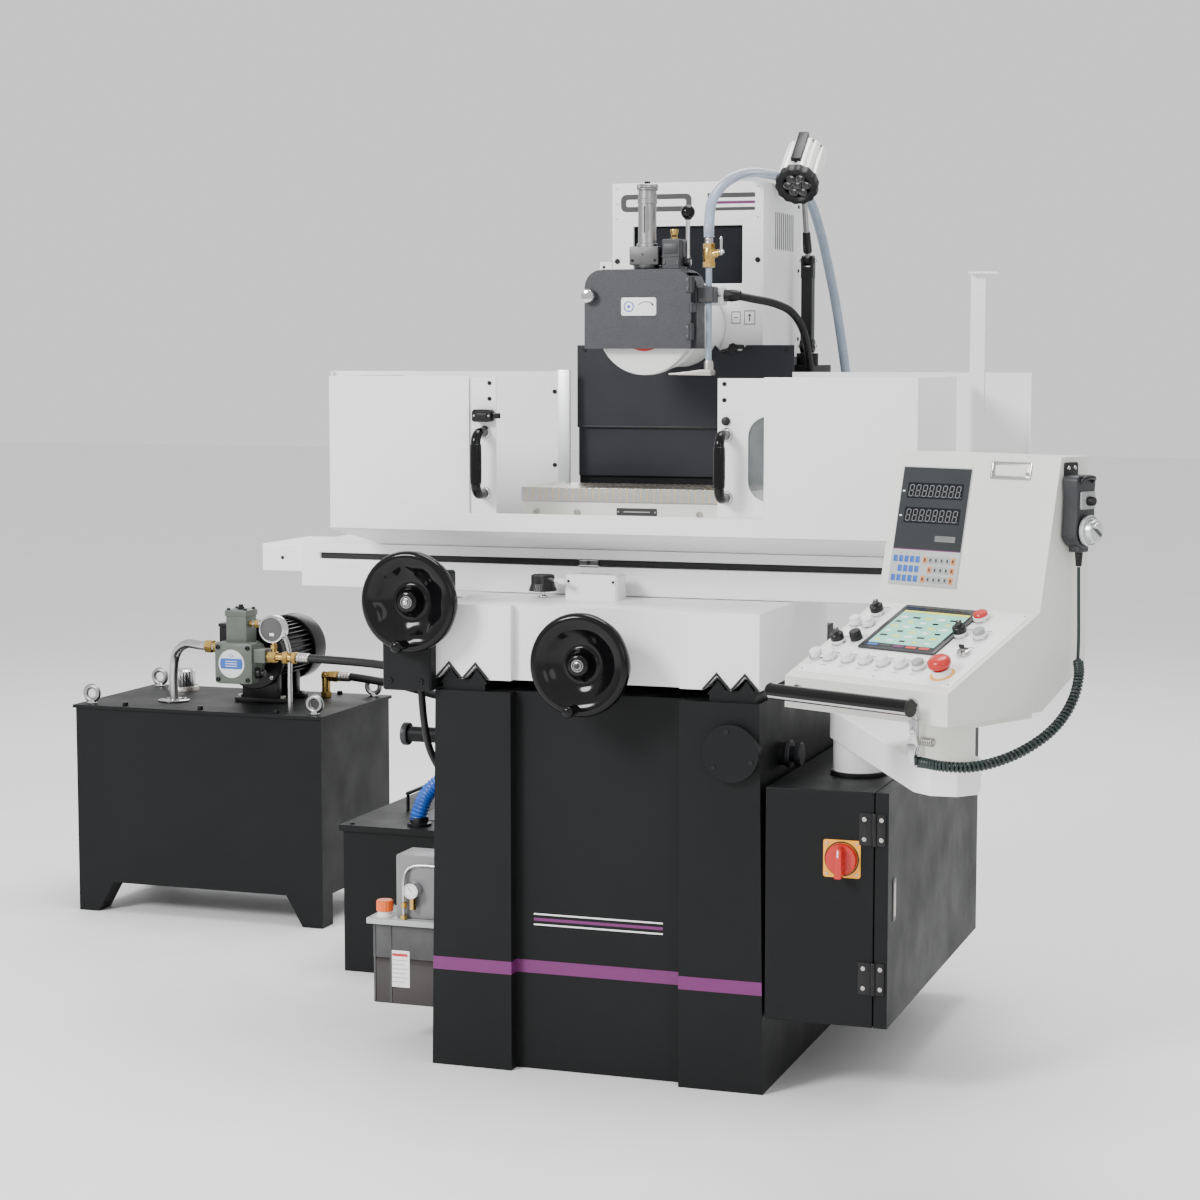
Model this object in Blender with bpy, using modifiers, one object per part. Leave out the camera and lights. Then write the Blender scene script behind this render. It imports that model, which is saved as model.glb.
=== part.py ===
"""A hydraulic surface grinder with a splash guard, a control pendant, a coolant tank and a power pack.

Metres, +Z up, +X to the operator's right and +Y to the back. The origin is on the floor, under the middle
of the machine base. Every moving body hangs under an empty that stands on its joint's axis.
"""

import math

import bmesh
import bpy
from mathutils import Matrix, Vector

GAP = 0.0003
SHEET = 0.003

# Machine base and its two pairs of ways
BASE_HALF = 0.343
BASE_TOP_HALF = 0.332
BASE_FRONT = -0.55
BASE_BACK = 0.55
BASE_TOP = 0.757
PAD_INNER = 0.173
PAD_DEPTH = 0.03
WAY_RIDGES = (-0.303, -0.247, 0.247, 0.303)
LIFTING_BAR = (-0.40, 0.641)
BLANK_COVER = (0.28, 0.662)

# Saddle
SADDLE_HALF = 0.331
SADDLE_Y = (-0.548, -0.018)
SADDLE_Z = (0.780, 0.928)

# Table, tray and chuck
TABLE_HALF = 0.742
TABLE_Y = (-0.300, -0.050)
TABLE_Z = (0.929, 1.022)
TABLE_COVER_HALF = 0.838
TRAY_FLOOR_Z = 1.0226
CHUCK_HALF = 0.250
CHUCK_Y = (-0.283, -0.083)
CHUCK_Z = (1.0260, 1.118, 1.146)

# Splash guard
GUARD_HALF = 0.607
GUARD_FRONT = -0.442
GUARD_BACK = -0.0665
GUARD_Z = (1.0643, 1.101, 1.373)
OPENING_X = (-0.301, 0.308)
DOOR_WIDTH = 0.290
DOOR_X = (-0.245, 0.214)
REAR_GUARD_BACK = -0.022
REAR_GUARD_TOP = 1.380

# Column, wheel head and way covers
COLUMN_HALF = 0.150
COLUMN_Y = (0.130, 0.500)
COLUMN_TOP = 1.500
COVER_HALF = 0.168
COVER_Y = (0.055, 0.370)
COVER_Z = (1.411, 1.780)
WAY_COVER_X = (-0.232, 0.248)
NOTCH_RADIUS = 0.0875
CLAMP_RADIUS = 0.0856
HEAD_DROP = 0.225

# Grinding wheel and its guard
WHEEL_AXIS_Z = 1.475
WHEEL_RADIUS = 0.100
WHEEL_BORE = 0.0162
WHEEL_Y = (-0.238, -0.213)
WHEEL_GUARD_X = (-0.122, 0.113)
WHEEL_GUARD_Z = (1.428, 1.588)
GUARD_HINGE = (0.1085, -0.2665)
DRESSER_Y = -0.2255
DRESSER_TOP = 1.745
LEVER_PIVOT = (0.083, -0.210, 1.602)
PIPE_XY = (0.132, -0.225)

# Handwheels
HANDWHEEL_RADIUS = 0.100
LONG_WHEEL = (-0.365, -0.600, 0.935)
CROSS_WHEEL = (0.0, -0.630, 0.828)
GRIP_ANGLE = 266
SPEED_KNOB = (-0.175, -0.360, 0.928)

# Electrical cabinet and control pendant
CABINET_X = (0.3453, 0.556)
CABINET_Y = (-0.550, 0.350)
CABINET_Z = (0.150, 0.600)
DOOR_PIVOT = (0.5572, -0.5535)
SWITCH_XZ = (0.495, 0.471)
PILLAR_XY = (0.478, -0.347)
PENDANT_XY = (0.762, -0.900)
ARM_Z = (0.6723, 0.728)
PENDANT_TURN = math.radians(-26)
PENDANT_WIDTH = 0.346
NECK_UV = (0.199, 0.195)
PENDANT_SIDE = (
    (0, 0.818),
    (0, 0.872),
    (0.25, 0.986),
    (0.305, 1.245),
    (0.385, 1.245),
    (0.385, 0.89),
    (0.26, 0.818),
)
CONSOLE_TILT = math.atan2(0.986 - 0.872, 0.25)

# Lamp
LAMP_BASE = (0.205, 0.290, 1.435)
LAMP_ELBOW = (0.205, 0.290, 1.620)
LAMP_MIDDLE = (0.2195, 0.175, 1.811)
LAMP_AXIS = (0, -0.755, -0.655)
LAMP_LENGTH = 0.120

# Hydraulic power pack and coolant tank
PACK_X = (-1.747, -1.063)
PACK_Y = (0.465, 0.880)
PACK_TOP = 0.530
PACK_FOOT = 0.077
PUMP_XZ = (-1.317, 0.655)
TANK_X = (-0.833, -0.360)
TANK_Y = (0.095, 0.700)
TANK_TOP = 0.342

WHITE = (0.80, 0.80, 0.77)
ANTHRACITE = (0.035, 0.040, 0.044)
HAMMERTONE = (0.060, 0.060, 0.065)
BLACK = (0.010, 0.010, 0.011)
STEEL = (0.55, 0.55, 0.56)
BRASS = (0.60, 0.42, 0.14)

UP = Vector((0, 0, 1))
pieces = {}


def clear_scene():
    for obj in list(bpy.data.objects):
        bpy.data.objects.remove(obj, do_unlink=True)


def new_collection(name):
    collection = bpy.data.collections.new(name)
    bpy.context.scene.collection.children.link(collection)
    return collection


def material(name, color, roughness, metallic=0.0):
    made = bpy.data.materials.get(name)
    if made is None:
        made = bpy.data.materials.new(name)
        made.use_nodes = True
        shader = made.node_tree.nodes["Principled BSDF"]
        shader.inputs["Base Color"].default_value = (*color, 1)
        shader.inputs["Roughness"].default_value = roughness
        shader.inputs["Metallic"].default_value = metallic
    return made


def baked(obj):
    """A mesh object with the evaluated, welded surface of obj, which it replaces."""
    bpy.context.view_layer.update()
    graph = bpy.context.evaluated_depsgraph_get()
    mesh = bpy.data.meshes.new_from_object(obj.evaluated_get(graph))
    mesh.transform(obj.matrix_world)
    work = bmesh.new()
    work.from_mesh(mesh)
    bmesh.ops.remove_doubles(work, verts=work.verts, dist=1e-6)
    bmesh.ops.recalc_face_normals(work, faces=work.faces)
    work.to_mesh(mesh)
    work.free()
    bpy.data.objects.remove(obj, do_unlink=True)
    return shape(mesh)


def shape(data):
    obj = bpy.data.objects.new("shape", data)
    PARTS.objects.link(obj)
    return obj


def from_bmesh(work):
    mesh = bpy.data.meshes.new("shape")
    work.to_mesh(mesh)
    work.free()
    return shape(mesh)


def box(x, y, z, bevel=0.0):
    work = bmesh.new()
    size = Vector((x[1] - x[0], y[1] - y[0], z[1] - z[0]))
    middle = Vector((x[0] + x[1], y[0] + y[1], z[0] + z[1])) / 2
    bmesh.ops.create_cube(work, size=1, matrix=Matrix.LocRotScale(middle, None, size))
    if bevel:
        bmesh.ops.bevel(work, geom=work.edges[:], offset=bevel, segments=1, profile=0.5, affect="EDGES")
    return from_bmesh(work)


def rod(start, end, radius, end_radius=None, segments=16):
    """A cylinder, or a cone, between two points."""
    start, end = Vector(start), Vector(end)
    work = bmesh.new()
    turn = (end - start).to_track_quat("Z", "Y").to_matrix().to_4x4()
    bmesh.ops.create_cone(
        work,
        cap_ends=True,
        segments=segments,
        radius1=radius,
        radius2=radius if end_radius is None else end_radius,
        depth=(end - start).length,
        matrix=Matrix.Translation((start + end) / 2) @ turn,
    )
    return from_bmesh(work)


def ball(middle, radius):
    work = bmesh.new()
    place = Matrix.Translation(middle)
    bmesh.ops.create_uvsphere(work, u_segments=14, v_segments=8, radius=radius, matrix=place)
    return from_bmesh(work)


def turned(profile, origin, axis, steps=24, closed=False):
    """A profile of (radius, height) pairs, running down its outer side, turned about axis through origin."""
    mesh = bpy.data.meshes.new("profile")
    count = len(profile)
    edges = [(i, i + 1) for i in range(count - 1)] + ([(count - 1, 0)] if closed else [])
    mesh.from_pydata([(radius, 0, height) for radius, height in profile], edges, [])
    obj = shape(mesh)
    screw = obj.modifiers.new("turn", "SCREW")
    screw.steps = screw.render_steps = steps
    screw.use_merge_vertices = True
    screw.merge_threshold = 1e-5
    turn = Vector(axis).to_track_quat("Z", "Y").to_matrix().to_4x4()
    obj.matrix_world = Matrix.Translation(origin) @ turn
    return baked(obj)


def prism(outline, axis, span, holes=()):
    """A flat outline, with its holes, extruded along X, Y or Z over span.

    The outline's two coordinates are (y, z) for axis X, (x, z) for axis Y and (x, y) for axis Z.
    """
    curve = bpy.data.curves.new("outline", "CURVE")
    curve.dimensions = "2D"
    curve.fill_mode = "BOTH"
    curve.extrude = (span[1] - span[0]) / 2
    for points in (outline, *holes):
        spline = curve.splines.new("POLY")
        spline.points.add(len(points) - 1)
        for point, (u, v) in zip(spline.points, points):
            point.co = (u, v, 0, 1)
        spline.use_cyclic_u = True
    obj = shape(curve)
    columns = {
        "X": ((0, 0, 1), (1, 0, 0), (0, 1, 0)),
        "Y": ((1, 0, 0), (0, 0, -1), (0, 1, 0)),
        "Z": ((1, 0, 0), (0, 1, 0), (0, 0, 1)),
    }[axis]
    middle = {"X": (1, 0, 0), "Y": (0, 1, 0), "Z": (0, 0, 1)}[axis]
    obj.matrix_world = Matrix.Translation(Vector(middle) * (span[0] + span[1]) / 2) @ Matrix(columns).to_4x4()
    return baked(obj)


def arc(middle, radius, start, end, count):
    angles = [math.radians(start + (end - start) * i / (count - 1)) for i in range(count)]
    return [(middle[0] + radius * math.cos(a), middle[1] + radius * math.sin(a)) for a in angles]


def smooth_route(points, count):
    """Points at equal steps on a Catmull-Rom curve through the route's points, its two ends made straight."""
    points = [Vector(p) for p in points]
    ends = [2 * points[0] - points[1], *points, 2 * points[-1] - points[-2]]
    route = []
    for i in range(count):
        where = (len(points) - 1) * i / (count - 1)
        k = min(int(where), len(points) - 2)
        t = where - k
        a, b, c, d = ends[k : k + 4]
        route.append(
            0.5 * (2 * b + (c - a) * t + (2 * a - 5 * b + 4 * c - d) * t**2 + (3 * b - a - 3 * c + d) * t**3)
        )
    for end, inner, guide in ((0, 1, points[1]), (-1, -2, points[-2])):
        step = (route[inner] - route[end]).length
        route[inner] = route[end] + (guide - route[end]).normalized() * step
    return route


def tube(points, radius, resolution=2):
    curve = bpy.data.curves.new("tube", "CURVE")
    curve.dimensions = "3D"
    curve.bevel_depth = radius
    curve.bevel_resolution = resolution
    curve.use_fill_caps = True
    spline = curve.splines.new("POLY")
    spline.points.add(len(points) - 1)
    for point, place in zip(spline.points, points):
        point.co = (*place, 1)
    return baked(shape(curve))


def combined(operation, target, others):
    for other in others:
        step = target.modifiers.new("join", "BOOLEAN")
        step.operation = operation
        step.solver = "EXACT"
        step.object = other
    result = baked(target)
    for other in others:
        bpy.data.objects.remove(other, do_unlink=True)
    return result


def union(target, *others):
    return combined("UNION", target, others)


def cut(target, *others):
    return combined("DIFFERENCE", target, others)


def placed(obj, matrix):
    obj.data.transform(matrix)
    return obj


def sub_part(name, obj, body, look):
    """Names a finished shape, gives it its material and hangs it on its body's empty."""
    obj.name = name
    obj.data.name = name
    obj.data.materials.clear()
    obj.data.materials.append(look)
    obj.data.shade_smooth()
    obj.data.set_sharp_from_angle(angle=math.radians(35))
    obj.parent = body
    obj.matrix_parent_inverse = body.matrix_world.inverted()
    pieces[name] = obj


def body_at(name, pivot, parent=None):
    empty = bpy.data.objects.new("axis_" + name, None)
    PARTS.objects.link(empty)
    empty.location = pivot
    if parent is not None:
        empty.parent = parent
        empty.location = Vector(pivot) - parent.matrix_world.translation
    bpy.context.view_layer.update()
    return empty


def v_ridge(x, half, low, high):
    return prism([(x - half, low), (x + half, low), (x, high)], "Y", (-0.54, 0.02))


def make_base(body):
    work = bmesh.new()
    bmesh.ops.create_cube(work, size=1)
    for vert in work.verts:
        half = BASE_TOP_HALF if vert.co.z > 0 else BASE_HALF
        vert.co = (
            math.copysign(half, vert.co.x),
            BASE_FRONT if vert.co.y < 0 else BASE_BACK,
            BASE_TOP if vert.co.z > 0 else 0,
        )
    base = from_bmesh(work)
    recess = box((-PAD_INNER, PAD_INNER), (BASE_FRONT - 0.01, BASE_FRONT + PAD_DEPTH), (-0.01, BASE_TOP + 0.01))
    base = cut(base, recess)
    rails = [box((x - 0.045, x + 0.045), (-0.54, 0.02), (BASE_TOP - 0.01, 0.7795)) for x in (-0.275, 0.275)]
    ridges = [v_ridge(x, 0.022, 0.770, 0.7995) for x in WAY_RIDGES]
    y, z = LIFTING_BAR
    bar = rod((-0.465, y, z), (0.378, y, z), 0.016)
    collars = [rod((x, y, z), (x + 0.012, y, z), 0.022) for x in (-0.465, 0.366)]
    sleeves = [rod((-0.362, y, z), (-0.30, y, z), 0.023), rod((0.30, y, z), (0.350, y, z), 0.023)]
    x, z = BLANK_COVER
    blank = rod((x, BASE_FRONT - 0.018, z), (x, BASE_FRONT + 0.01, z), 0.0555, segments=32)
    base = union(base, *rails, *ridges, bar, *collars, *sleeves, blank)
    sub_part("machine_base", base, body, material("anthracite_paint", ANTHRACITE, 0.5))


def notched_plate(x, y, z, notch_z):
    """A sheet of the way cover, with a round notch at its top that the spindle housing drops into."""
    start = math.degrees(math.asin((z[1] - notch_z) / NOTCH_RADIUS))
    notch = arc((0, notch_z), NOTCH_RADIUS, start, -180 - start, 13)
    return prism([(x[0], z[0]), (x[1], z[0]), (x[1], z[1]), *notch, (x[0], z[1])], "Y", y)


def make_column(body):
    column = box((-COLUMN_HALF, COLUMN_HALF), COLUMN_Y, (BASE_TOP + GAP, COLUMN_TOP))
    foot = box((-0.21, 0.21), (0.10, 0.53), (BASE_TOP + GAP, 0.80))
    strut = box((-0.20, 0.216), (0.027, 0.14), (0.99, 1.03))
    plate = notched_plate(WAY_COVER_X, (0.026, 0.030), (0.936, 1.230), WHEEL_AXIS_Z - HEAD_DROP)
    bracket = prism(
        [(0.14, 0.385), (0.185, 0.385), (0.185, 0.262), (0.226, 0.262), (0.226, 0.42), (0.14, 0.42)],
        "Z",
        (1.365, 1.393),
    )
    x, y, z = LAMP_BASE
    post = rod((x, y, 1.39), (x, y, z - 0.016), 0.024)
    column = union(column, foot, strut, plate, bracket, post)
    sub_part("column", column, body, material("anthracite_paint", ANTHRACITE, 0.5))


def make_cabinet(body, door_body, switch_body):
    outer = box(CABINET_X, CABINET_Y, CABINET_Z)
    inner = box(
        (CABINET_X[0] + SHEET, CABINET_X[1] + 0.01),
        (CABINET_Y[0] + SHEET, CABINET_Y[1] - SHEET),
        (CABINET_Z[0] + SHEET, CABINET_Z[1] - SHEET),
    )
    panel = box((CABINET_X[0] + 0.001, 0.372), (-0.45, 0.25), (0.20, 0.55))
    cabinet = union(cut(outer, inner), panel)
    sub_part("electrical_cabinet", cabinet, body, material("anthracite_paint", ANTHRACITE, 0.5))
    tray = box((0.5584, 0.584), CABINET_Y, CABINET_Z)
    hollow = box(
        (0.5, 0.581),
        (CABINET_Y[0] + SHEET, CABINET_Y[1] - SHEET),
        (CABINET_Z[0] + SHEET, CABINET_Z[1] - SHEET),
    )
    knuckles = [
        rod((*DOOR_PIVOT, z - 0.03), (*DOOR_PIVOT, z + 0.03), 0.003, segments=12) for z in (0.245, 0.530)
    ]
    leaves = [
        box((DOOR_PIVOT[0], 0.578), (CABINET_Y[0] - 0.0025, CABINET_Y[0] + 0.001), (z - 0.03, z + 0.03))
        for z in (0.245, 0.530)
    ]
    door = union(cut(tray, hollow), *leaves, *knuckles)
    sub_part("cabinet_door", door, door_body, material("anthracite_paint", ANTHRACITE, 0.5))
    x, z = SWITCH_XZ
    front = CABINET_Y[0]
    disc = rod((x, front - GAP, z), (x, front - 0.014, z), 0.030, segments=32)
    grip = box((x - 0.006, x + 0.006), (front - 0.036, front - 0.013), (z - 0.034, z + 0.026))
    sub_part("main_switch", union(disc, grip), switch_body, material("red_plastic", (0.55, 0.02, 0.02), 0.35))


def make_power_pack(body):
    x0, x1 = PACK_X
    tank = box(PACK_X, PACK_Y, (PACK_FOOT, PACK_TOP))
    lid = box((x0 - 0.006, x1 + 0.006), (PACK_Y[0] - 0.006, PACK_Y[1] + 0.006), (PACK_TOP - 0.008, PACK_TOP))
    feet = []
    for edge, inward in ((x0, 1), (x1, -1)):
        outline = [
            (edge, 0),
            (edge + inward * 0.055, 0),
            (edge + inward * 0.105, PACK_FOOT + 0.01),
            (edge, PACK_FOOT + 0.01),
        ]
        for front in (PACK_Y[0], PACK_Y[1] - 0.06):
            feet.append(prism(outline, "Y", (front, front + 0.06)))
    eyes = []
    for x in (x0 + 0.03, x1 - 0.03):
        for y in (PACK_Y[0] + 0.03, PACK_Y[1] - 0.03):
            ring = turned(
                [(0.018 + 0.006 * math.cos(a), 0.006 * math.sin(a)) for a in reversed(circle_angles(6))],
                (x, y, PACK_TOP + 0.026),
                (0, 1, 0),
                steps=10,
                closed=True,
            )
            eyes += [ring, rod((x, y, PACK_TOP - 0.004), (x, y, PACK_TOP + 0.006), 0.008, segments=12)]
    cap = turned(
        [(0, 0.055), (0.026, 0.055), (0.030, 0.048), (0.030, 0.012), (0.040, 0.010), (0.040, -0.004),
         (0, -0.004)],
        (-1.62, 0.80, PACK_TOP),
        UP,
        steps=24,
    )
    tank = union(tank, lid, *feet, *eyes, cap)
    sub_part("hydraulic_tank", tank, body, material("anthracite_paint", ANTHRACITE, 0.5))

    x, z = PUMP_XZ
    casing = rod((x, 0.615, z), (x, 0.860, z), 0.078, segments=32)
    cowl = rod((x, 0.800, z), (x, 0.870, z), 0.085, segments=32)
    flange = rod((x, 0.606, z), (x, 0.622, z), 0.085, segments=32)
    terminal = box((x - 0.115, x - 0.05), (0.64, 0.76), (z - 0.01, z + 0.075), bevel=0.006)
    cradle = box((x - 0.070, x + 0.070), (0.64, 0.82), (PACK_TOP + GAP, z - 0.04))
    motor = union(casing, cowl, flange, terminal, cradle)
    sub_part("pump_motor", motor, body, material("black_paint", BLACK, 0.45))

    block = box((x - 0.053, x + 0.053), (0.495, 0.585), (z - 0.060, z + 0.045), bevel=0.010)
    neck = rod((x, 0.58, z), (x, 0.606 - GAP, z), 0.040)
    head = box((x - 0.030, x + 0.030), (0.515, 0.575), (z + 0.040, z + 0.125), bevel=0.006)
    screw_cap = rod((x, 0.545, z + 0.12), (x, 0.545, z + 0.137), 0.010, segments=12)
    manifold = box((x + 0.045, x + 0.085), (0.505, 0.545), (z - 0.005, z + 0.030))
    outlet = rod((x + 0.08, 0.525, z + 0.010), (x + 0.150, 0.525, z + 0.010), 0.012)
    gauge_stem = rod((x + 0.10, 0.525, z + 0.01), (x + 0.10, 0.525, z + 0.05), 0.006, segments=12)
    gauge = rod((x + 0.10, 0.510, z + 0.080), (x + 0.10, 0.538, z + 0.080), 0.035)
    suction = tube(
        smooth_route(
            [(-1.54, 0.60, PACK_TOP + 0.002), (-1.54, 0.60, 0.60), (-1.525, 0.59, 0.655), (-1.48, 0.56, 0.684),
             (-1.43, 0.545, 0.684), (-1.36, 0.540, 0.680)],
            24,
        ),
        0.0115,
    )
    suction_flange = rod((-1.54, 0.60, PACK_TOP + GAP), (-1.54, 0.60, PACK_TOP + 0.005), 0.040)
    drain = tube(
        smooth_route(
            [(x + 0.02, 0.535, z + 0.090), (x + 0.07, 0.532, z + 0.090), (x + 0.115, 0.530, z + 0.075),
             (x + 0.138, 0.530, z + 0.03), (x + 0.139, 0.5327, z - 0.05), (x + 0.139, 0.5327, PACK_TOP + GAP)],
            24,
        ),
        0.006,
    )
    fittings = [manifold, outlet, gauge_stem, gauge, suction, suction_flange, drain]
    pump = union(block, neck, head, screw_cap, *fittings)
    sub_part("hydraulic_pump", pump, body, material("pump_paint", (0.16, 0.18, 0.15), 0.5))


def circle_angles(count):
    return [2 * math.pi * i / count for i in range(count)]


PRESSURE_ROUTE = [
    (-1.1655, 0.525, 0.665), (-1.13, 0.525, 0.665), (-0.95, 0.505, 0.662), (-0.80, 0.46, 0.655),
    (-0.65, 0.40, 0.645), (-0.50, 0.33, 0.635), (-0.38, 0.28, 0.630), (-0.335, 0.28, 0.630),
]
RETURN_ROUTE = [
    (-1.180, 0.80, 0.585), (-1.13, 0.80, 0.585), (-0.98, 0.76, 0.575), (-0.84, 0.68, 0.565),
    (-0.68, 0.58, 0.560), (-0.52, 0.49, 0.558), (-0.38, 0.43, 0.560), (-0.336, 0.43, 0.560),
]
COOLANT_ROUTE = [
    (0.132, -0.225, 1.6503), (0.132, -0.225, 1.675), (0.130, -0.205, 1.716), (0.133, -0.180, 1.740),
    (0.138, -0.140, 1.761), (0.142, -0.080, 1.778), (0.144, 0.000, 1.791), (0.145, 0.080, 1.798),
    (0.148, 0.140, 1.799), (0.155, 0.190, 1.799), (0.168, 0.240, 1.797), (0.184, 0.290, 1.783),
    (0.199, 0.340, 1.745), (0.213, 0.375, 1.677), (0.228, 0.390, 1.600), (0.244, 0.400, 1.510),
    (0.262, 0.410, 1.380), (0.285, 0.450, 1.150), (0.297, 0.530, 0.950), (0.297, 0.585, 0.760),
    (0.280, 0.605, 0.580), (0.230, 0.620, 0.370), (0.130, 0.640, 0.180), (-0.060, 0.660, 0.080),
    (-0.270, 0.710, 0.065), (-0.410, 0.760, 0.120), (-0.485, 0.785, 0.230), (-0.513, 0.790, 0.350),
    (-0.517, 0.783, 0.455), (-0.516, 0.750, 0.530), (-0.513, 0.700, 0.555), (-0.511, 0.650, 0.532),
    (-0.510, 0.620, 0.490), (-0.510, 0.620, 0.4697),
]
DRAIN_ROUTE = [
    (-0.663, 0.140, 0.3425), (-0.663, 0.140, 0.370), (-0.640, 0.160, 0.425), (-0.570, 0.195, 0.470),
    (-0.470, 0.225, 0.490), (-0.390, 0.230, 0.490), (-0.3376, 0.230, 0.490),
]
FEED_ROUTE = [
    (-0.395, -0.470, 0.7545), (-0.395, -0.470, 0.730), (-0.394, -0.462, 0.680), (-0.390, -0.450, 0.630),
    (-0.381, -0.432, 0.590), (-0.362, -0.420, 0.560), (-0.3358, -0.420, 0.560),
]
CONDUIT_ROUTE = [
    (0.1386, -0.130, 1.536), (0.160, -0.130, 1.536), (0.186, -0.090, 1.530), (0.212, -0.020, 1.522),
    (0.231, 0.050, 1.505), (0.240, 0.110, 1.470), (0.243, 0.150, 1.415), (0.240, 0.190, 1.350),
    (0.222, 0.230, 1.285), (0.180, 0.245, 1.250), (0.1512, 0.245, 1.250),
]


def make_hoses(body):
    rubber = material("black_rubber", BLACK, 0.6)
    sub_part("pressure_hose", tube(smooth_route(PRESSURE_ROUTE, 36), 0.0105), body, rubber)
    elbow = rod((-1.205, 0.80, PACK_TOP + GAP), (-1.205, 0.80, 0.592), 0.011, segments=16)
    fitting = rod((-1.210, 0.80, 0.585), (-1.176, 0.80, 0.585), 0.012, segments=16)
    hose = union(tube(smooth_route(RETURN_ROUTE, 36), 0.0105), elbow, fitting)
    sub_part("return_hose", hose, body, rubber)
    clear = material("clear_hose", (0.45, 0.55, 0.65), 0.25)
    sub_part("coolant_hose", tube(smooth_route(COOLANT_ROUTE, 76), 0.0105), body, clear)
    blue = material("blue_hose", (0.01, 0.08, 0.45), 0.45)
    sub_part("drain_hose", tube(smooth_route(DRAIN_ROUTE, 20), 0.020, 3), body, blue)
    sub_part("feed_hose", tube(smooth_route(FEED_ROUTE, 22), 0.0075), body, rubber)


def make_coolant_tank(body):
    tank = box(TANK_X, TANK_Y, (0, TANK_TOP - 0.012))
    lid = box((TANK_X[0] - 0.008, TANK_X[1]), (TANK_Y[0] - 0.008, TANK_Y[1]), (TANK_TOP - 0.014, TANK_TOP))
    posts = [rod((-0.76, y, 0.334), (-0.76, y, 0.386), 0.004, segments=12) for y in (0.30, 0.42)]
    grip = rod((-0.76, 0.296, 0.384), (-0.76, 0.424, 0.384), 0.0045, segments=12)
    pump = rod((-0.51, 0.62, 0.33), (-0.51, 0.62, 0.449), 0.052)
    outlet = rod((-0.51, 0.62, 0.44), (-0.51, 0.62, 0.469), 0.013)
    tank = union(tank, lid, *posts, grip, pump, outlet)
    sub_part("coolant_tank", tank, body, material("anthracite_paint", ANTHRACITE, 0.5))


def make_lubricator(body):
    """The pump for the ways: its casing, top plate with cap and gauge, and the oil reservoir below."""
    x = (-0.470, -0.3445)
    casing = box((-0.462, x[1]), (-0.455, -0.370), (0.268, 0.400), bevel=0.004)
    plate = box((-0.520, x[1]), (-0.475, -0.345), (0.255, 0.268))
    reservoir = box((-0.508, x[1] - 0.004), (-0.468, -0.352), (0.090, 0.257), bevel=0.006)
    cap = rod((-0.490, -0.448, 0.266), (-0.490, -0.448, 0.300), 0.016)
    gauge = rod((-0.420, -0.480, 0.330), (-0.420, -0.450, 0.330), 0.017)
    riser = rod((-0.440, -0.466, 0.265), (-0.440, -0.466, 0.345), 0.005, segments=12)
    bridge = rod((-0.440, -0.466, 0.330), (-0.420, -0.466, 0.330), 0.005, segments=12)
    lubricator = union(plate, casing, reservoir, cap, gauge, riser, bridge)
    sub_part("lubricator", lubricator, body, material("light_grey", (0.62, 0.63, 0.62), 0.4))


def make_saddle(body, knob_body):
    saddle = box((-SADDLE_HALF, SADDLE_HALF), SADDLE_Y, SADDLE_Z)
    front = box((-PAD_INNER, PAD_INNER), (SADDLE_Y[0] - 0.01, SADDLE_Y[0] + 0.018), (0.77, 0.94))
    notches = [v_ridge(x, 0.027, 0.7795, 0.8065) for x in WAY_RIDGES]
    for notch in notches:
        placed(notch, Matrix.Diagonal((1, 2, 1, 1)))
    bores = [rod((0, SADDLE_Y[0] - 0.01, CROSS_WHEEL[2]), (0, SADDLE_Y[0] + 0.05, CROSS_WHEEL[2]), 0.0185)]
    saddle = cut(saddle, front, *notches, *bores)
    housing = box((-0.117, -0.007), (-0.39, -0.33), (0.92, 0.978), bevel=0.004)
    studs = [box((x - 0.008, x + 0.008), (-0.046, -0.0273), (0.92, 1.00)) for x in (-0.322, 0.322)]
    saddle = union(saddle, housing, *studs)
    sub_part("saddle", saddle, body, material("white_paint", WHITE, 0.35))
    bracket = box((-0.435, -0.3313), (-0.575, -0.360), (0.755, 0.924), bevel=0.004)
    tower = box((-0.405, -0.335), (-0.575, -0.430), (0.90, 0.985), bevel=0.004)
    bore = rod((LONG_WHEEL[0], -0.60, LONG_WHEEL[2]), (LONG_WHEEL[0], -0.53, LONG_WHEEL[2]), 0.0185)
    bracket = cut(union(bracket, tower), bore)
    sub_part("feed_bracket", bracket, body, material("anthracite_paint", ANTHRACITE, 0.5))
    x, y, z = SPEED_KNOB
    knob = turned(
        [
            (0, 0.046), (0.0225, 0.046), (0.0235, 0.044), (0.0235, 0.027), (0.0290, 0.014), (0.0290, 0.013),
            (0.0045, 0.013), (0.0045, 0.006), (0.0090, 0.006), (0.0090, GAP), (0, GAP),
        ],
        SPEED_KNOB,
        (0, 0, 1),
        steps=28,
    )
    start, end = (x + 0.015, y - 0.012, z + 0.038), (x + 0.070, y - 0.060, z + 0.038)
    lever = rod(start, end, 0.0035, end_radius=0.0055, segments=12)
    sub_part("table_speed_knob", union(knob, lever), knob_body, material("black_plastic", BLACK, 0.3))


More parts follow.
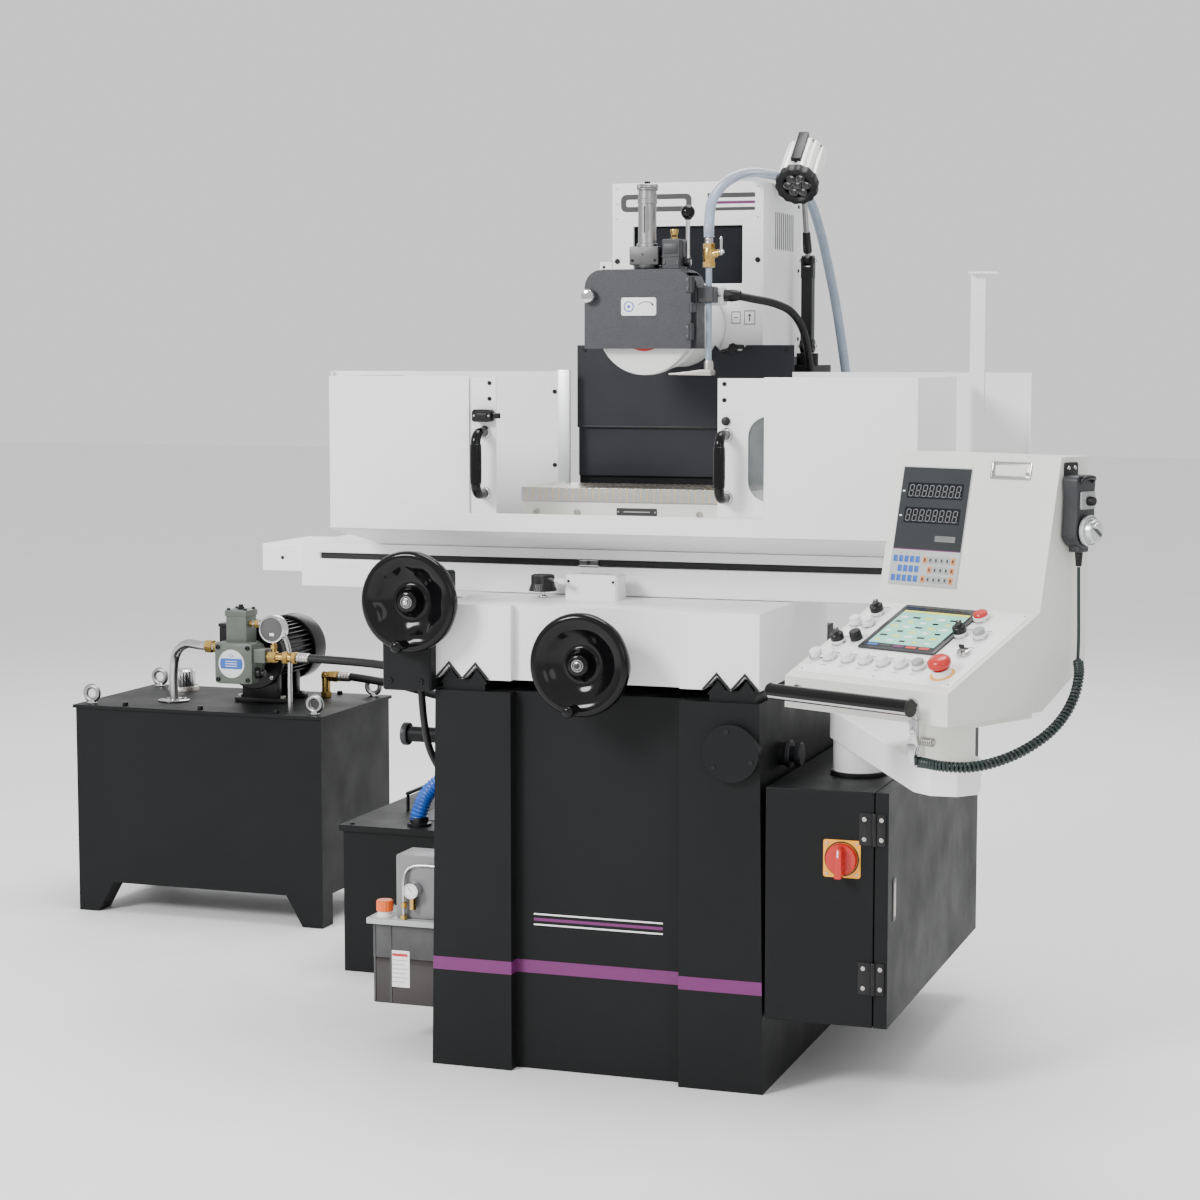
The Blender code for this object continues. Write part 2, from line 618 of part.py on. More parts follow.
def make_handwheel(name, centre, body):
    """A dish on a short shaft, with a crank grip near its rim. The shaft points back, along +Y."""
    profile = [
        (0, 0.020), (0.016, 0.020), (0.020, 0.014), (0.024, 0.006), (0.060, -0.006), (0.082, 0.006),
        (0.092, 0.014), (0.100, 0.006), (0.100, -0.008), (0.090, -0.018), (0.078, -0.010), (0.060, -0.018),
        (0.028, -0.014), (0.026, -0.020), (0.017, -0.022), (0.017, -0.060), (0, -0.060),
    ]
    dish = turned(profile, centre, (0, -1, 0), steps=32)
    angle = math.radians(GRIP_ANGLE)
    x, z = centre[0] + 0.084 * math.cos(angle), centre[2] + 0.084 * math.sin(angle)
    grip = turned(
        [(0, 0.062), (0.009, 0.060), (0.012, 0.052), (0.009, 0.020), (0.008, 0.000), (0, 0.000)],
        (x, centre[1], z),
        (0, -1, 0),
        steps=16,
    )
    sub_part(name, union(dish, grip), body, material("black_bakelite", BLACK, 0.12))


def make_table(body):
    table = box((-TABLE_HALF, TABLE_HALF), TABLE_Y, TABLE_Z)
    slot = box((-0.698, 0.698), (TABLE_Y[0] - 0.01, TABLE_Y[0] + 0.010), (0.988, 1.001))
    dog = box((-0.118, -0.078), (TABLE_Y[0] + 0.0005, TABLE_Y[0] + 0.02), (0.980, 1.010))
    ends = [
        box(span, (-0.290, -0.060), (0.958, 1.016))
        for span in ((-TABLE_COVER_HALF, -TABLE_HALF + 0.01), (TABLE_HALF - 0.01, TABLE_COVER_HALF))
    ]
    sub_part("table", union(cut(table, slot), dog, *ends), body, material("white_paint", WHITE, 0.35))
    sub_part("splash_tray", splash_tray(), body, material("white_paint", WHITE, 0.35))
    x = (-CHUCK_HALF, CHUCK_HALF)
    low = box(x, (CHUCK_Y[0] + 0.004, CHUCK_Y[1] - 0.004), CHUCK_Z[:2])
    sub_part("chuck_body", low, body, material("cream_paint", (0.72, 0.70, 0.60), 0.4))
    plate = box(x, CHUCK_Y, (CHUCK_Z[1] + GAP, CHUCK_Z[2]))
    sub_part("chuck_plate", plate, body, material("ground_steel", STEEL, 0.3, 1.0))


def splash_tray():
    """An open pan whose floor lies on the table and whose four sides slope out to the guard."""
    low = [(-0.560, -0.298), (0.560, -0.298), (0.560, -0.0785), (-0.560, -0.0785)]
    ends = ((-GUARD_HALF, GUARD_FRONT), (GUARD_HALF, GUARD_FRONT))
    high = [*ends, (GUARD_HALF, GUARD_BACK), (-GUARD_HALF, GUARD_BACK)]
    work = bmesh.new()
    bottom = [work.verts.new((x, y, TRAY_FLOOR_Z)) for x, y in low]
    top = [work.verts.new((x, y, GUARD_Z[0] - GAP)) for x, y in high]
    work.faces.new(bottom)
    for i in range(4):
        j = (i + 1) % 4
        work.faces.new((bottom[i], top[i], top[j], bottom[j]))
    obj = from_bmesh(work)
    thick = obj.modifiers.new("sheet", "SOLIDIFY")
    thick.thickness = SHEET
    thick.offset = 1
    thick.use_even_offset = False
    tray = baked(obj)
    trim = box((-0.7, 0.7), (-0.5, 0), (GUARD_Z[0] - GAP, 1.1))
    return cut(tray, trim)


def make_guard(body):
    half, front = GUARD_HALF, GUARD_FRONT
    low, sill, high = GUARD_Z
    outline = [
        (-half, low), (half, low), (half, high), (OPENING_X[1], high), (OPENING_X[1], sill),
        (OPENING_X[0], sill), (OPENING_X[0], high), (-half, high),
    ]
    face = prism(outline, "Y", (front, front + SHEET))
    sides = [
        box(span, (front + 0.0005, GUARD_BACK), (low, high))
        for span in ((-half, -half + SHEET), (half - SHEET, half))
    ]
    sub_part("splash_guard", union(face, *sides), body, material("white_paint", WHITE, 0.35))


def make_rear_guards(body):
    """The two wide sheets behind the table, each on a leg that stands on the saddle."""
    back = REAR_GUARD_BACK
    low, edge, high = SADDLE_Z[1] + GAP, 1.03, REAR_GUARD_TOP
    paint = material("white_paint", WHITE, 0.35)
    leg_y = (back - 0.005, back - 0.001)
    sheet = box((-0.790, -0.238), (back - SHEET, back), (edge, high))
    leg = box((-0.330, -0.314), leg_y, (low, edge + 0.05))
    flange = box((-0.792, -0.788), (back - 0.015, back - 0.001), (edge + 0.001, high - 0.001))
    strip = box((-0.262, -0.236), (back - 0.0055, back - 0.001), (edge + 0.001, high + 0.003))
    sub_part("rear_guard_left", union(sheet, leg, flange, strip), body, paint)
    sheet = box((0.254, 0.750), (back - SHEET, back), (edge, high))
    leg = box((0.314, 0.330), leg_y, (low, edge + 0.05))
    flange = box((0.748, 0.752), (back - 0.015, back - 0.001), (edge + 0.001, high - 0.001))
    post = box((0.625, 0.655), (back - 0.006, back - 0.001), (1.04, 1.580))
    hook = box((0.624, 0.683), (back - 0.026, back - 0.0005), (1.578, 1.582))
    sub_part("rear_guard_right", union(sheet, leg, flange, post, hook), body, paint)


def d_window(flat, round_side, low, high, radius):
    """The outline of a window with a flat side at x = flat and two rounded corners on the other."""
    sign = 1 if round_side > flat else -1
    x = round_side - sign * radius
    if sign > 0:
        corners = arc((x, high - radius), radius, 90, 0, 7) + arc((x, low + radius), radius, 0, -90, 7)
    else:
        corners = arc((x, high - radius), radius, 90, 180, 7) + arc((x, low + radius), radius, 180, 270, 7)
    return [(flat, high), *corners, (flat, low)]


def make_door(side, name, edge, body):
    """side is -1 for the left door, whose free edge looks right, and 1 for the right one."""
    low, high = 1.0665, 1.371
    y = (GUARD_FRONT + SHEET + 0.0018, GUARD_FRONT + 2 * SHEET + 0.0018)
    far = edge + side * DOOR_WIDTH
    window = d_window(edge + side * 0.231, edge + side * 0.061, 1.134, 1.298, 0.040)
    outline = [(min(edge, far), low), (max(edge, far), low), (max(edge, far), high), (min(edge, far), high)]
    sub_part(name, prism(outline, "Y", y, holes=[window]), body, material("white_paint", WHITE, 0.35))
    x = edge + side * (0.024 if side < 0 else 0.018)
    out = GUARD_FRONT - 0.045
    back = y[0] - GAP
    corner = 0.018
    path = [(x, back, 1.262), (x, out + corner, 1.262)]
    turns = (0.5, 1.05)
    path += [(x, out + corner - corner * math.sin(a), 1.262 - corner + corner * math.cos(a)) for a in turns]
    path += [(x, out, 1.262 - corner), (x, out, 1.140 + corner)]
    path += [(x, out + corner - corner * math.cos(a), 1.140 + corner - corner * math.sin(a)) for a in turns]
    path += [(x, out + corner, 1.140), (x, back, 1.140)]
    feet = [rod((x, back, z), (x, back - 0.006, z), 0.014) for z in (1.140, 1.262)]
    handle = union(tube(path, 0.0095, 3), *feet)
    sub_part(name + "_handle", handle, body, material("black_plastic", BLACK, 0.3))


def make_latch(body):
    y = GUARD_FRONT + SHEET + 0.0018 - GAP
    case = box((-0.288, -0.248), (y - 0.022, y), (1.283, 1.308), bevel=0.003)
    bolt = box((-0.250, -0.232), (y - 0.016, y - 0.006), (1.290, 1.301))
    sub_part("door_latch", union(case, bolt), body, material("black_plastic", BLACK, 0.3))


def make_head(body):
    slide = box((-0.160, 0.160), (0.0585, 0.125), (1.415, 1.545))
    housing = rod((0, WHEEL_Y[1] + 0.0255, WHEEL_AXIS_Z), (0, 0.065, WHEEL_AXIS_Z), 0.085, segments=40)
    block = box((0.05, 0.138), (-0.150, -0.110), (1.516, 1.556), bevel=0.004)
    bore = rod((0, -0.30, WHEEL_AXIS_Z), (0, -0.105, WHEEL_AXIS_Z), 0.0206)
    head = cut(union(slide, housing, block), bore)
    sub_part("wheel_head", head, body, material("white_paint", WHITE, 0.35))

    outer = box((-COVER_HALF, COVER_HALF), COVER_Y, COVER_Z)
    inner = box(
        (-COVER_HALF + SHEET, COVER_HALF - SHEET),
        (COVER_Y[0] + SHEET, COVER_Y[1] + 0.01),
        (COVER_Z[0] - 0.01, COVER_Z[1] - SHEET),
    )
    window = box((-0.120, 0.122), (COVER_Y[0] - 0.01, COVER_Y[0] + 0.01), (1.566, 1.688))
    front = COVER_Y[0]
    opening = rod((0, front - 0.01, WHEEL_AXIS_Z), (0, front + 0.01, WHEEL_AXIS_Z), 0.0855, segments=40)
    cover = cut(outer, inner, window, opening)
    shoulder = box((-0.197, -COVER_HALF + 0.001), (COVER_Y[0] + 0.001, 0.200), (1.440, 1.614))
    plate = box((-COVER_HALF + 0.001, COVER_HALF - 0.001), (0.068, 0.071), (1.550, 1.704))
    sub_part("head_cover", union(cover, shoulder, plate), body, material("white_paint", WHITE, 0.35))


def make_way_covers(body, middle_body):
    dark = material("anthracite_paint", ANTHRACITE, 0.5)
    x0, x1 = WAY_COVER_X
    outline = [
        (x0, 1.262), (x1, 1.262), (x1, 1.436), (0.145, 1.436), (0.134, 1.424), (NOTCH_RADIUS, 1.424),
        *arc((0, WHEEL_AXIS_Z), CLAMP_RADIUS, -27, -153, 19), (-NOTCH_RADIUS, 1.436), (x0, 1.436),
    ]
    upper = prism(outline, "Y", (0.010, 0.013))
    sub_part("way_cover_upper", upper, body, dark)
    notch_z = WHEEL_AXIS_Z - HEAD_DROP / 2
    middle = notched_plate((x0 + 0.001, x1 - 0.001), (0.0175, 0.0205), (1.157, 1.360), notch_z)
    sub_part("way_cover_middle", middle, middle_body, dark)


def make_wheel_guard(body, cover_body):
    x0, x1 = WHEEL_GUARD_X
    low, high = WHEEL_GUARD_Z
    r = 0.036
    corners = [*arc((x1 - r, high - r), r, 0, 90, 6), *arc((x0 + r, high - r), r, 90, 180, 6)]
    outline = [(x0, low), (x1, low), *corners]
    shell = prism(outline, "Y", (-0.246, -0.188))
    cavity = box((-0.1055, 0.1055), (-0.26, -0.196), (1.40, 1.580))
    spindle_hole = rod((0, -0.20, WHEEL_AXIS_Z), (0, -0.18, WHEEL_AXIS_Z), 0.024)
    slot = box((-0.008, 0.008), (-0.254, DRESSER_Y + 0.028), (1.57, 1.60))
    shell = cut(shell, cavity, spindle_hole, slot)
    base = box((0.036, 0.076), (-0.240, -0.190), (high - 0.002, 1.648), bevel=0.003)
    cup = rod((0.056, -0.215, 1.645), (0.056, -0.215, 1.668), 0.006, segments=12)
    knuckle = rod((*GUARD_HINGE, 1.500), (*GUARD_HINGE, 1.520), 0.0048, segments=12)
    lug = box((GUARD_HINGE[0], 0.1125), (-0.2665, -0.240), (1.501, 1.519))
    clamp = box((x1 - 0.001, 0.146), (-0.240, -0.205), (1.520, 1.552), bevel=0.002)
    hose_bore = rod((*PIPE_XY, 1.50), (*PIPE_XY, 1.60), 0.0068)
    guard = union(shell, base, cup, lug, knuckle, cut(clamp, hose_bore))
    sub_part("wheel_guard", guard, body, material("hammertone", HAMMERTONE, 0.55))

    x1 = 0.1055
    outline = [
        (x0 + 0.002, low), (x1, low), *arc((x1 - r, high - r - 0.001), r, 0, 90, 6),
        *arc((x0 + 0.002 + r, high - r - 0.001), r, 90, 180, 6),
    ]
    plate = prism(outline, "Y", (-0.262, -0.2463))
    knob = turned(
        [(0, 0.018), (0.012, 0.017), (0.0145, 0.010), (0.012, 0.003), (0.006, 0.000), (0.006, -0.004),
         (0, -0.004)],
        (-0.108, -0.262, 1.534),
        (0, -1, 0),
        steps=24,
    )
    hinges = [
        rod((*GUARD_HINGE, z - 0.016), (*GUARD_HINGE, z + 0.016), 0.0048, segments=12) for z in (1.462, 1.556)
    ]
    leaves = [box((0.095, GUARD_HINGE[0]), (-0.267, -0.260), (z - 0.015, z + 0.015)) for z in (1.462, 1.556)]
    cover = union(plate, knob, *leaves, *hinges)
    sub_part("wheel_guard_cover", cover, cover_body, material("hammertone", HAMMERTONE, 0.55))


def make_wheel(body):
    near, far = WHEEL_Y
    centre = (0, 0, WHEEL_AXIS_Z)
    ring = [(WHEEL_RADIUS, -near), (WHEEL_RADIUS, -far), (WHEEL_BORE, -far), (WHEEL_BORE, -near)]
    wheel = turned(ring, centre, (0, -1, 0), steps=48, closed=True)
    sub_part("grinding_wheel", wheel, body, material("corundum", (0.80, 0.80, 0.78), 0.9))
    profile = [
        (0, 0.2445), (0.012, 0.2445), (0.012, 0.2440), (0.034, 0.2440), (0.036, 0.2385), (0.0155, 0.2385),
        (0.0155, 0.2125), (0.042, 0.2125), (0.042, 0.2045), (0.020, 0.2040), (0.020, 0.112), (0, 0.110),
    ]
    spindle = turned(profile, centre, (0, -1, 0), steps=24)
    sub_part("wheel_spindle", spindle, body, material("ground_steel", STEEL, 0.3, 1.0))


def make_dresser(carriage_body, dial_body, lever_body):
    y = DRESSER_Y
    low = WHEEL_GUARD_Z[1] + 0.0005
    block = box((-0.029, 0.033), (y - 0.024, y + 0.024), (low, 1.634), bevel=0.003)
    barrel = rod((0.002, y, 1.63), (0.002, y, DRESSER_TOP), 0.0185, segments=28)
    groove = box((-0.001, 0.005), (y - 0.03, y - 0.0155), (1.66, 1.715))
    quill = rod((0.0, y, 1.577), (0.0, y, 1.60), 0.005, segments=12)
    carriage = union(cut(union(block, barrel), groove), quill)
    satin = material("satin_steel", (0.45, 0.45, 0.45), 0.35, 1.0)
    sub_part("dresser_carriage", carriage, carriage_body, satin)
    dial = turned(
        [(0, 0.019), (0.006, 0.019), (0.006, 0.013), (0.020, 0.013), (0.0215, 0.011), (0.0215, 0.0015),
         (0.019, GAP), (0, GAP)],
        (0.002, y, DRESSER_TOP),
        UP,
        steps=28,
    )
    sub_part("dresser_dial", dial, dial_body, material("satin_steel", (0.45, 0.45, 0.45), 0.35, 1.0))
    x, ly, z = LEVER_PIVOT
    boss = rod((0.0763, ly, z), (0.0895, ly, z), 0.009)
    shank = rod((x, ly, z), (x, ly, 1.696), 0.0042, segments=16)
    knob = ball((x, ly, 1.702), 0.0145)
    sub_part("dresser_lever", union(boss, shank, knob), lever_body, material("chrome", STEEL, 0.1, 1.0))


def make_coolant_valve(body, lever_body):
    x, y = PIPE_XY
    pipe = rod((x, y, 1.386), (x, y, 1.600), 0.0063)
    fitting = rod((x, y, 1.386), (x, y, 1.404), 0.0095, end_radius=0.008)
    lip = [(0.142, 1.374), (0.142, 1.386), (0.112, 1.386), (0.052, 1.379), (0.052, 1.375)]
    nozzle = prism(lip, "Y", (-0.243, -0.207))
    valve = rod((x, y, 1.592), (x, y, 1.640), 0.0125, segments=16)
    side = rod((x, y, 1.614), (x + 0.022, y, 1.620), 0.008, segments=16)
    tail = rod((x, y, 1.635), (x, y, 1.650), 0.0085, segments=16)
    sub_part(
        "coolant_valve",
        union(pipe, fitting, nozzle, valve, side, tail),
        body,
        material("brass", BRASS, 0.3, 1.0),
    )
    stem = rod((x + 0.0225, y, 1.6205), (x + 0.030, y, 1.6225), 0.005, segments=12)
    blade = box((x + 0.024, x + 0.027), (y - 0.006, y + 0.006), (1.6175, 1.652))
    sub_part("valve_lever", union(stem, blade), lever_body, material("chrome", STEEL, 0.1, 1.0))


def make_lamp(arm_body, head_body):
    x, y, z = LAMP_BASE
    top = LAMP_ELBOW[2]
    hub = rod((x - 0.015, y, z), (x + 0.015, y, z), 0.0155)
    bolt = rod((x - 0.021, y, z), (x + 0.021, y, z), 0.004, segments=12)
    arm = box((x - 0.013, x + 0.013), (y - 0.015, y + 0.015), (z, top - 0.03), bevel=0.003)
    ears = [
        box((x + s - 0.003, x + s + 0.003), (y - 0.012, y + 0.012), (top - 0.04, top + 0.012))
        for s in (-0.0105, 0.0105)
    ]
    sub_part("lamp_arm", union(arm, hub, bolt, *ears), arm_body, material("black_plastic", BLACK, 0.35))
    pin = rod((x - 0.007, y, top), (x + 0.007, y, top), 0.011)
    middle = Vector(LAMP_MIDDLE)
    elbow = Vector(LAMP_ELBOW)
    stalk = rod(elbow, middle, 0.0055)
    socket = rod(elbow.lerp(middle, 0.11), elbow.lerp(middle, 0.30), 0.0100, end_radius=0.0085)
    half = LAMP_LENGTH / 2
    lamp = turned(
        [(0, half), (0.030, half), (0.031, half + 0.006), (0.047, half + 0.006), (0.047, half - 0.016),
         (0.044, half - 0.020), (0.044, 0.006 - half), (0.038, -half), (0, -half)],
        middle,
        LAMP_AXIS,
        steps=24,
    )
    up = Vector((0, LAMP_AXIS[2], -LAMP_AXIS[1])).normalized()
    lug_at = middle + up * 0.046 - Vector(LAMP_AXIS) * 0.012
    lug = placed(
        box((-0.009, 0.009), (-0.007, 0.006), (-0.045, 0.045), bevel=0.002),
        Matrix.Translation(lug_at) @ Vector(LAMP_AXIS).to_track_quat("Z", "Y").to_matrix().to_4x4(),
    )
    shell = material("lamp_shell", (0.75, 0.75, 0.74), 0.35)
    sub_part("lamp_head", union(lamp, pin, socket, stalk, lug), head_body, shell)


def pendant_matrix():
    """From the pendant's own frame (u to its right, v to its back, z up) to the world."""
    turn = Matrix.Rotation(PENDANT_TURN, 4, "Z")
    corner = Vector((*PENDANT_XY, 0)) - turn @ Vector((*NECK_UV, 0))
    return Matrix.Translation(corner) @ turn


def console_point(u, s, lift=0.0):
    """A point on the sloping console in the pendant's frame: u across, s up the slope, lift off the face."""
    return Vector((
        u,
        s * math.cos(CONSOLE_TILT) - lift * math.sin(CONSOLE_TILT),
        0.872 + s * math.sin(CONSOLE_TILT) + lift * math.cos(CONSOLE_TILT),
    ))


def console_control(u, s, profile, steps=16):
    """A turned control standing on the console; its profile's heights are above the face."""
    axis = Vector((0, -math.sin(CONSOLE_TILT), math.cos(CONSOLE_TILT)))
    return placed(turned(profile, console_point(u, s), axis, steps=steps), pendant_matrix())


def make_arm(root, arm_body):
    x, y = PILLAR_XY
    pillar = rod((x, y, CABINET_Z[1] + GAP), (x, y, ARM_Z[0] - GAP), 0.050, segments=32)
    sub_part("pendant_pillar", pillar, root, material("white_paint", WHITE, 0.35))
    start, end = Vector(PILLAR_XY), Vector(PENDANT_XY)
    along = (end - start).normalized()
    side = Vector((-along.y, along.x))
    outline = []
    for middle, half, first in ((start, 0.058, 90), (end, 0.060, -90)):
        for i in range(5):
            angle = math.radians(first + 45 * i)
            outline.append(middle + half * (math.cos(angle) * along + math.sin(angle) * side))
    arm = prism([tuple(p) for p in outline], "Z", ARM_Z)
    sub_part("swing_arm", arm, arm_body, material("white_paint", WHITE, 0.35))


def make_pendant(body):
    frame = pendant_matrix()
    case = prism(PENDANT_SIDE, "X", (0, PENDANT_WIDTH))
    neck = rod((*NECK_UV, ARM_Z[1] + GAP), (*NECK_UV, 0.83), 0.047, segments=32)
    plate = box((0.10, 0.33), (0.10, 0.255), (0.806, 0.82))
    clamp = box((0.277, 0.293), (-0.004, 0.012), (0.765, 0.825))
    hook = rod((0.285, 0.004, 0.790), (0.285, -0.006, 0.770), 0.008, segments=12)
    case = union(case, neck, plate, clamp, hook)
    pockets = [
        rod(console_point(u, s, 0.01), console_point(u, s, -0.009), radius, segments=20)
        for u, s, radius in ((0.297, 0.055, 0.0125), (0.021, 0.066, 0.0120))
    ]
    case = cut(case, *pockets)
    sub_part("control_pendant", placed(case, frame), body, material("cream_paint", (0.72, 0.72, 0.68), 0.4))
    height, out = 0.848, -0.035
    bar = rod((-0.004, out, height), (0.300, out, height), 0.0135)
    stubs = [rod((u, out, height), (u, -GAP, height), 0.007, segments=16) for u in (0.030, 0.275)]
    sub_part("grab_bar", placed(union(bar, *stubs), frame), body, material("black_rubber", BLACK, 0.3))


def make_console_controls(bodies):
    red = material("red_plastic", (0.55, 0.02, 0.02), 0.35)
    black = material("black_plastic", BLACK, 0.3)
    mushroom = [(0, 0.034), (0.012, 0.033), (0.019, 0.028), (0.0195, 0.022), (0.011, 0.018), (0.011, -0.003)]
    mushroom.append((0, -0.003))
    sub_part("emergency_stop", console_control(0.297, 0.055, mushroom), bodies["emergency_stop"], red)
    knob = [(0, 0.027), (0.009, 0.027), (0.011, 0.025), (0.0125, 0.010), (0.0125, GAP), (0, GAP)]
    sub_part("selector_left", console_control(0.030, 0.118, knob), bodies["selector_left"], black)
    sub_part("selector_right", console_control(0.250, 0.178, knob), bodies["selector_right"], black)
    key = [(0, 0.020), (0.004, 0.020), (0.004, 0.010), (0.0125, 0.009), (0.0125, GAP), (0, GAP)]
    chrome = material("chrome", STEEL, 0.1, 1.0)
    sub_part("key_switch", console_control(0.294, 0.122, key), bodies["key_switch"], chrome)
    push = [(0, 0.009), (0.0095, 0.009), (0.0105, 0.007), (0.0105, -0.003), (0, -0.003)]
    clear = material("button_white", (0.75, 0.77, 0.75), 0.25)
    sub_part("start_button", console_control(0.021, 0.066, push), bodies["start_button"], clear)


def make_pulse_generator(body, dial_body):
    frame = pendant_matrix()
    u = PENDANT_WIDTH + GAP
    case = box((u, u + 0.036), (0.300, 0.362), (1.085, 1.215), bevel=0.006)
    bracket = box((u, u + 0.004), (0.312, 0.350), (1.190, 1.236))
    strain = rod((u + 0.020, 0.331, 1.088), (u + 0.020, 0.331, 1.060), 0.006, end_radius=0.0045, segments=12)
    unit = union(case, bracket, strain)
    black = material("black_plastic", BLACK, 0.3)
    sub_part("pulse_generator", placed(unit, frame), body, black)
    dial = turned(
        [(0, 0.020), (0.022, 0.020), (0.026, 0.016), (0.027, 0.004), (0.025, GAP), (0, GAP)],
        (u + 0.036, 0.331, 1.122),
        (1, 0, 0),
        steps=28,
    )
    crank = rod((u + 0.050, 0.331 - 0.014, 1.132), (u + 0.064, 0.331 - 0.014, 1.132), 0.004, segments=12)
    sub_part("pulse_dial", placed(union(dial, crank), frame), dial_body, material("chrome", STEEL, 0.1, 1.0))
    lead_route = [(u + 0.020, 0.331, 1.0597), (u + 0.022, 0.330, 1.00), (u + 0.026, 0.326, 0.94)]
    lead_route.append((u + 0.028, 0.322, 0.90))
    lead = tube(smooth_route(lead_route, 14), 0.0028)
    coil = tube(smooth_route(CURLY_ROUTE, 40), 0.0095, 3)
    sub_part("curly_cord", placed(union(coil, lead), frame), body, material("black_rubber", BLACK, 0.3))


CURLY_ROUTE = [
    (0.374, 0.322, 0.905), (0.380, 0.318, 0.880), (0.384, 0.300, 0.845), (0.386, 0.265, 0.812),
    (0.384, 0.220, 0.786), (0.376, 0.165, 0.765), (0.364, 0.110, 0.752), (0.348, 0.060, 0.747),
    (0.325, 0.020, 0.750), (0.300, 0.004, 0.7545), (0.282, 0.004, 0.7545),
]


clear_scene()
PARTS = new_collection("surface_grinder")

root = body_at("root", (0, 0, 0))
saddle = body_at("saddle", (0, 0, SADDLE_Z[0]), root)
table = body_at("table", (0, 0, TABLE_Z[0]), saddle)
head = body_at("head", (0, 0, WHEEL_AXIS_Z), root)
carriage = body_at("dresser_carriage", (0, DRESSER_Y, WHEEL_GUARD_Z[1]), head)
arm = body_at("swing_arm", (*PILLAR_XY, ARM_Z[0]), root)
pendant = body_at("pendant", (*PENDANT_XY, ARM_Z[1]), arm)
lamp_arm = body_at("lamp_arm", LAMP_BASE, root)
console = {
    name: body_at(name, pendant_matrix() @ console_point(u, s), pendant)
    for name, u, s in (
        ("emergency_stop", 0.297, 0.055),
        ("selector_left", 0.030, 0.118),
        ("selector_right", 0.250, 0.178),
        ("key_switch", 0.294, 0.122),
        ("start_button", 0.021, 0.066),
    )
}

make_base(root)
make_column(root)
make_cabinet(
    root,
    body_at("cabinet_door", (*DOOR_PIVOT, CABINET_Z[0]), root),
    body_at("main_switch", (SWITCH_XZ[0], CABINET_Y[0], SWITCH_XZ[1]), root),
)
make_power_pack(root)
make_coolant_tank(root)
make_lubricator(root)
make_hoses(root)
make_saddle(saddle, body_at("table_speed_knob", SPEED_KNOB, saddle))
make_handwheel("longitudinal_handwheel", LONG_WHEEL, body_at("longitudinal_handwheel", LONG_WHEEL, saddle))
make_handwheel("cross_handwheel", CROSS_WHEEL, body_at("cross_handwheel", CROSS_WHEEL, saddle))
make_table(table)
make_guard(table)
make_rear_guards(saddle)
left_door = body_at("left_door", (DOOR_X[0], GUARD_FRONT, GUARD_Z[0]), table)
make_door(-1, "left_door", DOOR_X[0], left_door)
make_door(1, "right_door", DOOR_X[1], body_at("right_door", (DOOR_X[1], GUARD_FRONT, GUARD_Z[0]), table))
make_latch(body_at("door_latch", (-0.268, GUARD_FRONT, 1.295), left_door))
make_head(head)
make_way_covers(head, body_at("way_cover_middle", (0, 0.019, 1.157), root))
make_wheel_guard(head, body_at("wheel_guard_cover", (*GUARD_HINGE, WHEEL_GUARD_Z[0]), head))
make_wheel(body_at("wheel", (0, WHEEL_Y[0], WHEEL_AXIS_Z), head))
make_dresser(
    carriage,
    body_at("dresser_dial", (0.002, DRESSER_Y, DRESSER_TOP), carriage),
    body_at("dresser_lever", LEVER_PIVOT, head),
)
make_coolant_valve(head, body_at("valve_lever", (PIPE_XY[0], PIPE_XY[1], 1.614), head))
conduit = tube(smooth_route(CONDUIT_ROUTE, 40), 0.0085)
sub_part("spindle_conduit", conduit, head, material("black_rubber", BLACK, 0.3))
make_lamp(lamp_arm, body_at("lamp_head", LAMP_ELBOW, lamp_arm))
make_arm(root, arm)
make_pendant(pendant)
make_console_controls(console)
make_pulse_generator(pendant, body_at("pulse_dial", pendant_matrix() @ Vector((0.382, 0.331, 1.122)), pendant))
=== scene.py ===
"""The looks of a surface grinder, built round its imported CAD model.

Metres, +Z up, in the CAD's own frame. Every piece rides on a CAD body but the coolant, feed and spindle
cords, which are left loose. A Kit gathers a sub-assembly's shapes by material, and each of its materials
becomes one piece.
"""

import math

import bmesh
import bpy
import numpy as np
from mathutils import Matrix, Vector


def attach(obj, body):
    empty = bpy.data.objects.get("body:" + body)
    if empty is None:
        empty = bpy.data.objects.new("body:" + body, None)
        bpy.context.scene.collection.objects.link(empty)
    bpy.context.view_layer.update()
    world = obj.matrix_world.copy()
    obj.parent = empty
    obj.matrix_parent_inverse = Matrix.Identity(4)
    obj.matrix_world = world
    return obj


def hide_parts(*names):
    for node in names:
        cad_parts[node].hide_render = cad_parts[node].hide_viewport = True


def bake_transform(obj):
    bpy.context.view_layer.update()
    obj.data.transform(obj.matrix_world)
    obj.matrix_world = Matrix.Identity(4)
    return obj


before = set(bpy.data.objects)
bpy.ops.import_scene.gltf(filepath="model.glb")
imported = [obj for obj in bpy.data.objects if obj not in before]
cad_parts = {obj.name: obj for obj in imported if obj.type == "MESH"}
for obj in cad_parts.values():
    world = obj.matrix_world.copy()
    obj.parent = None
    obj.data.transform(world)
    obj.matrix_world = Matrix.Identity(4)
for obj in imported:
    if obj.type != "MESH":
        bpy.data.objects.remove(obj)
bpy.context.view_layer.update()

X = Vector((1, 0, 0))
Y = Vector((0, 1, 0))
Z = Vector((0, 0, 1))

# ---------------------------------------------------------------- camera, light and floor

CAMERA_AT = (1.6046, -5.1673, 1.4208)
CAMERA_TURN = (math.pi / 2 - 0.097, 0.0, 0.332)
CAMERA_LENS = 76.37


def make_camera():
    data = bpy.data.cameras.new("camera")
    data.lens = CAMERA_LENS
    data.sensor_width = 36
    camera = bpy.data.objects.new("camera", data)
    camera.location = CAMERA_AT
    camera.rotation_euler = CAMERA_TURN
    bpy.context.scene.collection.objects.link(camera)
    bpy.context.scene.camera = camera


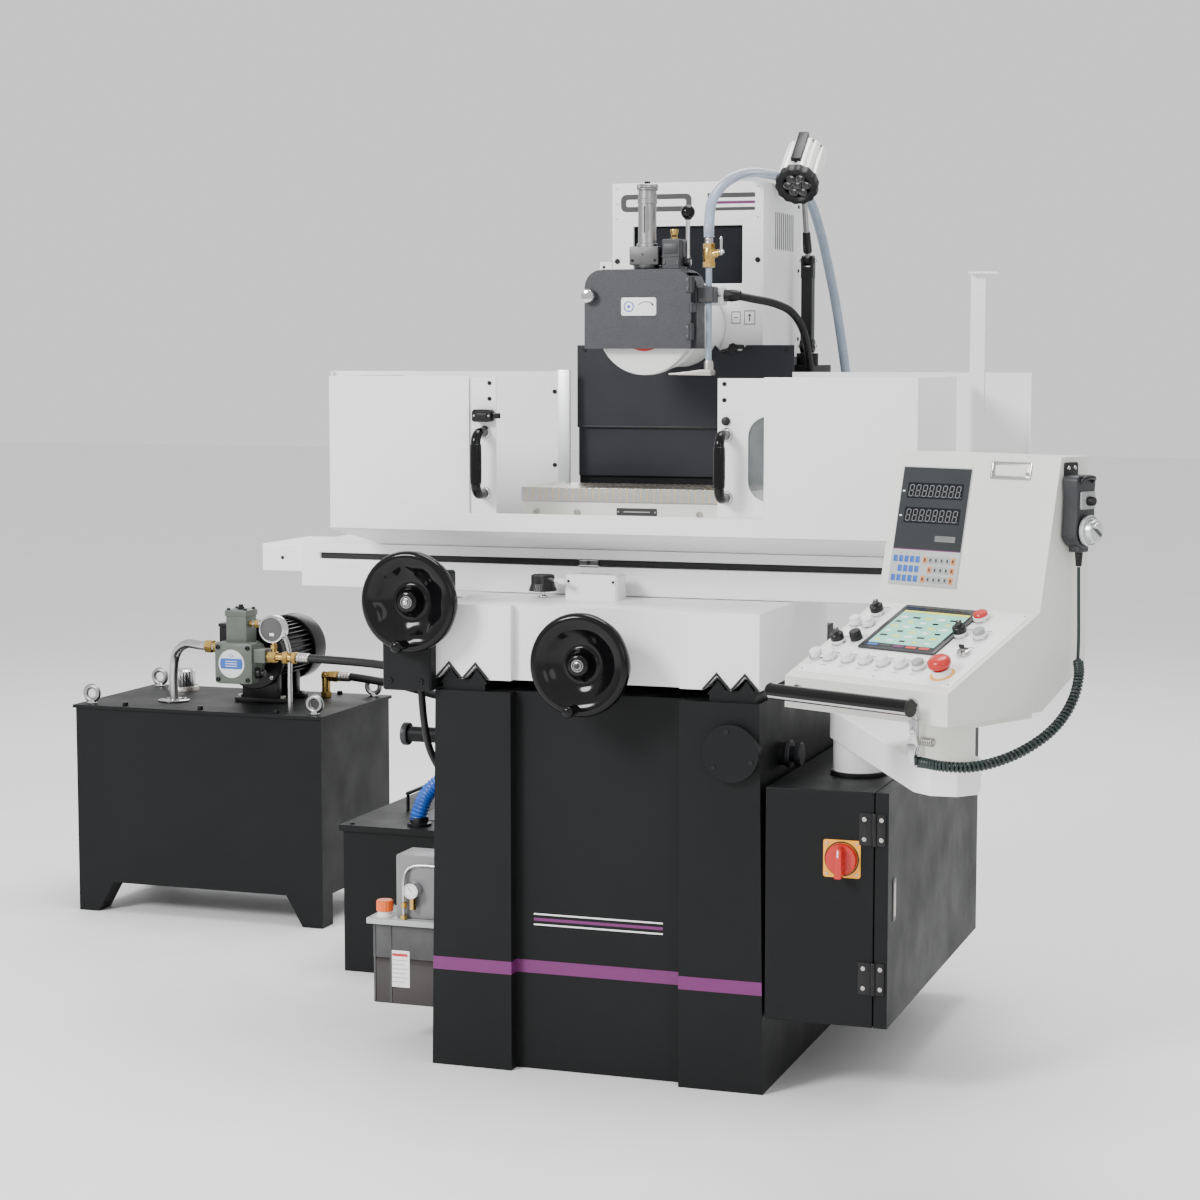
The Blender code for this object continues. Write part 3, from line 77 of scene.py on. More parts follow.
def area_light(name, at, target, size, power):
    data = bpy.data.lights.new(name, "AREA")
    data.shape = "DISK"
    data.size = size
    data.energy = power
    light = bpy.data.objects.new(name, data)
    light.location = at
    light.rotation_euler = (Vector(target) - Vector(at)).to_track_quat("-Z", "Y").to_euler()
    bpy.context.scene.collection.objects.link(light)


def make_light():
    area_light("key", (-3.0, -5.6, 4.2), (0, 0, 0.9), 2.0, 460)
    area_light("fill", (4.6, -5.0, 2.4), (0, 0, 0.9), 2.4, 34)
    area_light("top", (0.4, 0.6, 5.4), (0, 0, 0.8), 3.0, 200)
    area_light("rear", (-2.0, 5.2, 3.2), (0, 0, 1.0), 3.0, 70)
    world = bpy.data.worlds.new("studio")
    world.use_nodes = True
    background = world.node_tree.nodes["Background"]
    background.inputs["Color"].default_value = (1.0, 1.0, 1.0, 1)
    background.inputs["Strength"].default_value = 1.0
    bpy.context.scene.world = world


def make_floor():
    work = bmesh.new()
    bmesh.ops.create_grid(work, x_segments=2, y_segments=2, size=30)
    mesh = bpy.data.meshes.new("floor")
    work.to_mesh(mesh)
    work.free()
    floor = bpy.data.objects.new("floor", mesh)
    floor.location = (0, 0, -0.0005)
    bpy.context.scene.collection.objects.link(floor)
    mesh.materials.append(LOOKS["studio_floor"])


# ---------------------------------------------------------------- materials

LOOKS = {}


def nodes_of(name):
    made = bpy.data.materials.new(name)
    made.use_nodes = True
    tree = made.node_tree
    return made, tree, tree.nodes["Principled BSDF"]


def noise(tree, scale, detail=3.0, stretch=None):
    where = tree.nodes.new("ShaderNodeTexCoord")
    texture = tree.nodes.new("ShaderNodeTexNoise")
    texture.inputs["Scale"].default_value = scale
    texture.inputs["Detail"].default_value = detail
    link = tree.links.new
    if stretch is None:
        link(where.outputs["Object"], texture.inputs["Vector"])
    else:
        mapping = tree.nodes.new("ShaderNodeMapping")
        mapping.inputs["Scale"].default_value = stretch
        link(where.outputs["Object"], mapping.inputs["Vector"])
        link(mapping.outputs["Vector"], texture.inputs["Vector"])
    return texture.outputs["Fac"]


def ramp(tree, value, low, high, start=0.3, end=0.7):
    made = tree.nodes.new("ShaderNodeValToRGB")
    made.color_ramp.elements[0].position = start
    made.color_ramp.elements[1].position = end
    made.color_ramp.elements[0].color = (*low, 1)
    made.color_ramp.elements[1].color = (*high, 1)
    tree.links.new(value, made.inputs["Fac"])
    return made.outputs["Color"]


def spread(tree, value, low, high):
    made = tree.nodes.new("ShaderNodeMapRange")
    made.inputs["From Min"].default_value = 0.3
    made.inputs["From Max"].default_value = 0.7
    made.inputs["To Min"].default_value = low
    made.inputs["To Max"].default_value = high
    tree.links.new(value, made.inputs["Value"])
    return made.outputs["Result"]


def bump(tree, shader, height, strength, distance):
    made = tree.nodes.new("ShaderNodeBump")
    made.inputs["Strength"].default_value = strength
    made.inputs["Distance"].default_value = distance
    tree.links.new(height, made.inputs["Height"])
    tree.links.new(made.outputs["Normal"], shader.inputs["Normal"])


def surface(
    name, color, rough, metal=0.0, vary=0.03, patch=2.5, grain=350.0, relief=0.1, depth=0.0003,
    stretch=None, **more
):
    """A finish whose colour and roughness drift over patches and whose grain stands up as fine relief."""
    made, tree, shader = nodes_of(name)
    low = [c * (1 - vary) for c in color]
    high = [min(1.0, c * (1 + vary)) for c in color]
    drift = noise(tree, patch, 4.0, stretch)
    tree.links.new(ramp(tree, drift, low, high), shader.inputs["Base Color"])
    tree.links.new(spread(tree, noise(tree, patch * 3, 5.0, stretch), rough * 0.86, rough * 1.14),
        shader.inputs["Roughness"])
    shader.inputs["Metallic"].default_value = metal
    for socket, value in more.items():
        shader.inputs[socket.replace("_", " ")].default_value = value
    if relief:
        bump(tree, shader, noise(tree, grain, 2.0, stretch), relief, depth)
    LOOKS[name] = made
    return shader


def speckled(name, base, fleck, rough, scale, share, relief):
    """A grained body with darker flecks, as in bonded abrasive."""
    made, tree, shader = nodes_of(name)
    flecks = noise(tree, scale, 4.0)
    tree.links.new(ramp(tree, flecks, fleck, base, share, share + 0.12), shader.inputs["Base Color"])
    tree.links.new(spread(tree, flecks, rough * 0.9, rough), shader.inputs["Roughness"])
    bump(tree, shader, noise(tree, scale * 1.3, 4.0), relief, 0.0006)
    LOOKS[name] = made


def hammertone(name, color):
    made, tree, shader = nodes_of(name)
    where = tree.nodes.new("ShaderNodeTexCoord")
    cells = tree.nodes.new("ShaderNodeTexVoronoi")
    cells.feature = "SMOOTH_F1"
    cells.inputs["Scale"].default_value = 420
    cells.inputs["Smoothness"].default_value = 0.6
    tree.links.new(where.outputs["Object"], cells.inputs["Vector"])
    dark = [c * 0.85 for c in color]
    light = [c * 1.2 for c in color]
    tree.links.new(ramp(tree, cells.outputs["Distance"], light, dark, 0.15, 0.6),
        shader.inputs["Base Color"])
    tree.links.new(spread(tree, noise(tree, 60, 3.0), 0.36, 0.5), shader.inputs["Roughness"])
    bump(tree, shader, cells.outputs["Distance"], 0.35, 0.0005)
    LOOKS[name] = made


def clear(name, color, rough, amount, ior=1.45):
    shader = surface(name, color, rough, vary=0.08, patch=30, relief=0.0)
    shader.inputs["Transmission Weight"].default_value = amount
    shader.inputs["IOR"].default_value = ior


def make_looks():
    surface("studio_floor", (0.9, 0.9, 0.9), 0.6, vary=0.01, relief=0.03)
    surface("white_paint", (0.83, 0.835, 0.83), 0.34, vary=0.014, grain=420, relief=0.05)
    surface("cream_paint", (0.7, 0.7, 0.655), 0.36, vary=0.016, grain=420, relief=0.05)
    surface("anthracite_paint", (0.0085, 0.009, 0.0096), 0.48, vary=0.1, patch=3.0, grain=300, relief=0.14,
        Specular_IOR_Level=0.14)
    surface("cover_grey", (0.012, 0.0128, 0.0175), 0.42, vary=0.1, patch=4.0, grain=500, relief=0.08,
        Specular_IOR_Level=0.3)
    surface("magenta_paint", (0.128, 0.008, 0.104), 0.35, vary=0.04, relief=0.04)
    surface("black_paint", (0.008, 0.008, 0.009), 0.3, vary=0.15, grain=300, relief=0.08,
        Specular_IOR_Level=0.3)
    surface("pump_paint", (0.085, 0.1, 0.082), 0.42, vary=0.1, patch=14, grain=160, relief=0.25,
        depth=0.0006)
    surface("ground_steel", (0.56, 0.56, 0.55), 0.26, 1.0, vary=0.06, patch=26, grain=240, relief=0.06,
        stretch=(0.12, 1, 1))
    surface("turned_steel", (0.5, 0.5, 0.5), 0.28, 1.0, vary=0.07, patch=30, grain=500, relief=0.05,
        stretch=(1, 1, 0.2))
    surface("dull_steel", (0.11, 0.11, 0.112), 0.44, 1.0, vary=0.14, patch=22, grain=260, relief=0.12)
    surface("aluminium", (0.68, 0.69, 0.7), 0.36, 1.0, vary=0.05, patch=12, grain=500, relief=0.05,
        stretch=(1, 1, 0.08))
    surface("lamp_shell", (0.82, 0.82, 0.8), 0.33, 0.25, vary=0.02, patch=14, relief=0.03)
    surface("chrome", (0.58, 0.58, 0.59), 0.1, 1.0, vary=0.02, patch=20, relief=0.0)
    surface("brass", (0.5, 0.33, 0.1), 0.27, 1.0, vary=0.1, patch=60, grain=300, relief=0.06)
    surface("pole_brass", (0.8, 0.55, 0.22), 0.34, 1.0, vary=0.08, patch=60, relief=0.03)
    surface("zinc", (0.48, 0.46, 0.43), 0.36, 1.0, vary=0.12, patch=50, grain=300, relief=0.15)
    surface("black_rubber", (0.008, 0.008, 0.009), 0.46, vary=0.2, patch=20, grain=600, relief=0.12,
        Specular_IOR_Level=0.35)
    surface("black_plastic", (0.007, 0.007, 0.008), 0.33, vary=0.15, patch=20, grain=900, relief=0.1,
        Specular_IOR_Level=0.32)
    surface("bakelite", (0.003, 0.003, 0.0035), 0.13, vary=0.2, patch=10, grain=90, relief=0.015,
        Specular_IOR_Level=0.24)
    surface("graphite", (0.016, 0.017, 0.02), 0.42, vary=0.1, patch=20, grain=500, relief=0.08)
    surface("dark_green_cord", (0.01, 0.022, 0.02), 0.38, vary=0.15, patch=30, grain=600, relief=0.06)
    surface("red_plastic", (0.5, 0.016, 0.013), 0.26, vary=0.05, patch=30, grain=600, relief=0.03)
    surface("orange_plastic", (0.8, 0.13, 0.015), 0.32, vary=0.05, patch=30, relief=0.03)
    surface("yellow_plastic", (0.85, 0.36, 0.01), 0.35, vary=0.04, patch=30, relief=0.03)
    surface("white_plastic", (0.78, 0.79, 0.78), 0.24, vary=0.02, patch=30, relief=0.02)
    surface("grey_plastic", (0.3, 0.31, 0.31), 0.33, vary=0.05, patch=30, relief=0.04)
    surface("casing_grey", (0.4, 0.41, 0.41), 0.36, vary=0.04, patch=12, grain=300, relief=0.08)
    surface("label_white", (0.84, 0.84, 0.83), 0.42, vary=0.02, patch=40, relief=0.0)
    surface("label_red", (0.55, 0.03, 0.03), 0.42, vary=0.06, patch=40, relief=0.0)
    surface("label_blue", (0.02, 0.1, 0.42), 0.38, vary=0.08, patch=40, relief=0.0)
    surface("key_orange", (0.62, 0.2, 0.05), 0.36, vary=0.05, patch=60, relief=0.0)
    surface("ink", (0.02, 0.02, 0.022), 0.45, vary=0.1, patch=40, relief=0.0)
    surface("panel_grey", (0.021, 0.024, 0.026), 0.24, vary=0.14, patch=7, relief=0.0,
        Specular_IOR_Level=0.4)
    surface("window_black", (0.006, 0.007, 0.01), 0.34, vary=0.2, patch=6, relief=0.0,
        Specular_IOR_Level=0.14)
    surface("ghost_segment", (0.13, 0.132, 0.13), 0.34, vary=0.12, patch=90, relief=0.0)
    surface("satin_grey", (0.33, 0.33, 0.33), 0.34, 1.0, vary=0.08, patch=30, grain=500, relief=0.06)
    surface("segment", (0.5, 0.49, 0.44), 0.3, vary=0.06, patch=80, relief=0.0)
    surface("screen_glass", (0.015, 0.018, 0.02), 0.07, vary=0.1, patch=10, relief=0.0)
    surface("screen_green", (0.28, 0.66, 0.52), 0.2, vary=0.14, patch=25, relief=0.0)
    surface("screen_yellow", (0.72, 0.74, 0.12), 0.2, vary=0.1, patch=60, relief=0.0)
    surface("oil", (0.01, 0.005, 0.004), 0.2, vary=0.35, patch=14, relief=0.0, Coat_Weight=0.4)
    surface("blue_hose", (0.01, 0.085, 0.42), 0.34, vary=0.12, patch=30, relief=0.03)
    speckled("corundum", (0.78, 0.78, 0.765), (0.62, 0.62, 0.6), 0.92, 900, 0.36, 0.5)
    hammertone("hammertone", (0.032, 0.033, 0.038))
    clear("clear_hose", (0.38, 0.45, 0.55), 0.16, 0.3, 1.35)
    clear("window", (0.62, 0.65, 0.66), 0.06, 0.85, 1.2)
    clear("lens", (0.8, 0.85, 0.86), 0.05, 0.75, 1.4)
    surface("smoked", (0.05, 0.05, 0.052), 0.12, vary=0.3, patch=16, relief=0.0)
    surface("tank_grey", (0.2, 0.2, 0.205), 0.36, vary=0.05, patch=12, grain=300, relief=0.08)


# ---------------------------------------------------------------- shapes


def placed(work, matrix=None):
    if matrix is not None:
        bmesh.ops.transform(work, matrix=matrix, verts=work.verts)
    return work


def softened(work, bevel, segments=2, sharper=0.5):
    if bevel:
        bmesh.ops.recalc_face_normals(work, faces=work.faces)
        edges = [e for e in work.edges if e.is_manifold and e.calc_face_angle() > sharper]
        bmesh.ops.bevel(work, geom=edges, offset=bevel, segments=segments, profile=0.6, affect="EDGES",
                        clamp_overlap=True)
    return work


def box(low, high, bevel=0.0006, matrix=None):
    work = bmesh.new()
    low, high = Vector(low), Vector(high)
    bmesh.ops.create_cube(work, size=1, matrix=Matrix.LocRotScale((low + high) / 2, None, high - low))
    return placed(softened(work, bevel), matrix)


def axis_matrix(origin, axis):
    return Matrix.Translation(origin) @ Vector(axis).to_track_quat("Z", "Y").to_matrix().to_4x4()


def skinned(work, rings, loop=False, caps=False):
    """Faces between each ring of points and the next; a ring that is one point repeated gives triangles."""
    pairs = list(zip(rings, rings[1:])) + ([(rings[-1], rings[0])] if loop else [])
    for low, high in pairs:
        for i in range(len(low)):
            j = (i + 1) % len(low)
            corners = list(dict.fromkeys((low[i], low[j], high[j], high[i])))
            if len(corners) > 2:
                work.faces.new(corners)
    if caps:
        work.faces.new(rings[0])
        work.faces.new(rings[-1])
    bmesh.ops.recalc_face_normals(work, faces=work.faces)
    return work


def lobed(profile, count, origin, axis, steps=96, matrix=None):
    """(radius, height, swell) points turned about axis, the radius swelling count times a turn.

    The ends close on the axis or, if the profile starts off it, on each other.
    """
    work = bmesh.new()
    turns = [2 * math.pi * i / steps for i in range(steps)]
    rings = []
    for radius, height, swell in profile:
        if radius < 1e-6:
            rings.append([work.verts.new((0, 0, height))] * steps)
            continue
        reach = [radius + swell * math.cos(count * a) for a in turns]
        rings.append([work.verts.new((r * math.cos(a), r * math.sin(a), height)) for r,
            a in zip(reach, turns)])
    skinned(work, rings, loop=profile[0][0] > 1e-6)
    placed(work, axis_matrix(origin, axis))
    return placed(work, matrix)


def lathe(profile, origin, axis, steps=40, matrix=None):
    """A turned shape without swelling, from (radius, height) points."""
    return lobed([(radius, height, 0) for radius, height in profile], 1, origin, axis, steps, matrix)


def disc(radius, low, high):
    """The profile of a plain disc."""
    return [(0, low), (radius, low), (radius, high), (0, high)]


def washer(inner, outer, low, high):
    """The profile of a plain washer or sleeve."""
    return [(inner, low), (outer, low), (outer, high), (inner, high)]


def rod(start, end, radius, end_radius=None, edge=0.0, steps=24, matrix=None):
    start, end = Vector(start), Vector(end)
    length = (end - start).length
    last = radius if end_radius is None else end_radius
    profile = [(0, 0), (radius, 0), (last, length), (0, length)]
    if edge:
        profile = [(0, 0), (radius - edge, 0), (radius, edge), (last, length - edge),
            (last - edge, length), (0, length)]
    return lathe(profile, start, end - start, steps, matrix)


def prism(outline, frame_matrix, low, high, bevel=0.0, segments=2):
    """A flat outline in the x and y of frame_matrix, thick from low to high along its z."""
    work = bmesh.new()
    bottom = [work.verts.new((x, y, low)) for x, y in outline]
    face = work.faces.new(bottom)
    lifted = bmesh.ops.extrude_face_region(work, geom=[face])["geom"]
    moved = [g for g in lifted if isinstance(g, bmesh.types.BMVert)]
    bmesh.ops.translate(work, verts=moved, vec=(0, 0, high - low))
    bmesh.ops.recalc_face_normals(work, faces=work.faces)
    softened(work, bevel, segments)
    return placed(work, frame_matrix)


def around(count, radius, start=0.0):
    """Points evenly round a circle about the origin, from start degrees on."""
    turns = [math.radians(start + 360 * k / count) for k in range(count)]
    return [(radius * math.cos(a), radius * math.sin(a)) for a in turns]


def arc(middle, radius, start, end, count):
    turns = [math.radians(start + (end - start) * i / (count - 1)) for i in range(count)]
    return [(middle[0] + radius * math.cos(a), middle[1] + radius * math.sin(a)) for a in turns]


def rounded(low, high, radius, count=5):
    (x0, y0), (x1, y1), r = low, high, radius
    return [*arc((x1 - r, y1 - r), r, 0, 90, count), *arc((x0 + r, y1 - r), r, 90, 180, count),
        *arc((x0 + r, y0 + r), r, 180, 270, count), *arc((x1 - r, y0 + r), r, 270, 360, count)]


def facing(origin, right, up):
    """A frame whose x runs right and y up on a surface, and whose z points out of it."""
    right, up = Vector(right).normalized(), Vector(up).normalized()
    out = right.cross(up)
    made = Matrix((right, up, out)).transposed().to_4x4()
    made.translation = Vector(origin)
    return made


def smooth_route(points, count):
    """Points at equal steps on a Catmull-Rom curve through the route's points, with straight ends."""
    points = [Vector(p) for p in points]
    ends = [2 * points[0] - points[1], *points, 2 * points[-1] - points[-2]]
    route = []
    for i in range(count):
        where = (len(points) - 1) * i / (count - 1)
        k = min(int(where), len(points) - 2)
        t = where - k
        a, b, c, d = ends[k : k + 4]
        route.append(
            0.5 * (2 * b + (c - a) * t + (2 * a - 5 * b + 4 * c - d) * t**2 + (3 * b - a - 3 * c + d) * t**3)
        )
    for end, inner, guide in ((0, 1, points[1]), (-1, -2, points[-2])):
        step = (route[inner] - route[end]).length
        route[inner] = route[end] + (guide - route[end]).normalized() * step
    return route


def ring_frames(path):
    """A side vector at each point of a path, carried along it without twist."""
    tangents = [(path[min(i + 1,
        len(path) - 1)] - path[max(i - 1, 0)]).normalized() for i in range(len(path))]
    side = tangents[0].orthogonal().normalized()
    sides = []
    for tangent in tangents:
        side = (side - tangent * side.dot(tangent)).normalized()
        sides.append(side.copy())
    return tangents, sides


def tube(path, radius, steps=14, radii=None):
    """A closed tube along a path, of one radius or of one radius at each point."""
    work = bmesh.new()
    tangents, sides = ring_frames(path)
    rings = []
    for k, point in enumerate(path):
        r = radius if radii is None else radii[k]
        across = tangents[k].cross(sides[k])
        turns = [2 * math.pi * i / steps for i in range(steps)]
        spokes = [math.cos(a) * sides[k] + math.sin(a) * across for a in turns]
        rings.append([work.verts.new(point + r * spoke) for spoke in spokes])
    return skinned(work, rings, caps=True)


def corrugated(path, radius, pitch, groove, steps=14):
    """A tube with rings standing out along it, as on a ribbed hose."""
    lengths = [0.0]
    for a, b in zip(path, path[1:]):
        lengths.append(lengths[-1] + (b - a).length)
    count = max(8, int(lengths[-1] / pitch) * 4)
    at = np.linspace(0, lengths[-1], count)
    xyz = np.array([tuple(p) for p in path])
    fine = [Vector([np.interp(s, lengths, xyz[:, k]) for k in range(3)]) for s in at]
    radii = [radius - groove * (0.5 - 0.5 * math.cos(2 * math.pi * i / 4)) for i in range(count)]
    return tube(fine, radius, steps, radii)


def screw_head(at, out, radius, height=None, steps=16):
    """A socket screw's head with its recess, standing on a surface at a point."""
    h = radius * 0.7 if height is None else height
    profile = [(0, 0), (radius, 0), (radius, h * 0.8), (radius * 0.85, h), (radius * 0.5, h),
        (radius * 0.5, h * 0.4)]
    return lathe([*profile, (0, h * 0.4)], at, out, steps)


class Kit:
    """Shapes of one sub-assembly, gathered by look; done() makes one piece of each look."""

    def __init__(self, name, body):
        self.name = name
        self.body = body
        self.looks = {}

    def add(self, look, *works):
        target = self.looks.setdefault(look, bmesh.new())
        for work in works:
            mesh = bpy.data.meshes.new("step")
            work.to_mesh(mesh)
            work.free()
            target.from_mesh(mesh)
            bpy.data.meshes.remove(mesh)
        return self

    def done(self, replaces=(), angle=35):
        made = []
        for look, work in self.looks.items():
            mesh = bpy.data.meshes.new(f"{self.name}_{look}")
            work.to_mesh(mesh)
            work.free()
            mesh.materials.append(LOOKS[look])
            mesh.shade_smooth()
            mesh.set_sharp_from_angle(angle=math.radians(angle))
            obj = bpy.data.objects.new(mesh.name, mesh)
            bpy.context.scene.collection.objects.link(obj)
            if self.body is not None:
                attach(obj, self.body)
            made.append(obj)
        if replaces:
            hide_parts(*replaces)
        return made


def carry(node, look, bevel=0.0012):
    """A CAD node shown as it is, with softened edges and a real finish."""
    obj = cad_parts[node]
    obj.data.materials.clear()
    obj.data.materials.append(LOOKS[look])
    for polygon in obj.data.polygons:
        polygon.material_index = 0
    custom = obj.data.attributes.get("custom_normal")
    if custom is not None:
        obj.data.attributes.remove(custom)
    obj.data.shade_smooth()
    weld = obj.modifiers.new("weld", "WELD")
    weld.merge_threshold = 0.00001
    flat = obj.modifiers.new("flat", "DECIMATE")
    flat.decimate_type = "DISSOLVE"
    flat.angle_limit = math.radians(1)
    if bevel:
        edge = obj.modifiers.new("edge", "BEVEL")
        edge.width = bevel
        edge.segments = 2
        edge.limit_method = "ANGLE"
        edge.angle_limit = math.radians(32)
        edge.harden_normals = False
    smooth = obj.modifiers.new("weighted", "WEIGHTED_NORMAL")
    smooth.keep_sharp = False


# ---------------------------------------------------------------- cords

PRESSURE_ROUTE = [(-1.1655, 0.525, 0.665), (-1.13, 0.525, 0.665), (-0.95, 0.505, 0.662), (-0.8, 0.46, 0.655),
                  (-0.65, 0.4, 0.645), (-0.5, 0.33, 0.635), (-0.38, 0.28, 0.63), (-0.335, 0.28, 0.63)]
RETURN_ROUTE = [(-1.18, 0.8, 0.585), (-1.13, 0.8, 0.585), (-0.98, 0.76, 0.575), (-0.84, 0.68, 0.565),
                (-0.68, 0.58, 0.56), (-0.52, 0.49, 0.558), (-0.38, 0.43, 0.56), (-0.336, 0.43, 0.56)]
COOLANT_ROUTE = [(0.132, -0.225, 1.6503), (0.132, -0.225, 1.675), (0.13, -0.205, 1.716),
                 (0.133, -0.18, 1.74),
                 (0.138, -0.14, 1.761), (0.142, -0.08, 1.778), (0.144, 0.0, 1.791), (0.145, 0.08, 1.798),
                 (0.148, 0.14, 1.799), (0.155, 0.19, 1.799), (0.168, 0.24, 1.797), (0.184, 0.29, 1.783),
                 (0.199, 0.34, 1.745), (0.213, 0.375, 1.677), (0.228, 0.39, 1.6), (0.244, 0.4, 1.51),
                 (0.262, 0.41, 1.38), (0.285, 0.45, 1.15), (0.297, 0.53, 0.95), (0.297, 0.585, 0.76),
                 (0.28, 0.605, 0.58), (0.23, 0.62, 0.37), (0.13, 0.64, 0.18), (-0.06, 0.66, 0.08),
                 (-0.27, 0.71, 0.065), (-0.41, 0.76, 0.12), (-0.485, 0.785, 0.23), (-0.513, 0.79, 0.35),
                 (-0.517, 0.783, 0.455), (-0.516, 0.75, 0.53), (-0.513, 0.7, 0.555), (-0.511, 0.65, 0.532),
                 (-0.51, 0.62, 0.49), (-0.51, 0.62, 0.4697)]
DRAIN_ROUTE = [(-0.663, 0.14, 0.3425), (-0.663, 0.14, 0.37), (-0.64, 0.16, 0.425), (-0.57, 0.195, 0.47),
               (-0.47, 0.225, 0.49), (-0.39, 0.23, 0.49), (-0.3376, 0.23, 0.49)]
FEED_ROUTE = [(-0.395, -0.47, 0.7545), (-0.395, -0.47, 0.73), (-0.394, -0.462, 0.68), (-0.39, -0.45, 0.63),
              (-0.381, -0.432, 0.59), (-0.362, -0.42, 0.56), (-0.3358, -0.42, 0.56)]
CONDUIT_ROUTE = [(0.1386, -0.13, 1.536), (0.16, -0.13, 1.536), (0.186, -0.09, 1.53), (0.212, -0.02, 1.522),
                 (0.231, 0.05, 1.505), (0.24, 0.11, 1.47), (0.243, 0.15, 1.415), (0.24, 0.19, 1.35),
                 (0.222, 0.23, 1.285), (0.18, 0.245, 1.25), (0.1512, 0.245, 1.25)]
CURLY_ROUTE = [(0.374, 0.322, 0.905), (0.38, 0.318, 0.88), (0.384, 0.3, 0.845), (0.386, 0.265, 0.812),
               (0.384, 0.22, 0.786), (0.376, 0.165, 0.765), (0.364, 0.11, 0.752), (0.348, 0.06, 0.747),
               (0.325, 0.02, 0.75), (0.3, 0.004, 0.7545), (0.282, 0.004, 0.7545)]
PULSE_LEAD = [(0.3663, 0.331, 1.0597), (0.3683, 0.33, 1.0), (0.3723, 0.326, 0.94), (0.3743, 0.322, 0.905)]

PENDANT_TURN = math.radians(-26)
PENDANT_NECK = Vector((0.762, -0.9, 0))
NECK_UV = Vector((0.199, 0.195, 0))
PENDANT = Matrix.Translation(PENDANT_NECK) @ Matrix.Rotation(PENDANT_TURN, 4,
        "Z") @ Matrix.Translation(-NECK_UV)


HOSE_DIAMETER = 0.021


def length_of(path):
    return sum((b - a).length for a, b in zip(path, path[1:]))


def loose(name, look, node, work):
    """A cord's piece, not yet riding on anything."""
    kit = Kit(name, None)
    kit.add(look, work)
    return kit.done(replaces=[node] if node else [])[0]


def make_cords():
    for name, node, route in (
        ("pressure_line", "pressure_hose", PRESSURE_ROUTE),
        ("return_line", "return_hose", RETURN_ROUTE),
    ):
        path = smooth_route(route, 90)
        piece = loose(name, "black_rubber", node, tube(path, HOSE_DIAMETER / 2))
        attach(piece, "frame")

    path = smooth_route(COOLANT_ROUTE, 220)
    piece = loose("coolant_line", "clear_hose", "coolant_hose", tube(path, HOSE_DIAMETER / 2))
    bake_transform(piece)

    path = smooth_route(DRAIN_ROUTE, 60)
    piece = loose("drain_line", "blue_hose", "drain_hose", corrugated(path, 0.02, 0.008, 0.0028, 20))
    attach(piece, "frame")

    path = smooth_route(FEED_ROUTE, 60)
    piece = loose("feed_line", "black_rubber", "feed_hose", tube(path, 0.0075))
    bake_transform(piece)

    path = smooth_route(CONDUIT_ROUTE, 90)
    piece = loose("spindle_line", "black_rubber", "spindle_conduit",
        corrugated(path, 0.0085, 0.0036, 0.0009))
    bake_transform(piece)
    make_curly_cord()


CORD_WIRE = 0.0056
COIL_RADIUS = 0.0066
COIL_PITCH = 0.0069
COIL_STEPS = 16


def make_curly_cord():
    """The handset's cord: a straight lead, then a helix about the sagging line from there to the clip."""
    lead = [PENDANT @ p for p in smooth_route(PULSE_LEAD, 30)]
    centre = [PENDANT @ p for p in smooth_route(CURLY_ROUTE, 200)]
    tangents, sides = ring_frames(centre)
    turns = round(length_of(centre) / COIL_PITCH)
    wound = []
    for i in range(1, turns * COIL_STEPS + 1):
        turn = i / COIL_STEPS
        where = (len(centre) - 1) * turn / turns
        k = min(int(where), len(centre) - 2)
        middle = centre[k].lerp(centre[k + 1], where - k)
        across = tangents[k].cross(sides[k])
        angle = 2 * math.pi * turn
        reach = COIL_RADIUS * min(1.0, turn / 1.2, 0.3 + (turns - turn) / 1.2)
        wound.append(middle + reach * (math.cos(angle) * sides[k] + math.sin(angle) * across))
    path = [*lead, *wound]
    piece = loose("handset_cord", "dark_green_cord", "curly_cord", tube(path, CORD_WIRE / 2, 10))
    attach(piece, "pendant")


def plate(matrix, low, high, radius, base, top, bevel=0.0):
    """A sheet with rounded corners, lying on the plane of matrix from base to top above it."""
    return prism(rounded(low, high, radius), matrix, base, top, bevel)


def hexagon(at, axis, across, height, edge=0.0008):
    r = across / math.sqrt(3)
    profile = [(0, 0), (r - edge, 0), (r, edge), (r, height - edge), (r - edge, height), (0, height)]
    return lathe(profile, at, axis, 6)


def ring(origin, axis, radius, thick, steps=36, matrix=None):
    """A torus."""
    count = 12
    turns = [2 * math.pi * i / count for i in range(count)]
    profile = [(radius + thick * math.cos(a), thick * math.sin(a)) for a in turns]
    return lathe(profile, origin, axis, steps, matrix)


def front(x, y, z):
    """A frame on a surface that faces the front: its x is to the right and its y is up."""
    return facing((x, y, z), X, Z)


def hose_end(kit, start, along, bore, look="zinc", nut="brass"):
    """A crimped ferrule and a nut where a hose meets its port; along points into the hose."""
    start, along = Vector(start), Vector(along).normalized()
    kit.add(nut, hexagon(start, along, bore * 2.6, bore * 1.1))
    grooves = [(0, 0), (bore * 1.02, 0)]
    for i in range(4):
        s = bore * (0.3 + i * 0.75)
        grooves += [(bore * 1.22, s), (bore * 1.22, s + bore * 0.5), (bore * 1.15, s + bore * 0.6)]
    end = bore * 3.3
    grooves += [(bore * 1.04, end), (0, end)]
    kit.add(look, lathe(grooves, start + along * bore * 1.1, along, 28))


# ---------------------------------------------------------------- base, column and cabinet

BASE_FRONT = -0.55
BASE_HEIGHT = 0.757
PAD_INNER = 0.173
PAD_DEPTH = 0.03
LIFTING_BAR = (-0.4, 0.641)


BASE_HALF_TOP = 0.332
BASE_HALF_FOOT = 0.343


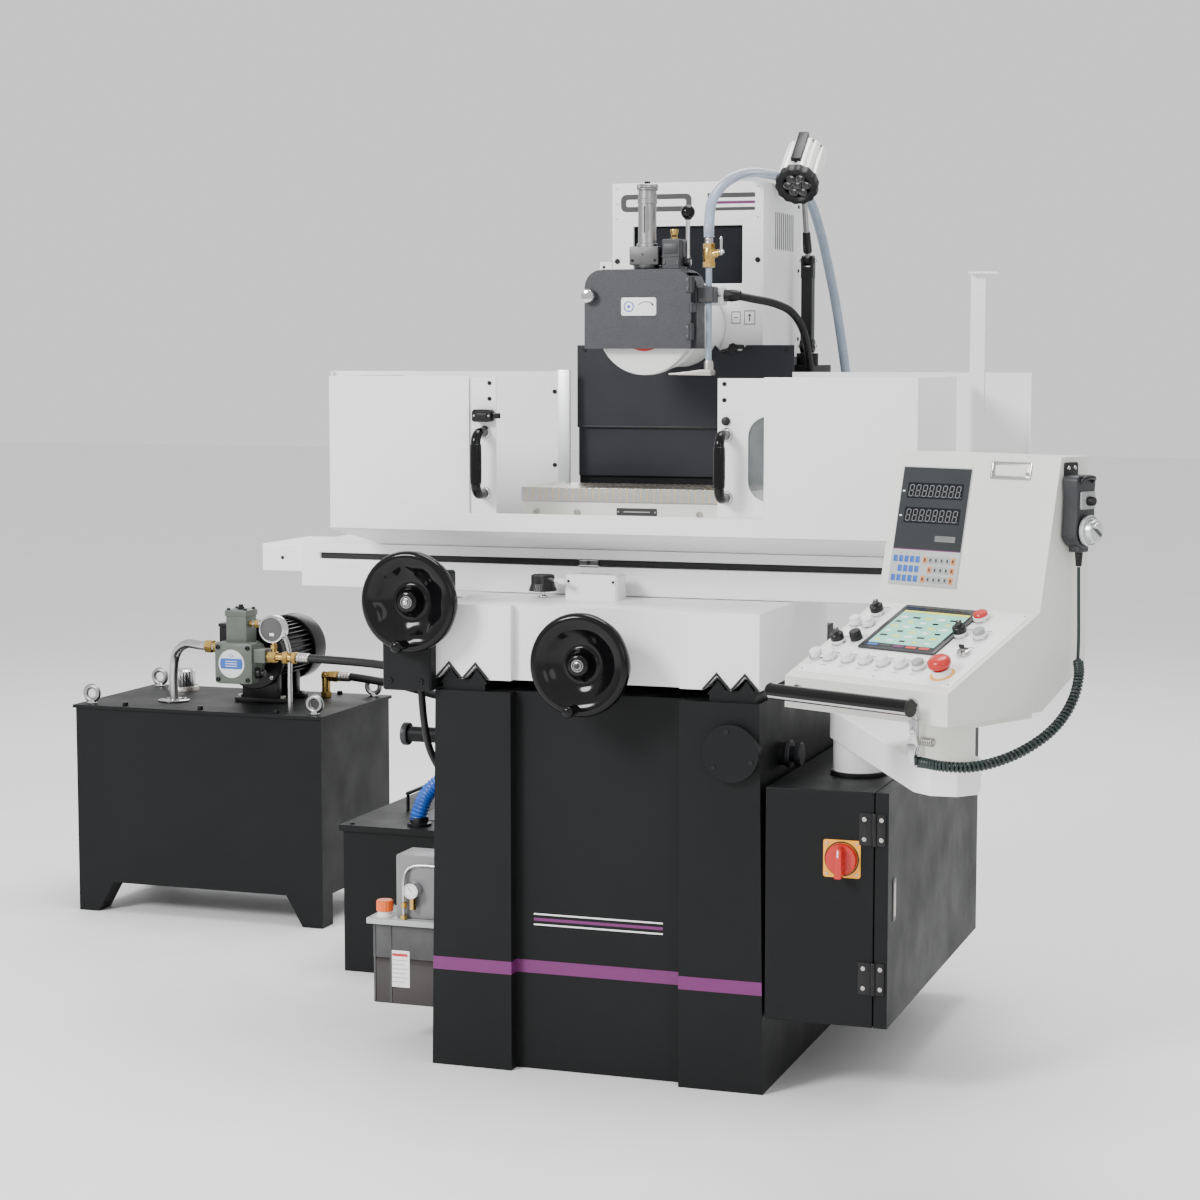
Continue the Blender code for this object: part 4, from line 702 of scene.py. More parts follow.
def half_width(z):
    return BASE_HALF_TOP + (BASE_HALF_FOOT - BASE_HALF_TOP) * (1 - z / BASE_HEIGHT)


def make_base():
    carry("machine_base", "anthracite_paint", 0.0035)
    carry("column", "anthracite_paint", 0.002)
    kit = Kit("base_trim", "frame")
    low, high, skin = 0.194, 0.22, 0.0006
    for side in (-1, 1):
        pad = [(side * PAD_INNER, low), (side * half_width(low), low)]
        pad += [(side * half_width(high), high), (side * PAD_INNER, high)]
        kit.add("magenta_paint", prism(pad[::side], facing((0, BASE_FRONT, 0), X, Z), 0, skin))
        flank = facing((side * PAD_INNER, 0, 0), side * Y, Z)
        reach = sorted((side * BASE_FRONT, side * (BASE_FRONT + PAD_DEPTH)))
        kit.add("magenta_paint", prism(rounded((reach[0], low), (reach[1], high), 0.0001, 2), flank, -skin,
            skin))
    recess = facing((0, BASE_FRONT + PAD_DEPTH, 0), X, Z)
    kit.add("magenta_paint", plate(recess, (-PAD_INNER, low), (PAD_INNER, high), 0.0001, 0, skin))
    kit.add("magenta_paint", plate(recess, (-0.136, 0.3), (0.132, 0.306), 0.001, 0, 0.0005))
    kit.add("label_white", plate(recess, (-0.136, 0.312), (0.132, 0.315), 0.001, 0, 0.0005))
    kit.add("label_white", plate(recess, (-0.136, 0.291), (0.132, 0.294), 0.001, 0, 0.0005))
    x, z = 0.28, 0.662
    for dx, dz in around(3, 0.043, 100):
        kit.add("black_plastic", screw_head((x + dx, BASE_FRONT - 0.018, z + dz), -Y, 0.0042, 0.0022))
    collar = [(0.0165, 0), (0.026, 0), (0.0275, 0.0015), (0.0275, 0.008), (0.026, 0.0095), (0.0165, 0.0095)]
    cap = [(0.0162, 0), (0.0225, 0), (0.0235, 0.0015), (0.0235, 0.0115), (0.022, 0.013), (0, 0.013)]
    for side, outer in ((-1, 0.4525), (1, 0.3655)):
        kit.add("graphite", lathe(collar, (side * 0.348, *LIFTING_BAR), (side, 0, 0), 32))
        kit.add("graphite", lathe([(0, -0.001), *cap], (side * outer, *LIFTING_BAR), (side, 0, 0), 32))
    for x in (-0.17, 0.17):
        for y in (0.14, 0.49):
            kit.add("zinc", hexagon((x, y, 0.8), Z, 0.019, 0.01))
            kit.add("zinc", rod((x, y, 0.7995), (x, y, 0.802), 0.014))
    kit.done()


CABINET_FRONT = -0.55
MAIN_SWITCH = (0.495, CABINET_FRONT, 0.471)
HINGE_HEIGHTS = (0.245, 0.53)
HINGE_SCREWS = (-0.019, 0.019)


def make_cabinet():
    carry("electrical_cabinet", "anthracite_paint", 0.0022)
    carry("cabinet_door", "anthracite_paint", 0.0016)
    kit = Kit("cabinet_trim", "frame")
    x, _, z = MAIN_SWITCH
    at = front(*MAIN_SWITCH)
    kit.add("yellow_plastic", plate(at, (-0.036, -0.036), (0.036, 0.036), 0.005, 0, 0.0016, 0.0005))
    kit.add("black_plastic", lathe([(0.0315, 0.0012), (0.0335, 0.0012), (0.0335, 0.0026), (0.0315, 0.003)],
        MAIN_SWITCH, -Y, 40))
    for sx in (-1, 1):
        for sz in (-1, 1):
            kit.add("zinc", screw_head((x + sx * 0.029, CABINET_FRONT - 0.0016, z + sz * 0.029), -Y,
                0.0024, 0.0012))
    for z in HINGE_HEIGHTS:
        leaf = front(0.5405, CABINET_FRONT, z)
        kit.add("black_plastic", plate(leaf, (-0.0125, -0.031), (0.0125, 0.031), 0.003, 0, 0.0024, 0.0006))
        for dz in HINGE_SCREWS:
            kit.add("zinc", screw_head((0.538, CABINET_FRONT - 0.0024, z + dz), -Y, 0.0042, 0.0014))
    for z in (0.23, 0.28, 0.33, 0.38, 0.43, 0.48, 0.52):
        kit.add("zinc", box((0.3722, -0.4, z - 0.004), (0.379, 0.2, z + 0.004), 0.0006))
    for i, z in enumerate((0.255, 0.355, 0.455)):
        for k in range(6 + 2 * i):
            y = -0.38 + k * 0.052
            kit.add("casing_grey", box((0.3795, y, z - 0.026), (0.424, y + 0.044, z + 0.026), 0.002))
            kit.add("black_plastic", box((0.4245, y + 0.014, z - 0.01), (0.431, y + 0.03, z + 0.01), 0.001))
    kit.done()

    kit = Kit("cabinet_door_trim", "cabinet_lid")
    side = facing((0.584, 0, 0), Y, Z)
    kit.add("black_plastic", plate(side, (-0.512, 0.348), (-0.484, 0.43), 0.006, 0, 0.0012, 0.0004))
    kit.add("zinc", plate(side, (-0.505, 0.356), (-0.491, 0.422), 0.005, 0.0012, 0.0022, 0.0004))
    for z in HINGE_HEIGHTS:
        leaf = front(0.569, CABINET_FRONT - 0.0025, z)
        kit.add("black_plastic", plate(leaf, (-0.0095, -0.0305), (0.0095, 0.0305), 0.003, 0, 0.0008,
            0.0003))
        for dz in HINGE_SCREWS:
            kit.add("zinc", screw_head((0.571, CABINET_FRONT - 0.0033, z + dz), -Y, 0.0042, 0.0014))
        kit.add("black_plastic", lathe([(0, 0), (0.0042, 0), (0.0048, 0.001), (0.0048, 0.061),
            (0.0042, 0.062), (0, 0.062)], (0.5572, -0.5535, z - 0.031), Z, 20))
    kit.done()

    kit = Kit("main_switch", "isolator")
    x, _, z = MAIN_SWITCH
    y = CABINET_FRONT - 0.0018
    kit.add("red_plastic", lathe([(0, 0), (0.03, 0), (0.0305, 0.002), (0.03, 0.009), (0.0285, 0.0115),
        (0, 0.0125)], (x, y, z), -Y, 48))
    grip = [(-0.0065, -0.033), (0.0065, -0.033), (0.0075, -0.02), (0.0065, 0.02), (0.004, 0.026),
        (-0.004, 0.026), (-0.0065, 0.02), (-0.0075, -0.02)]
    kit.add("red_plastic", prism(grip, front(x, y, z), 0.011, 0.034, 0.0022, 3))
    kit.add("label_white", plate(front(x, y, z), (-0.0012, 0.008), (0.0012, 0.022), 0.001, 0.0335, 0.0345))
    kit.add("black_plastic", rod((x, y - 0.0125, z - 0.022), (x, y - 0.0135, z - 0.022), 0.0035))
    kit.done(replaces=["main_switch"])


# ---------------------------------------------------------------- power pack, coolant tank and lubricator

PACK = (-1.747, -1.063, 0.465, 0.88)
PACK_TOP = 0.53
SUCTION = (-1.54, 0.6)
TANK_TOP = 0.342
COOLANT_PUMP = (-0.51, 0.62)
PUMP_X = -1.317
PUMP_Z = 0.655


def make_pack():
    carry("hydraulic_tank", "anthracite_paint", 0.0022)
    x0, x1, y0, y1 = PACK
    kit = Kit("power_pack_trim", "frame")
    for x in (x0 + 0.03, x1 - 0.03):
        for y in (y0 + 0.03, y1 - 0.03):
            kit.add("satin_grey", ring((x, y, PACK_TOP + 0.026), Y, 0.018, 0.0066, 40))
            kit.add("chrome", lathe([(0, 0), (0.0125, 0), (0.013, 0.002), (0.0105, 0.006), (0.0085, 0.009),
                (0, 0.009)], (x, y, PACK_TOP), Z, 32))
    for x in (x0 + 0.13, -1.405, x1 - 0.13):
        for y in (y0 + 0.022, y1 - 0.022):
            kit.add("black_paint", hexagon((x, y, PACK_TOP), Z, 0.014, 0.009))
    cap = (-1.62, 0.8, PACK_TOP)
    kit.add("chrome", lobed([(0, 0.0565, 0), (0.0275, 0.0563, 0), (0.0312, 0.052, 0.0004),
        (0.0318, 0.02, 0.0006), (0.0312, 0.0145, 0), (0, 0.014, 0)], 28, cap, Z, 168))
    kit.add("zinc", lathe([(0, 0), (0.0415, 0), (0.0415, 0.0035), (0.0395, 0.0105), (0.03, 0.0135),
        (0, 0.014)], cap, Z, 48))
    for dx, dy in around(6, 0.036, 30):
        kit.add("zinc", screw_head((cap[0] + dx, cap[1] + dy, PACK_TOP + 0.0085), Z, 0.0028, 0.0026))
    kit.add("casing_grey", plate(facing((x0, 0, 0), -Y, Z), (-0.62, 0.3), (-0.59, 0.43), 0.006, 0, 0.004,
        0.001))
    kit.add("oil", plate(facing((x0, 0, 0), -Y, Z), (-0.612, 0.315), (-0.598, 0.415), 0.006, 0.004, 0.0055))
    kit.add("zinc", hexagon((x1, 0.67, 0.105), X, 0.022, 0.009))
    kit.done()
    make_motor()
    make_pump()


def make_motor():
    kit = Kit("pump_motor", "frame")
    x, z = PUMP_X, PUMP_Z
    kit.add("black_paint", rod((x, 0.6225, z), (x, 0.802, z), 0.066, edge=0.002, steps=48))
    for k in range(36):
        a = 2 * math.pi * k / 36
        if math.sin(a) < -0.75:
            continue
        turn = Matrix.Translation((x, 0, z)) @ Matrix.Rotation(-a, 4, "Y")
        kit.add("black_paint", box((0.064, 0.628, -0.0013), (0.0775, 0.798, 0.0013), 0.0005, turn))
    kit.add(
        "black_paint",
        lathe([(0, 0), (0.083, 0), (0.085, 0.002), (0.085, 0.013), (0.083, 0.015), (0.07, 0.02),
               (0, 0.02)], (x, 0.606, z), Y, 56),
        lathe([(0.0795, 0), (0.084, 0), (0.085, 0.002), (0.085, 0.06), (0.08, 0.067), (0.062, 0.07),
               (0.062, 0.0675), (0.0785, 0.064)], (x, 0.8, z), Y, 56),
        lathe(disc(0.066, 0.056, 0.06), (x, 0.8, z), Y, 40),
    )
    for r in (0.016, 0.03, 0.044, 0.057):
        kit.add("black_paint", ring((x, 0.868, z), Y, r, 0.0016, 40))
    for k in range(8):
        a = math.pi * k / 8
        spoke = Matrix.Translation((x, 0.868, z)) @ Matrix.Rotation(-a, 4, "Y")
        kit.add("black_paint", box((-0.063, -0.001, -0.0014), (0.063, 0.001, 0.0014), 0.0003, spoke))
    for dx, dz in around(4, 0.076, 45):
        kit.add("zinc", screw_head((x + dx, 0.606, z + dz), -Y, 0.005, 0.005))
    kit.add("black_paint", box((x - 0.115, 0.645, z - 0.008), (x - 0.058, 0.755, z + 0.066), 0.004))
    kit.add("black_paint", box((x - 0.1153, 0.64, z + 0.066), (x - 0.052, 0.76, z + 0.0755), 0.003))
    for sy in (0.65, 0.75):
        for sx in (-0.108, -0.062):
            kit.add("zinc", screw_head((x + sx, sy, z + 0.0755), Z, 0.003, 0.0018))
    kit.add("black_plastic", lathe([(0, 0), (0.012, 0), (0.012, 0.01), (0.009, 0.012), (0.009, 0.02),
        (0, 0.02)], (x - 0.085, 0.645, z + 0.025), -Y, 24))
    for y in (0.655, 0.765):
        kit.add("black_paint", box((x - 0.071, y - 0.014, PACK_TOP + 0.0003),
            (x + 0.071, y + 0.014, PACK_TOP + 0.012), 0.002))
        kit.add("black_paint", box((x - 0.05, y - 0.011, PACK_TOP + 0.01),
            (x + 0.05, y + 0.011, z - 0.045), 0.002))
        for sx in (-0.06, 0.06):
            kit.add("zinc", hexagon((x + sx, y, PACK_TOP + 0.012), Z, 0.013, 0.007))
    kit.done(replaces=["pump_motor"])


def make_pump():
    kit = Kit("hydraulic_pump", "frame")
    x, z = PUMP_X, PUMP_Z
    kit.add(
        "pump_paint",
        box((x - 0.053, 0.4965, z - 0.06), (x + 0.053, 0.54, z + 0.045), 0.011),
        box((x - 0.046, 0.535, z - 0.052), (x + 0.046, 0.588, z + 0.038), 0.012),
        rod((x, 0.585, z), (x, 0.6055, z), 0.043, edge=0.002, steps=40),
        box((x - 0.029, 0.516, z + 0.04), (x + 0.029, 0.574, z + 0.112), 0.006),
        box((x - 0.031, 0.514, z + 0.108), (x + 0.031, 0.576, z + 0.1245), 0.004),
    )
    for sx in (-0.023, 0.023):
        for sy in (0.522, 0.568):
            kit.add("black_paint", screw_head((x + sx, sy, z + 0.1245), Z, 0.0048, 0.0045))
    kit.add("black_paint", hexagon((x, 0.545, z + 0.1245), Z, 0.017, 0.006))
    kit.add("black_paint", rod((x, 0.545, z + 0.129), (x, 0.545, z + 0.137), 0.0062, edge=0.001))
    for sx in (-0.041, 0.041):
        for sz in (-0.048, 0.033):
            kit.add("black_paint", screw_head((x + sx, 0.4965, z + sz), -Y, 0.0055, 0.005))
    kit.add("aluminium", lathe([(0, 0), (0.0355, 0), (0.0355, 0.0006), (0, 0.0008)],
        (x - 0.004, 0.4965, z - 0.008), -Y, 48))
    name = front(x - 0.004, 0.4957, z - 0.008)
    kit.add("label_blue", prism([*arc((0, 0), 0.031, -25, 25, 9), *arc((0, 0), 0.031, 155, 205, 9)], name,
        0, 0.0004))
    for dz in (-0.006, 0.0, 0.006):
        kit.add("label_white", plate(name, (-0.016, dz - 0.0007), (0.016, dz + 0.0007), 0.0005, 0.0004,
            0.0006))
    kit.add("label_blue", ring((x - 0.004, 0.4956, z + 0.013), -Y, 0.0042, 0.0006, 24))
    kit.add("pump_paint", box((x + 0.045, 0.506, z - 0.005), (x + 0.084, 0.544, z + 0.03), 0.004))
    kit.add("black_paint", lathe([(0, 0), (0.014, 0), (0.014, 0.012), (0.009, 0.015), (0.009, 0.022),
        (0, 0.023)], (x + 0.052, 0.525, z - 0.032), X, 28))

    y, level = 0.525, z + 0.01
    kit.add(
        "brass",
        hexagon((x + 0.082, y, level), X, 0.026, 0.026),
        rod((x + 0.105, y, level), (x + 0.128, y, level), 0.0105, edge=0.001),
        hexagon((x + 0.126, y, level), X, 0.028, 0.014),
        rod((x + 0.138, y, level), (x + 0.1497, y, level), 0.0112, edge=0.0008),
        rod((x + 0.1, y, level), (x + 0.1, y, z + 0.048), 0.0062),
        hexagon((x + 0.1, y, z + 0.03), Z, 0.016, 0.01),
    )
    gauge = (x + 0.1, 0.538, z + 0.08)
    kit.add("chrome", lathe([(0, 0), (0.0325, 0), (0.035, 0.003), (0.035, 0.024), (0.0335, 0.027),
        (0.03, 0.0275), (0.03, 0.0245), (0, 0.0245)], gauge, -Y, 56))
    kit.add("dull_steel", lathe(disc(0.0298, 0.0246, 0.0252), gauge, -Y, 48))
    kit.add("label_white", plate(front(x + 0.1, 0.538 - 0.0252, z + 0.07), (-0.006, -0.006),
        (0.006, 0.001), 0.001, 0, 0.0003))

    route = [(*SUCTION, PACK_TOP + 0.002), (*SUCTION, 0.6), (-1.525, 0.59, 0.655), (-1.48, 0.56, 0.684),
        (-1.43, 0.545, 0.684), (-1.36, 0.54, 0.68)]
    kit.add("turned_steel", tube(smooth_route(route, 48), 0.0116, 20))
    kit.add("chrome", lathe([(0, 0), (0.0395, 0), (0.04, 0.0008), (0.04, 0.004), (0.0385, 0.005),
        (0, 0.005)], (*SUCTION, PACK_TOP + 0.0003), Z, 48))
    for dx, dy in around(4, 0.031, 45):
        kit.add("zinc", screw_head((SUCTION[0] + dx, SUCTION[1] + dy, PACK_TOP + 0.0053), Z, 0.0034,
            0.0032))
    along = Vector((1, -0.05, -0.05)).normalized()
    kit.add("brass", hexagon((-1.414, 0.5435, 0.6835), along, 0.03, 0.02))
    kit.add("brass", hexagon((-1.39, 0.542, 0.6822), along, 0.026, 0.012))
    route = [(x + 0.02, 0.535, z + 0.09), (x + 0.07, 0.532, z + 0.09), (x + 0.115, 0.53, z + 0.075),
        (x + 0.138, 0.53, z + 0.03), (x + 0.139, 0.5327, z - 0.05), (x + 0.139, 0.5327, PACK_TOP + 0.0004)]
    kit.add("turned_steel", tube(smooth_route(route, 44), 0.0061, 16))
    kit.add("brass", hexagon((x + 0.029, 0.5348, z + 0.0902), X, 0.015, 0.009))
    kit.add("brass", hexagon((x + 0.044, 0.5335, z + 0.0902), X, 0.017, 0.012))
    kit.done(replaces=["hydraulic_pump"])


def make_fittings():
    """Ferrules and nuts at the hoses' ends."""
    kit = Kit("hose_fittings", "frame")
    hose_end(kit, (-1.166, 0.525, 0.665), X, 0.0105)
    hose_end(kit, (-0.3352, 0.28, 0.63), -X, 0.0105)
    kit.add(
        "brass",
        rod((-1.205, 0.8, 0.5303), (-1.205, 0.8, 0.592), 0.0112, edge=0.001, steps=28),
        hexagon((-1.205, 0.8, 0.5303), Z, 0.026, 0.014),
        rod((-1.214, 0.8, 0.585), (-1.18, 0.8, 0.585), 0.0116, edge=0.001, steps=28),
        hexagon((-1.194, 0.8, 0.585), X, 0.026, 0.013),
    )
    hose_end(kit, (-1.181, 0.8, 0.585), X, 0.0105)
    hose_end(kit, (-0.3362, 0.43, 0.56), -X, 0.0105)
    kit.add("black_plastic", lathe([(0.0165, 0), (0.028, 0), (0.028, 0.006), (0.0215, 0.008),
        (0.0215, 0.02), (0.0165, 0.02)], (-0.663, 0.14, 0.3422), Z, 36))
    kit.add("black_plastic", lathe([(0.0165, 0), (0.03, 0), (0.03, 0.007), (0.0215, 0.009),
        (0.0215, 0.018), (0.0165, 0.018)], (-0.3372, 0.23, 0.49), -X, 36))
    kit.add("graphite", hexagon((-0.3357, -0.42, 0.56), -X, 0.024, 0.012))
    kit.add("graphite", hexagon((0.1505, 0.245, 1.25), X, 0.024, 0.014))
    kit.done()
    kit = Kit("feed_gland", "saddle")
    kit.add("graphite", hexagon((-0.395, -0.47, 0.7548), -Z, 0.024, 0.012))
    kit.done()


def make_tank():
    carry("coolant_tank", "anthracite_paint", 0.0018)
    kit = Kit("coolant_tank_trim", "frame")
    top = 0.449
    kit.add("black_paint", lathe([(0, 0), (0.06, 0), (0.061, 0.002), (0.061, 0.01), (0.053, 0.013),
        (0.053, 0.085), (0.055, 0.087), (0.055, 0.103), (0.05, 0.1075), (0, 0.1078)],
        (*COOLANT_PUMP, TANK_TOP), Z, 48))
    for k in range(20):
        a = 2 * math.pi * k / 20
        turn = Matrix.Translation((*COOLANT_PUMP, 0)) @ Matrix.Rotation(a, 4, "Z")
        kit.add("black_paint", box((0.051, -0.0012, 0.356), (0.0575, 0.0012, 0.427), 0.0004, turn))
    kit.add("brass", hexagon((*COOLANT_PUMP, top), Z, 0.026, 0.01))
    kit.add("zinc", lathe(washer(0.0107, 0.0125, 0, 0.012), (*COOLANT_PUMP, 0.471), Z, 28))
    for x in (-0.815, -0.6, -0.38):
        for y in (0.105, 0.685):
            kit.add("black_paint", screw_head((x, y, TANK_TOP), Z, 0.0055, 0.004))
    kit.add("graphite", plate(facing((-0.6, 0.36, TANK_TOP), X, Y), (-0.11, -0.16), (0.11, 0.16), 0.01, 0,
        0.0015, 0.0004))
    kit.done()


def make_lubricator():
    kit = Kit("lubricator", "frame")
    edge = -0.3447
    kit.add("tank_grey", box((-0.462, -0.455, 0.2682), (edge, -0.37, 0.3995), 0.005))
    kit.add("casing_grey", box((-0.52, -0.475, 0.256), (edge, -0.345, 0.268), 0.0015))
    kit.add("smoked", box((-0.508, -0.468, 0.186), (edge - 0.004, -0.352, 0.2558), 0.0012))
    kit.add("oil", box((-0.508, -0.468, 0.0905), (edge - 0.004, -0.352, 0.186), 0.004))
    for x in (-0.506, -0.47, edge - 0.01):
        kit.add("smoked", box((x, -0.4695, 0.093), (x + 0.004, -0.467, 0.255), 0.0008))
    label = front(-0.448, -0.468, 0.165)
    kit.add("label_white", plate(label, (-0.021, -0.038), (0.021, 0.038), 0.002, 0, 0.0006))
    kit.add("label_red", plate(label, (-0.017, 0.026), (0.017, 0.032), 0.001, 0.0006, 0.0008))
    for k in range(6):
        z = 0.017 - k * 0.009
        kit.add("grey_plastic", plate(label, (-0.017, z), (0.017 - 0.006 * (k % 2), z + 0.0014), 0.0005,
            0.0006, 0.0008))
    kit.add("orange_plastic", lobed([(0, 0.034, 0), (0.015, 0.034, 0), (0.0168, 0.032, 0.0005),
        (0.017, 0.012, 0.0005), (0.0155, 0.011, 0), (0, 0.011, 0)], 18, (-0.49, -0.448, 0.268), Z, 108))
    kit.add("white_plastic", lathe([(0, 0), (0.0175, 0), (0.0175, 0.003), (0.0145, 0.004),
        (0.0145, 0.0115), (0, 0.0115)], (-0.49, -0.448, 0.268), Z, 40))
    gauge = (-0.42, -0.4555, 0.33)
    kit.add("chrome", lathe([(0, 0), (0.0155, 0), (0.017, 0.002), (0.017, 0.02), (0.016, 0.0225),
        (0.014, 0.0225), (0.014, 0.0205), (0, 0.0205)], gauge, -Y, 40))
    kit.add("label_white", lathe(disc(0.0139, 0.0206, 0.0209), gauge, -Y, 32))
    for k in range(9):
        a = math.radians(-40 + 32.5 * k)
        mark = front(-0.42, -0.4555 - 0.0209, 0.33) @ Matrix.Rotation(a, 4, "Z")
        kit.add("ink", plate(mark, (0.0105, -0.0004), (0.013, 0.0004), 0.0002, 0, 0.0002))
    kit.add("ink", plate(front(-0.42, -0.4764, 0.33) @ Matrix.Rotation(2.2, 4, "Z"), (-0.002, -0.0005),
        (0.01, 0.0005), 0.0003, 0, 0.0004))
    path = smooth_route([(-0.44, -0.466, 0.266), (-0.44, -0.466, 0.3), (-0.44, -0.464, 0.352),
        (-0.43, -0.458, 0.374), (-0.405, -0.4565, 0.38), (-0.375, -0.4565, 0.38)], 40)
    kit.add("turned_steel", tube(path, 0.0036, 14))
    kit.add(
        "brass",
        hexagon((-0.44, -0.466, 0.2682), Z, 0.013, 0.01),
        hexagon((-0.44, -0.4656, 0.292), Z, 0.011, 0.012),
        hexagon((-0.42, -0.466, 0.29), Z, 0.013, 0.024),
    )
    kit.add("zinc", screw_head((-0.513, -0.469, 0.268), Z, 0.003, 0.002))
    kit.add("zinc", screw_head((-0.513, -0.352, 0.268), Z, 0.003, 0.002))
    kit.done(replaces=["lubricator"])


# ---------------------------------------------------------------- saddle, handwheels, table and chuck


def make_saddle():
    carry("saddle", "white_paint", 0.004)
    carry("feed_bracket", "anthracite_paint", 0.0015)
    kit = Kit("saddle_trim", "saddle")
    for z in (0.775, 0.905):
        for x in (-0.418, -0.352):
            kit.add("black_paint", screw_head((x, -0.575, z), -Y, 0.0052, 0.0045))
    kit.add("graphite", lathe([(0.0195, 0), (0.03, 0), (0.031, 0.001), (0.031, 0.006), (0.0295, 0.0075),
        (0.0195, 0.0075)], (-0.365, -0.575, 0.935), -Y, 40))
    kit.add("graphite", lathe([(0.0195, 0), (0.033, 0), (0.034, 0.001), (0.034, 0.007), (0.032, 0.009),
        (0.0195, 0.009)], (0, -0.53, 0.828), -Y, 40))
    for x in (-0.303, -0.247, 0.247, 0.303):
        felt = [(x - 0.03, 0.781), (x - 0.024, 0.781), (x, 0.8085), (x + 0.024, 0.781), (x + 0.03, 0.781),
            (x, 0.8145)]
        kit.add("black_rubber", prism(felt, facing((0, -0.548, 0), X, Z), 0, 0.0025))
    scale = facing((-0.062, -0.36, 0.978), X, Y)
    print_level = 0.0006
    kit.add("white_plastic", plate(scale, (-0.036, -0.02), (0.036, 0.02), 0.003, 0, print_level))
    kit.add("ink", plate(scale, (-0.028, -0.003), (0.028, -0.001), 0.0005, print_level,
        print_level + 0.0002))
    arrow = [(0.022, -0.0065), (0.03, -0.002), (0.022, 0.0025)]
    kit.add("ink", prism(arrow, scale, print_level, print_level + 0.0002))
    for sx in (-0.109, -0.015):
        kit.add("black_plastic", screw_head((sx, -0.39, 0.965), -Y, 0.0028, 0.0016))
    kit.done()

    kit = Kit("table_speed_knob", "speed_knob")
    x, y, z = -0.175, -0.36, 0.928
    skirt = [(0, 0.013, 0), (0.028, 0.013, 0.0002), (0.0288, 0.014, 0.0003), (0.0238, 0.027, 0.0003),
        (0.0233, 0.0285, 0.0004), (0.0233, 0.043, 0.0004), (0.0225, 0.0452, 0.0002), (0.0205, 0.046, 0),
        (0.019, 0.0448, 0), (0, 0.0448, 0)]
    kit.add("black_plastic", lobed(skirt, 40, (x, y, z), Z, 160))
    kit.add("chrome", rod((x, y, z + 0.005), (x, y, z + 0.0135), 0.0045, steps=28))
    kit.add("chrome", lathe([(0, 0.0005), (0.009, 0.0005), (0.009, 0.003), (0.0078, 0.005), (0, 0.0055)],
        (x, y, z), Z, 36))
    start, end = Vector((x + 0.016, y - 0.013, z + 0.038)), Vector((x + 0.07, y - 0.06, z + 0.038))
    along = (end - start).normalized()
    kit.add("satin_grey", rod(start, start.lerp(end, 0.5), 0.0033, steps=24))
    kit.add("white_plastic", lathe([(0, 0.032), (0.0044, 0.032), (0.0056, 0.036), (0.0056, 0.068),
        (0.0046, 0.0705), (0, 0.071)], start, along, 28))
    kit.done(replaces=["table_speed_knob"])


TABLE_WHEEL = (-0.365, -0.6, 0.935)
CROSS_WHEEL = (0.0, -0.63, 0.828)
GRIP_ANGLE = 266
GRIP_REACH = 0.084


def make_handwheel(node, body, centre, dome):
    """A glossy moulded dish, a small steel hub and a revolving grip; the domed one has finger hollows."""
    kit = Kit(node, body)
    swell = -0.0022 if dome else 0.0
    profile = [(0, -0.06, 0), (0.0168, -0.06, 0), (0.0168, -0.022, 0), (0.026, -0.0195, 0),
        (0.029, -0.015, 0), (0.06, -0.0178, 0), (0.077, -0.011, 0.0008), (0.089, -0.0175, 0.001),
        (0.096, -0.014, 0.001), (0.0992, -0.007, 0.0006), (0.1, 0.001, 0), (0.0988, 0.0075, 0),
        (0.0955, 0.0118, 0), (0.091, 0.0132, 0), (0.086, 0.0132, 0), (0.08, 0.0118, swell * 0.5),
        (0.073, 0.0088, swell), (0.067, 0.004, swell), (0.061, -0.0025, swell * 0.4), (0.044, -0.01, 0),
        (0.035, -0.0118, 0), (0.03, -0.0095, 0), (0.0262, -0.002, 0), (0.024, 0.006, 0),
        (0.0215, 0.011, 0), (0.0195, 0.015, 0), (0.018, 0.016, 0), (0, 0.016, 0)]
    kit.add("bakelite", lobed(profile, 9, centre, -Y, 180))
    hub = [(0, 0.0155), (0.0085, 0.0155), (0.0085, 0.0172), (0.0078, 0.018), (0, 0.018)]
    kit.add("satin_grey", lathe(hub, centre, -Y, 36))
    kit.add("satin_grey", lathe(washer(0.0102, 0.0118, 0.0158, 0.0166), centre, -Y, 40))
    if dome:
        cap = [(0, 0.0178), (0.0065, 0.0178), (0.0065, 0.02)]
        cap += [(0.0065 * math.cos(a), 0.02 + 0.0055 * math.sin(a)) for a in (0.35, 0.7, 1.05, 1.4)]
        kit.add("chrome", lathe([*cap, (0, 0.0255)], centre, -Y, 28))
    else:
        kit.add("graphite", hexagon((centre[0], centre[1] - 0.0178, centre[2]), -Y, 0.011, 0.0035))
    (dx, dz), = around(1, GRIP_REACH, GRIP_ANGLE)
    at = Vector(centre) + Vector((dx, 0, dz))
    grip = [(0, 0.0615), (0.006, 0.061), (0.01, 0.0585), (0.0119, 0.053), (0.0118, 0.046), (0.01, 0.033),
        (0.0088, 0.022), (0.0092, 0.016), (0.0098, 0.0135), (0, 0.0135)]
    kit.add("bakelite", lathe(grip, at, -Y, 36))
    kit.add("chrome", lathe([(0, 0.006), (0.0075, 0.006), (0.008, 0.0075), (0.008, 0.0125), (0, 0.013)],
        at, -Y, 28))
    kit.done(replaces=[node], angle=50)


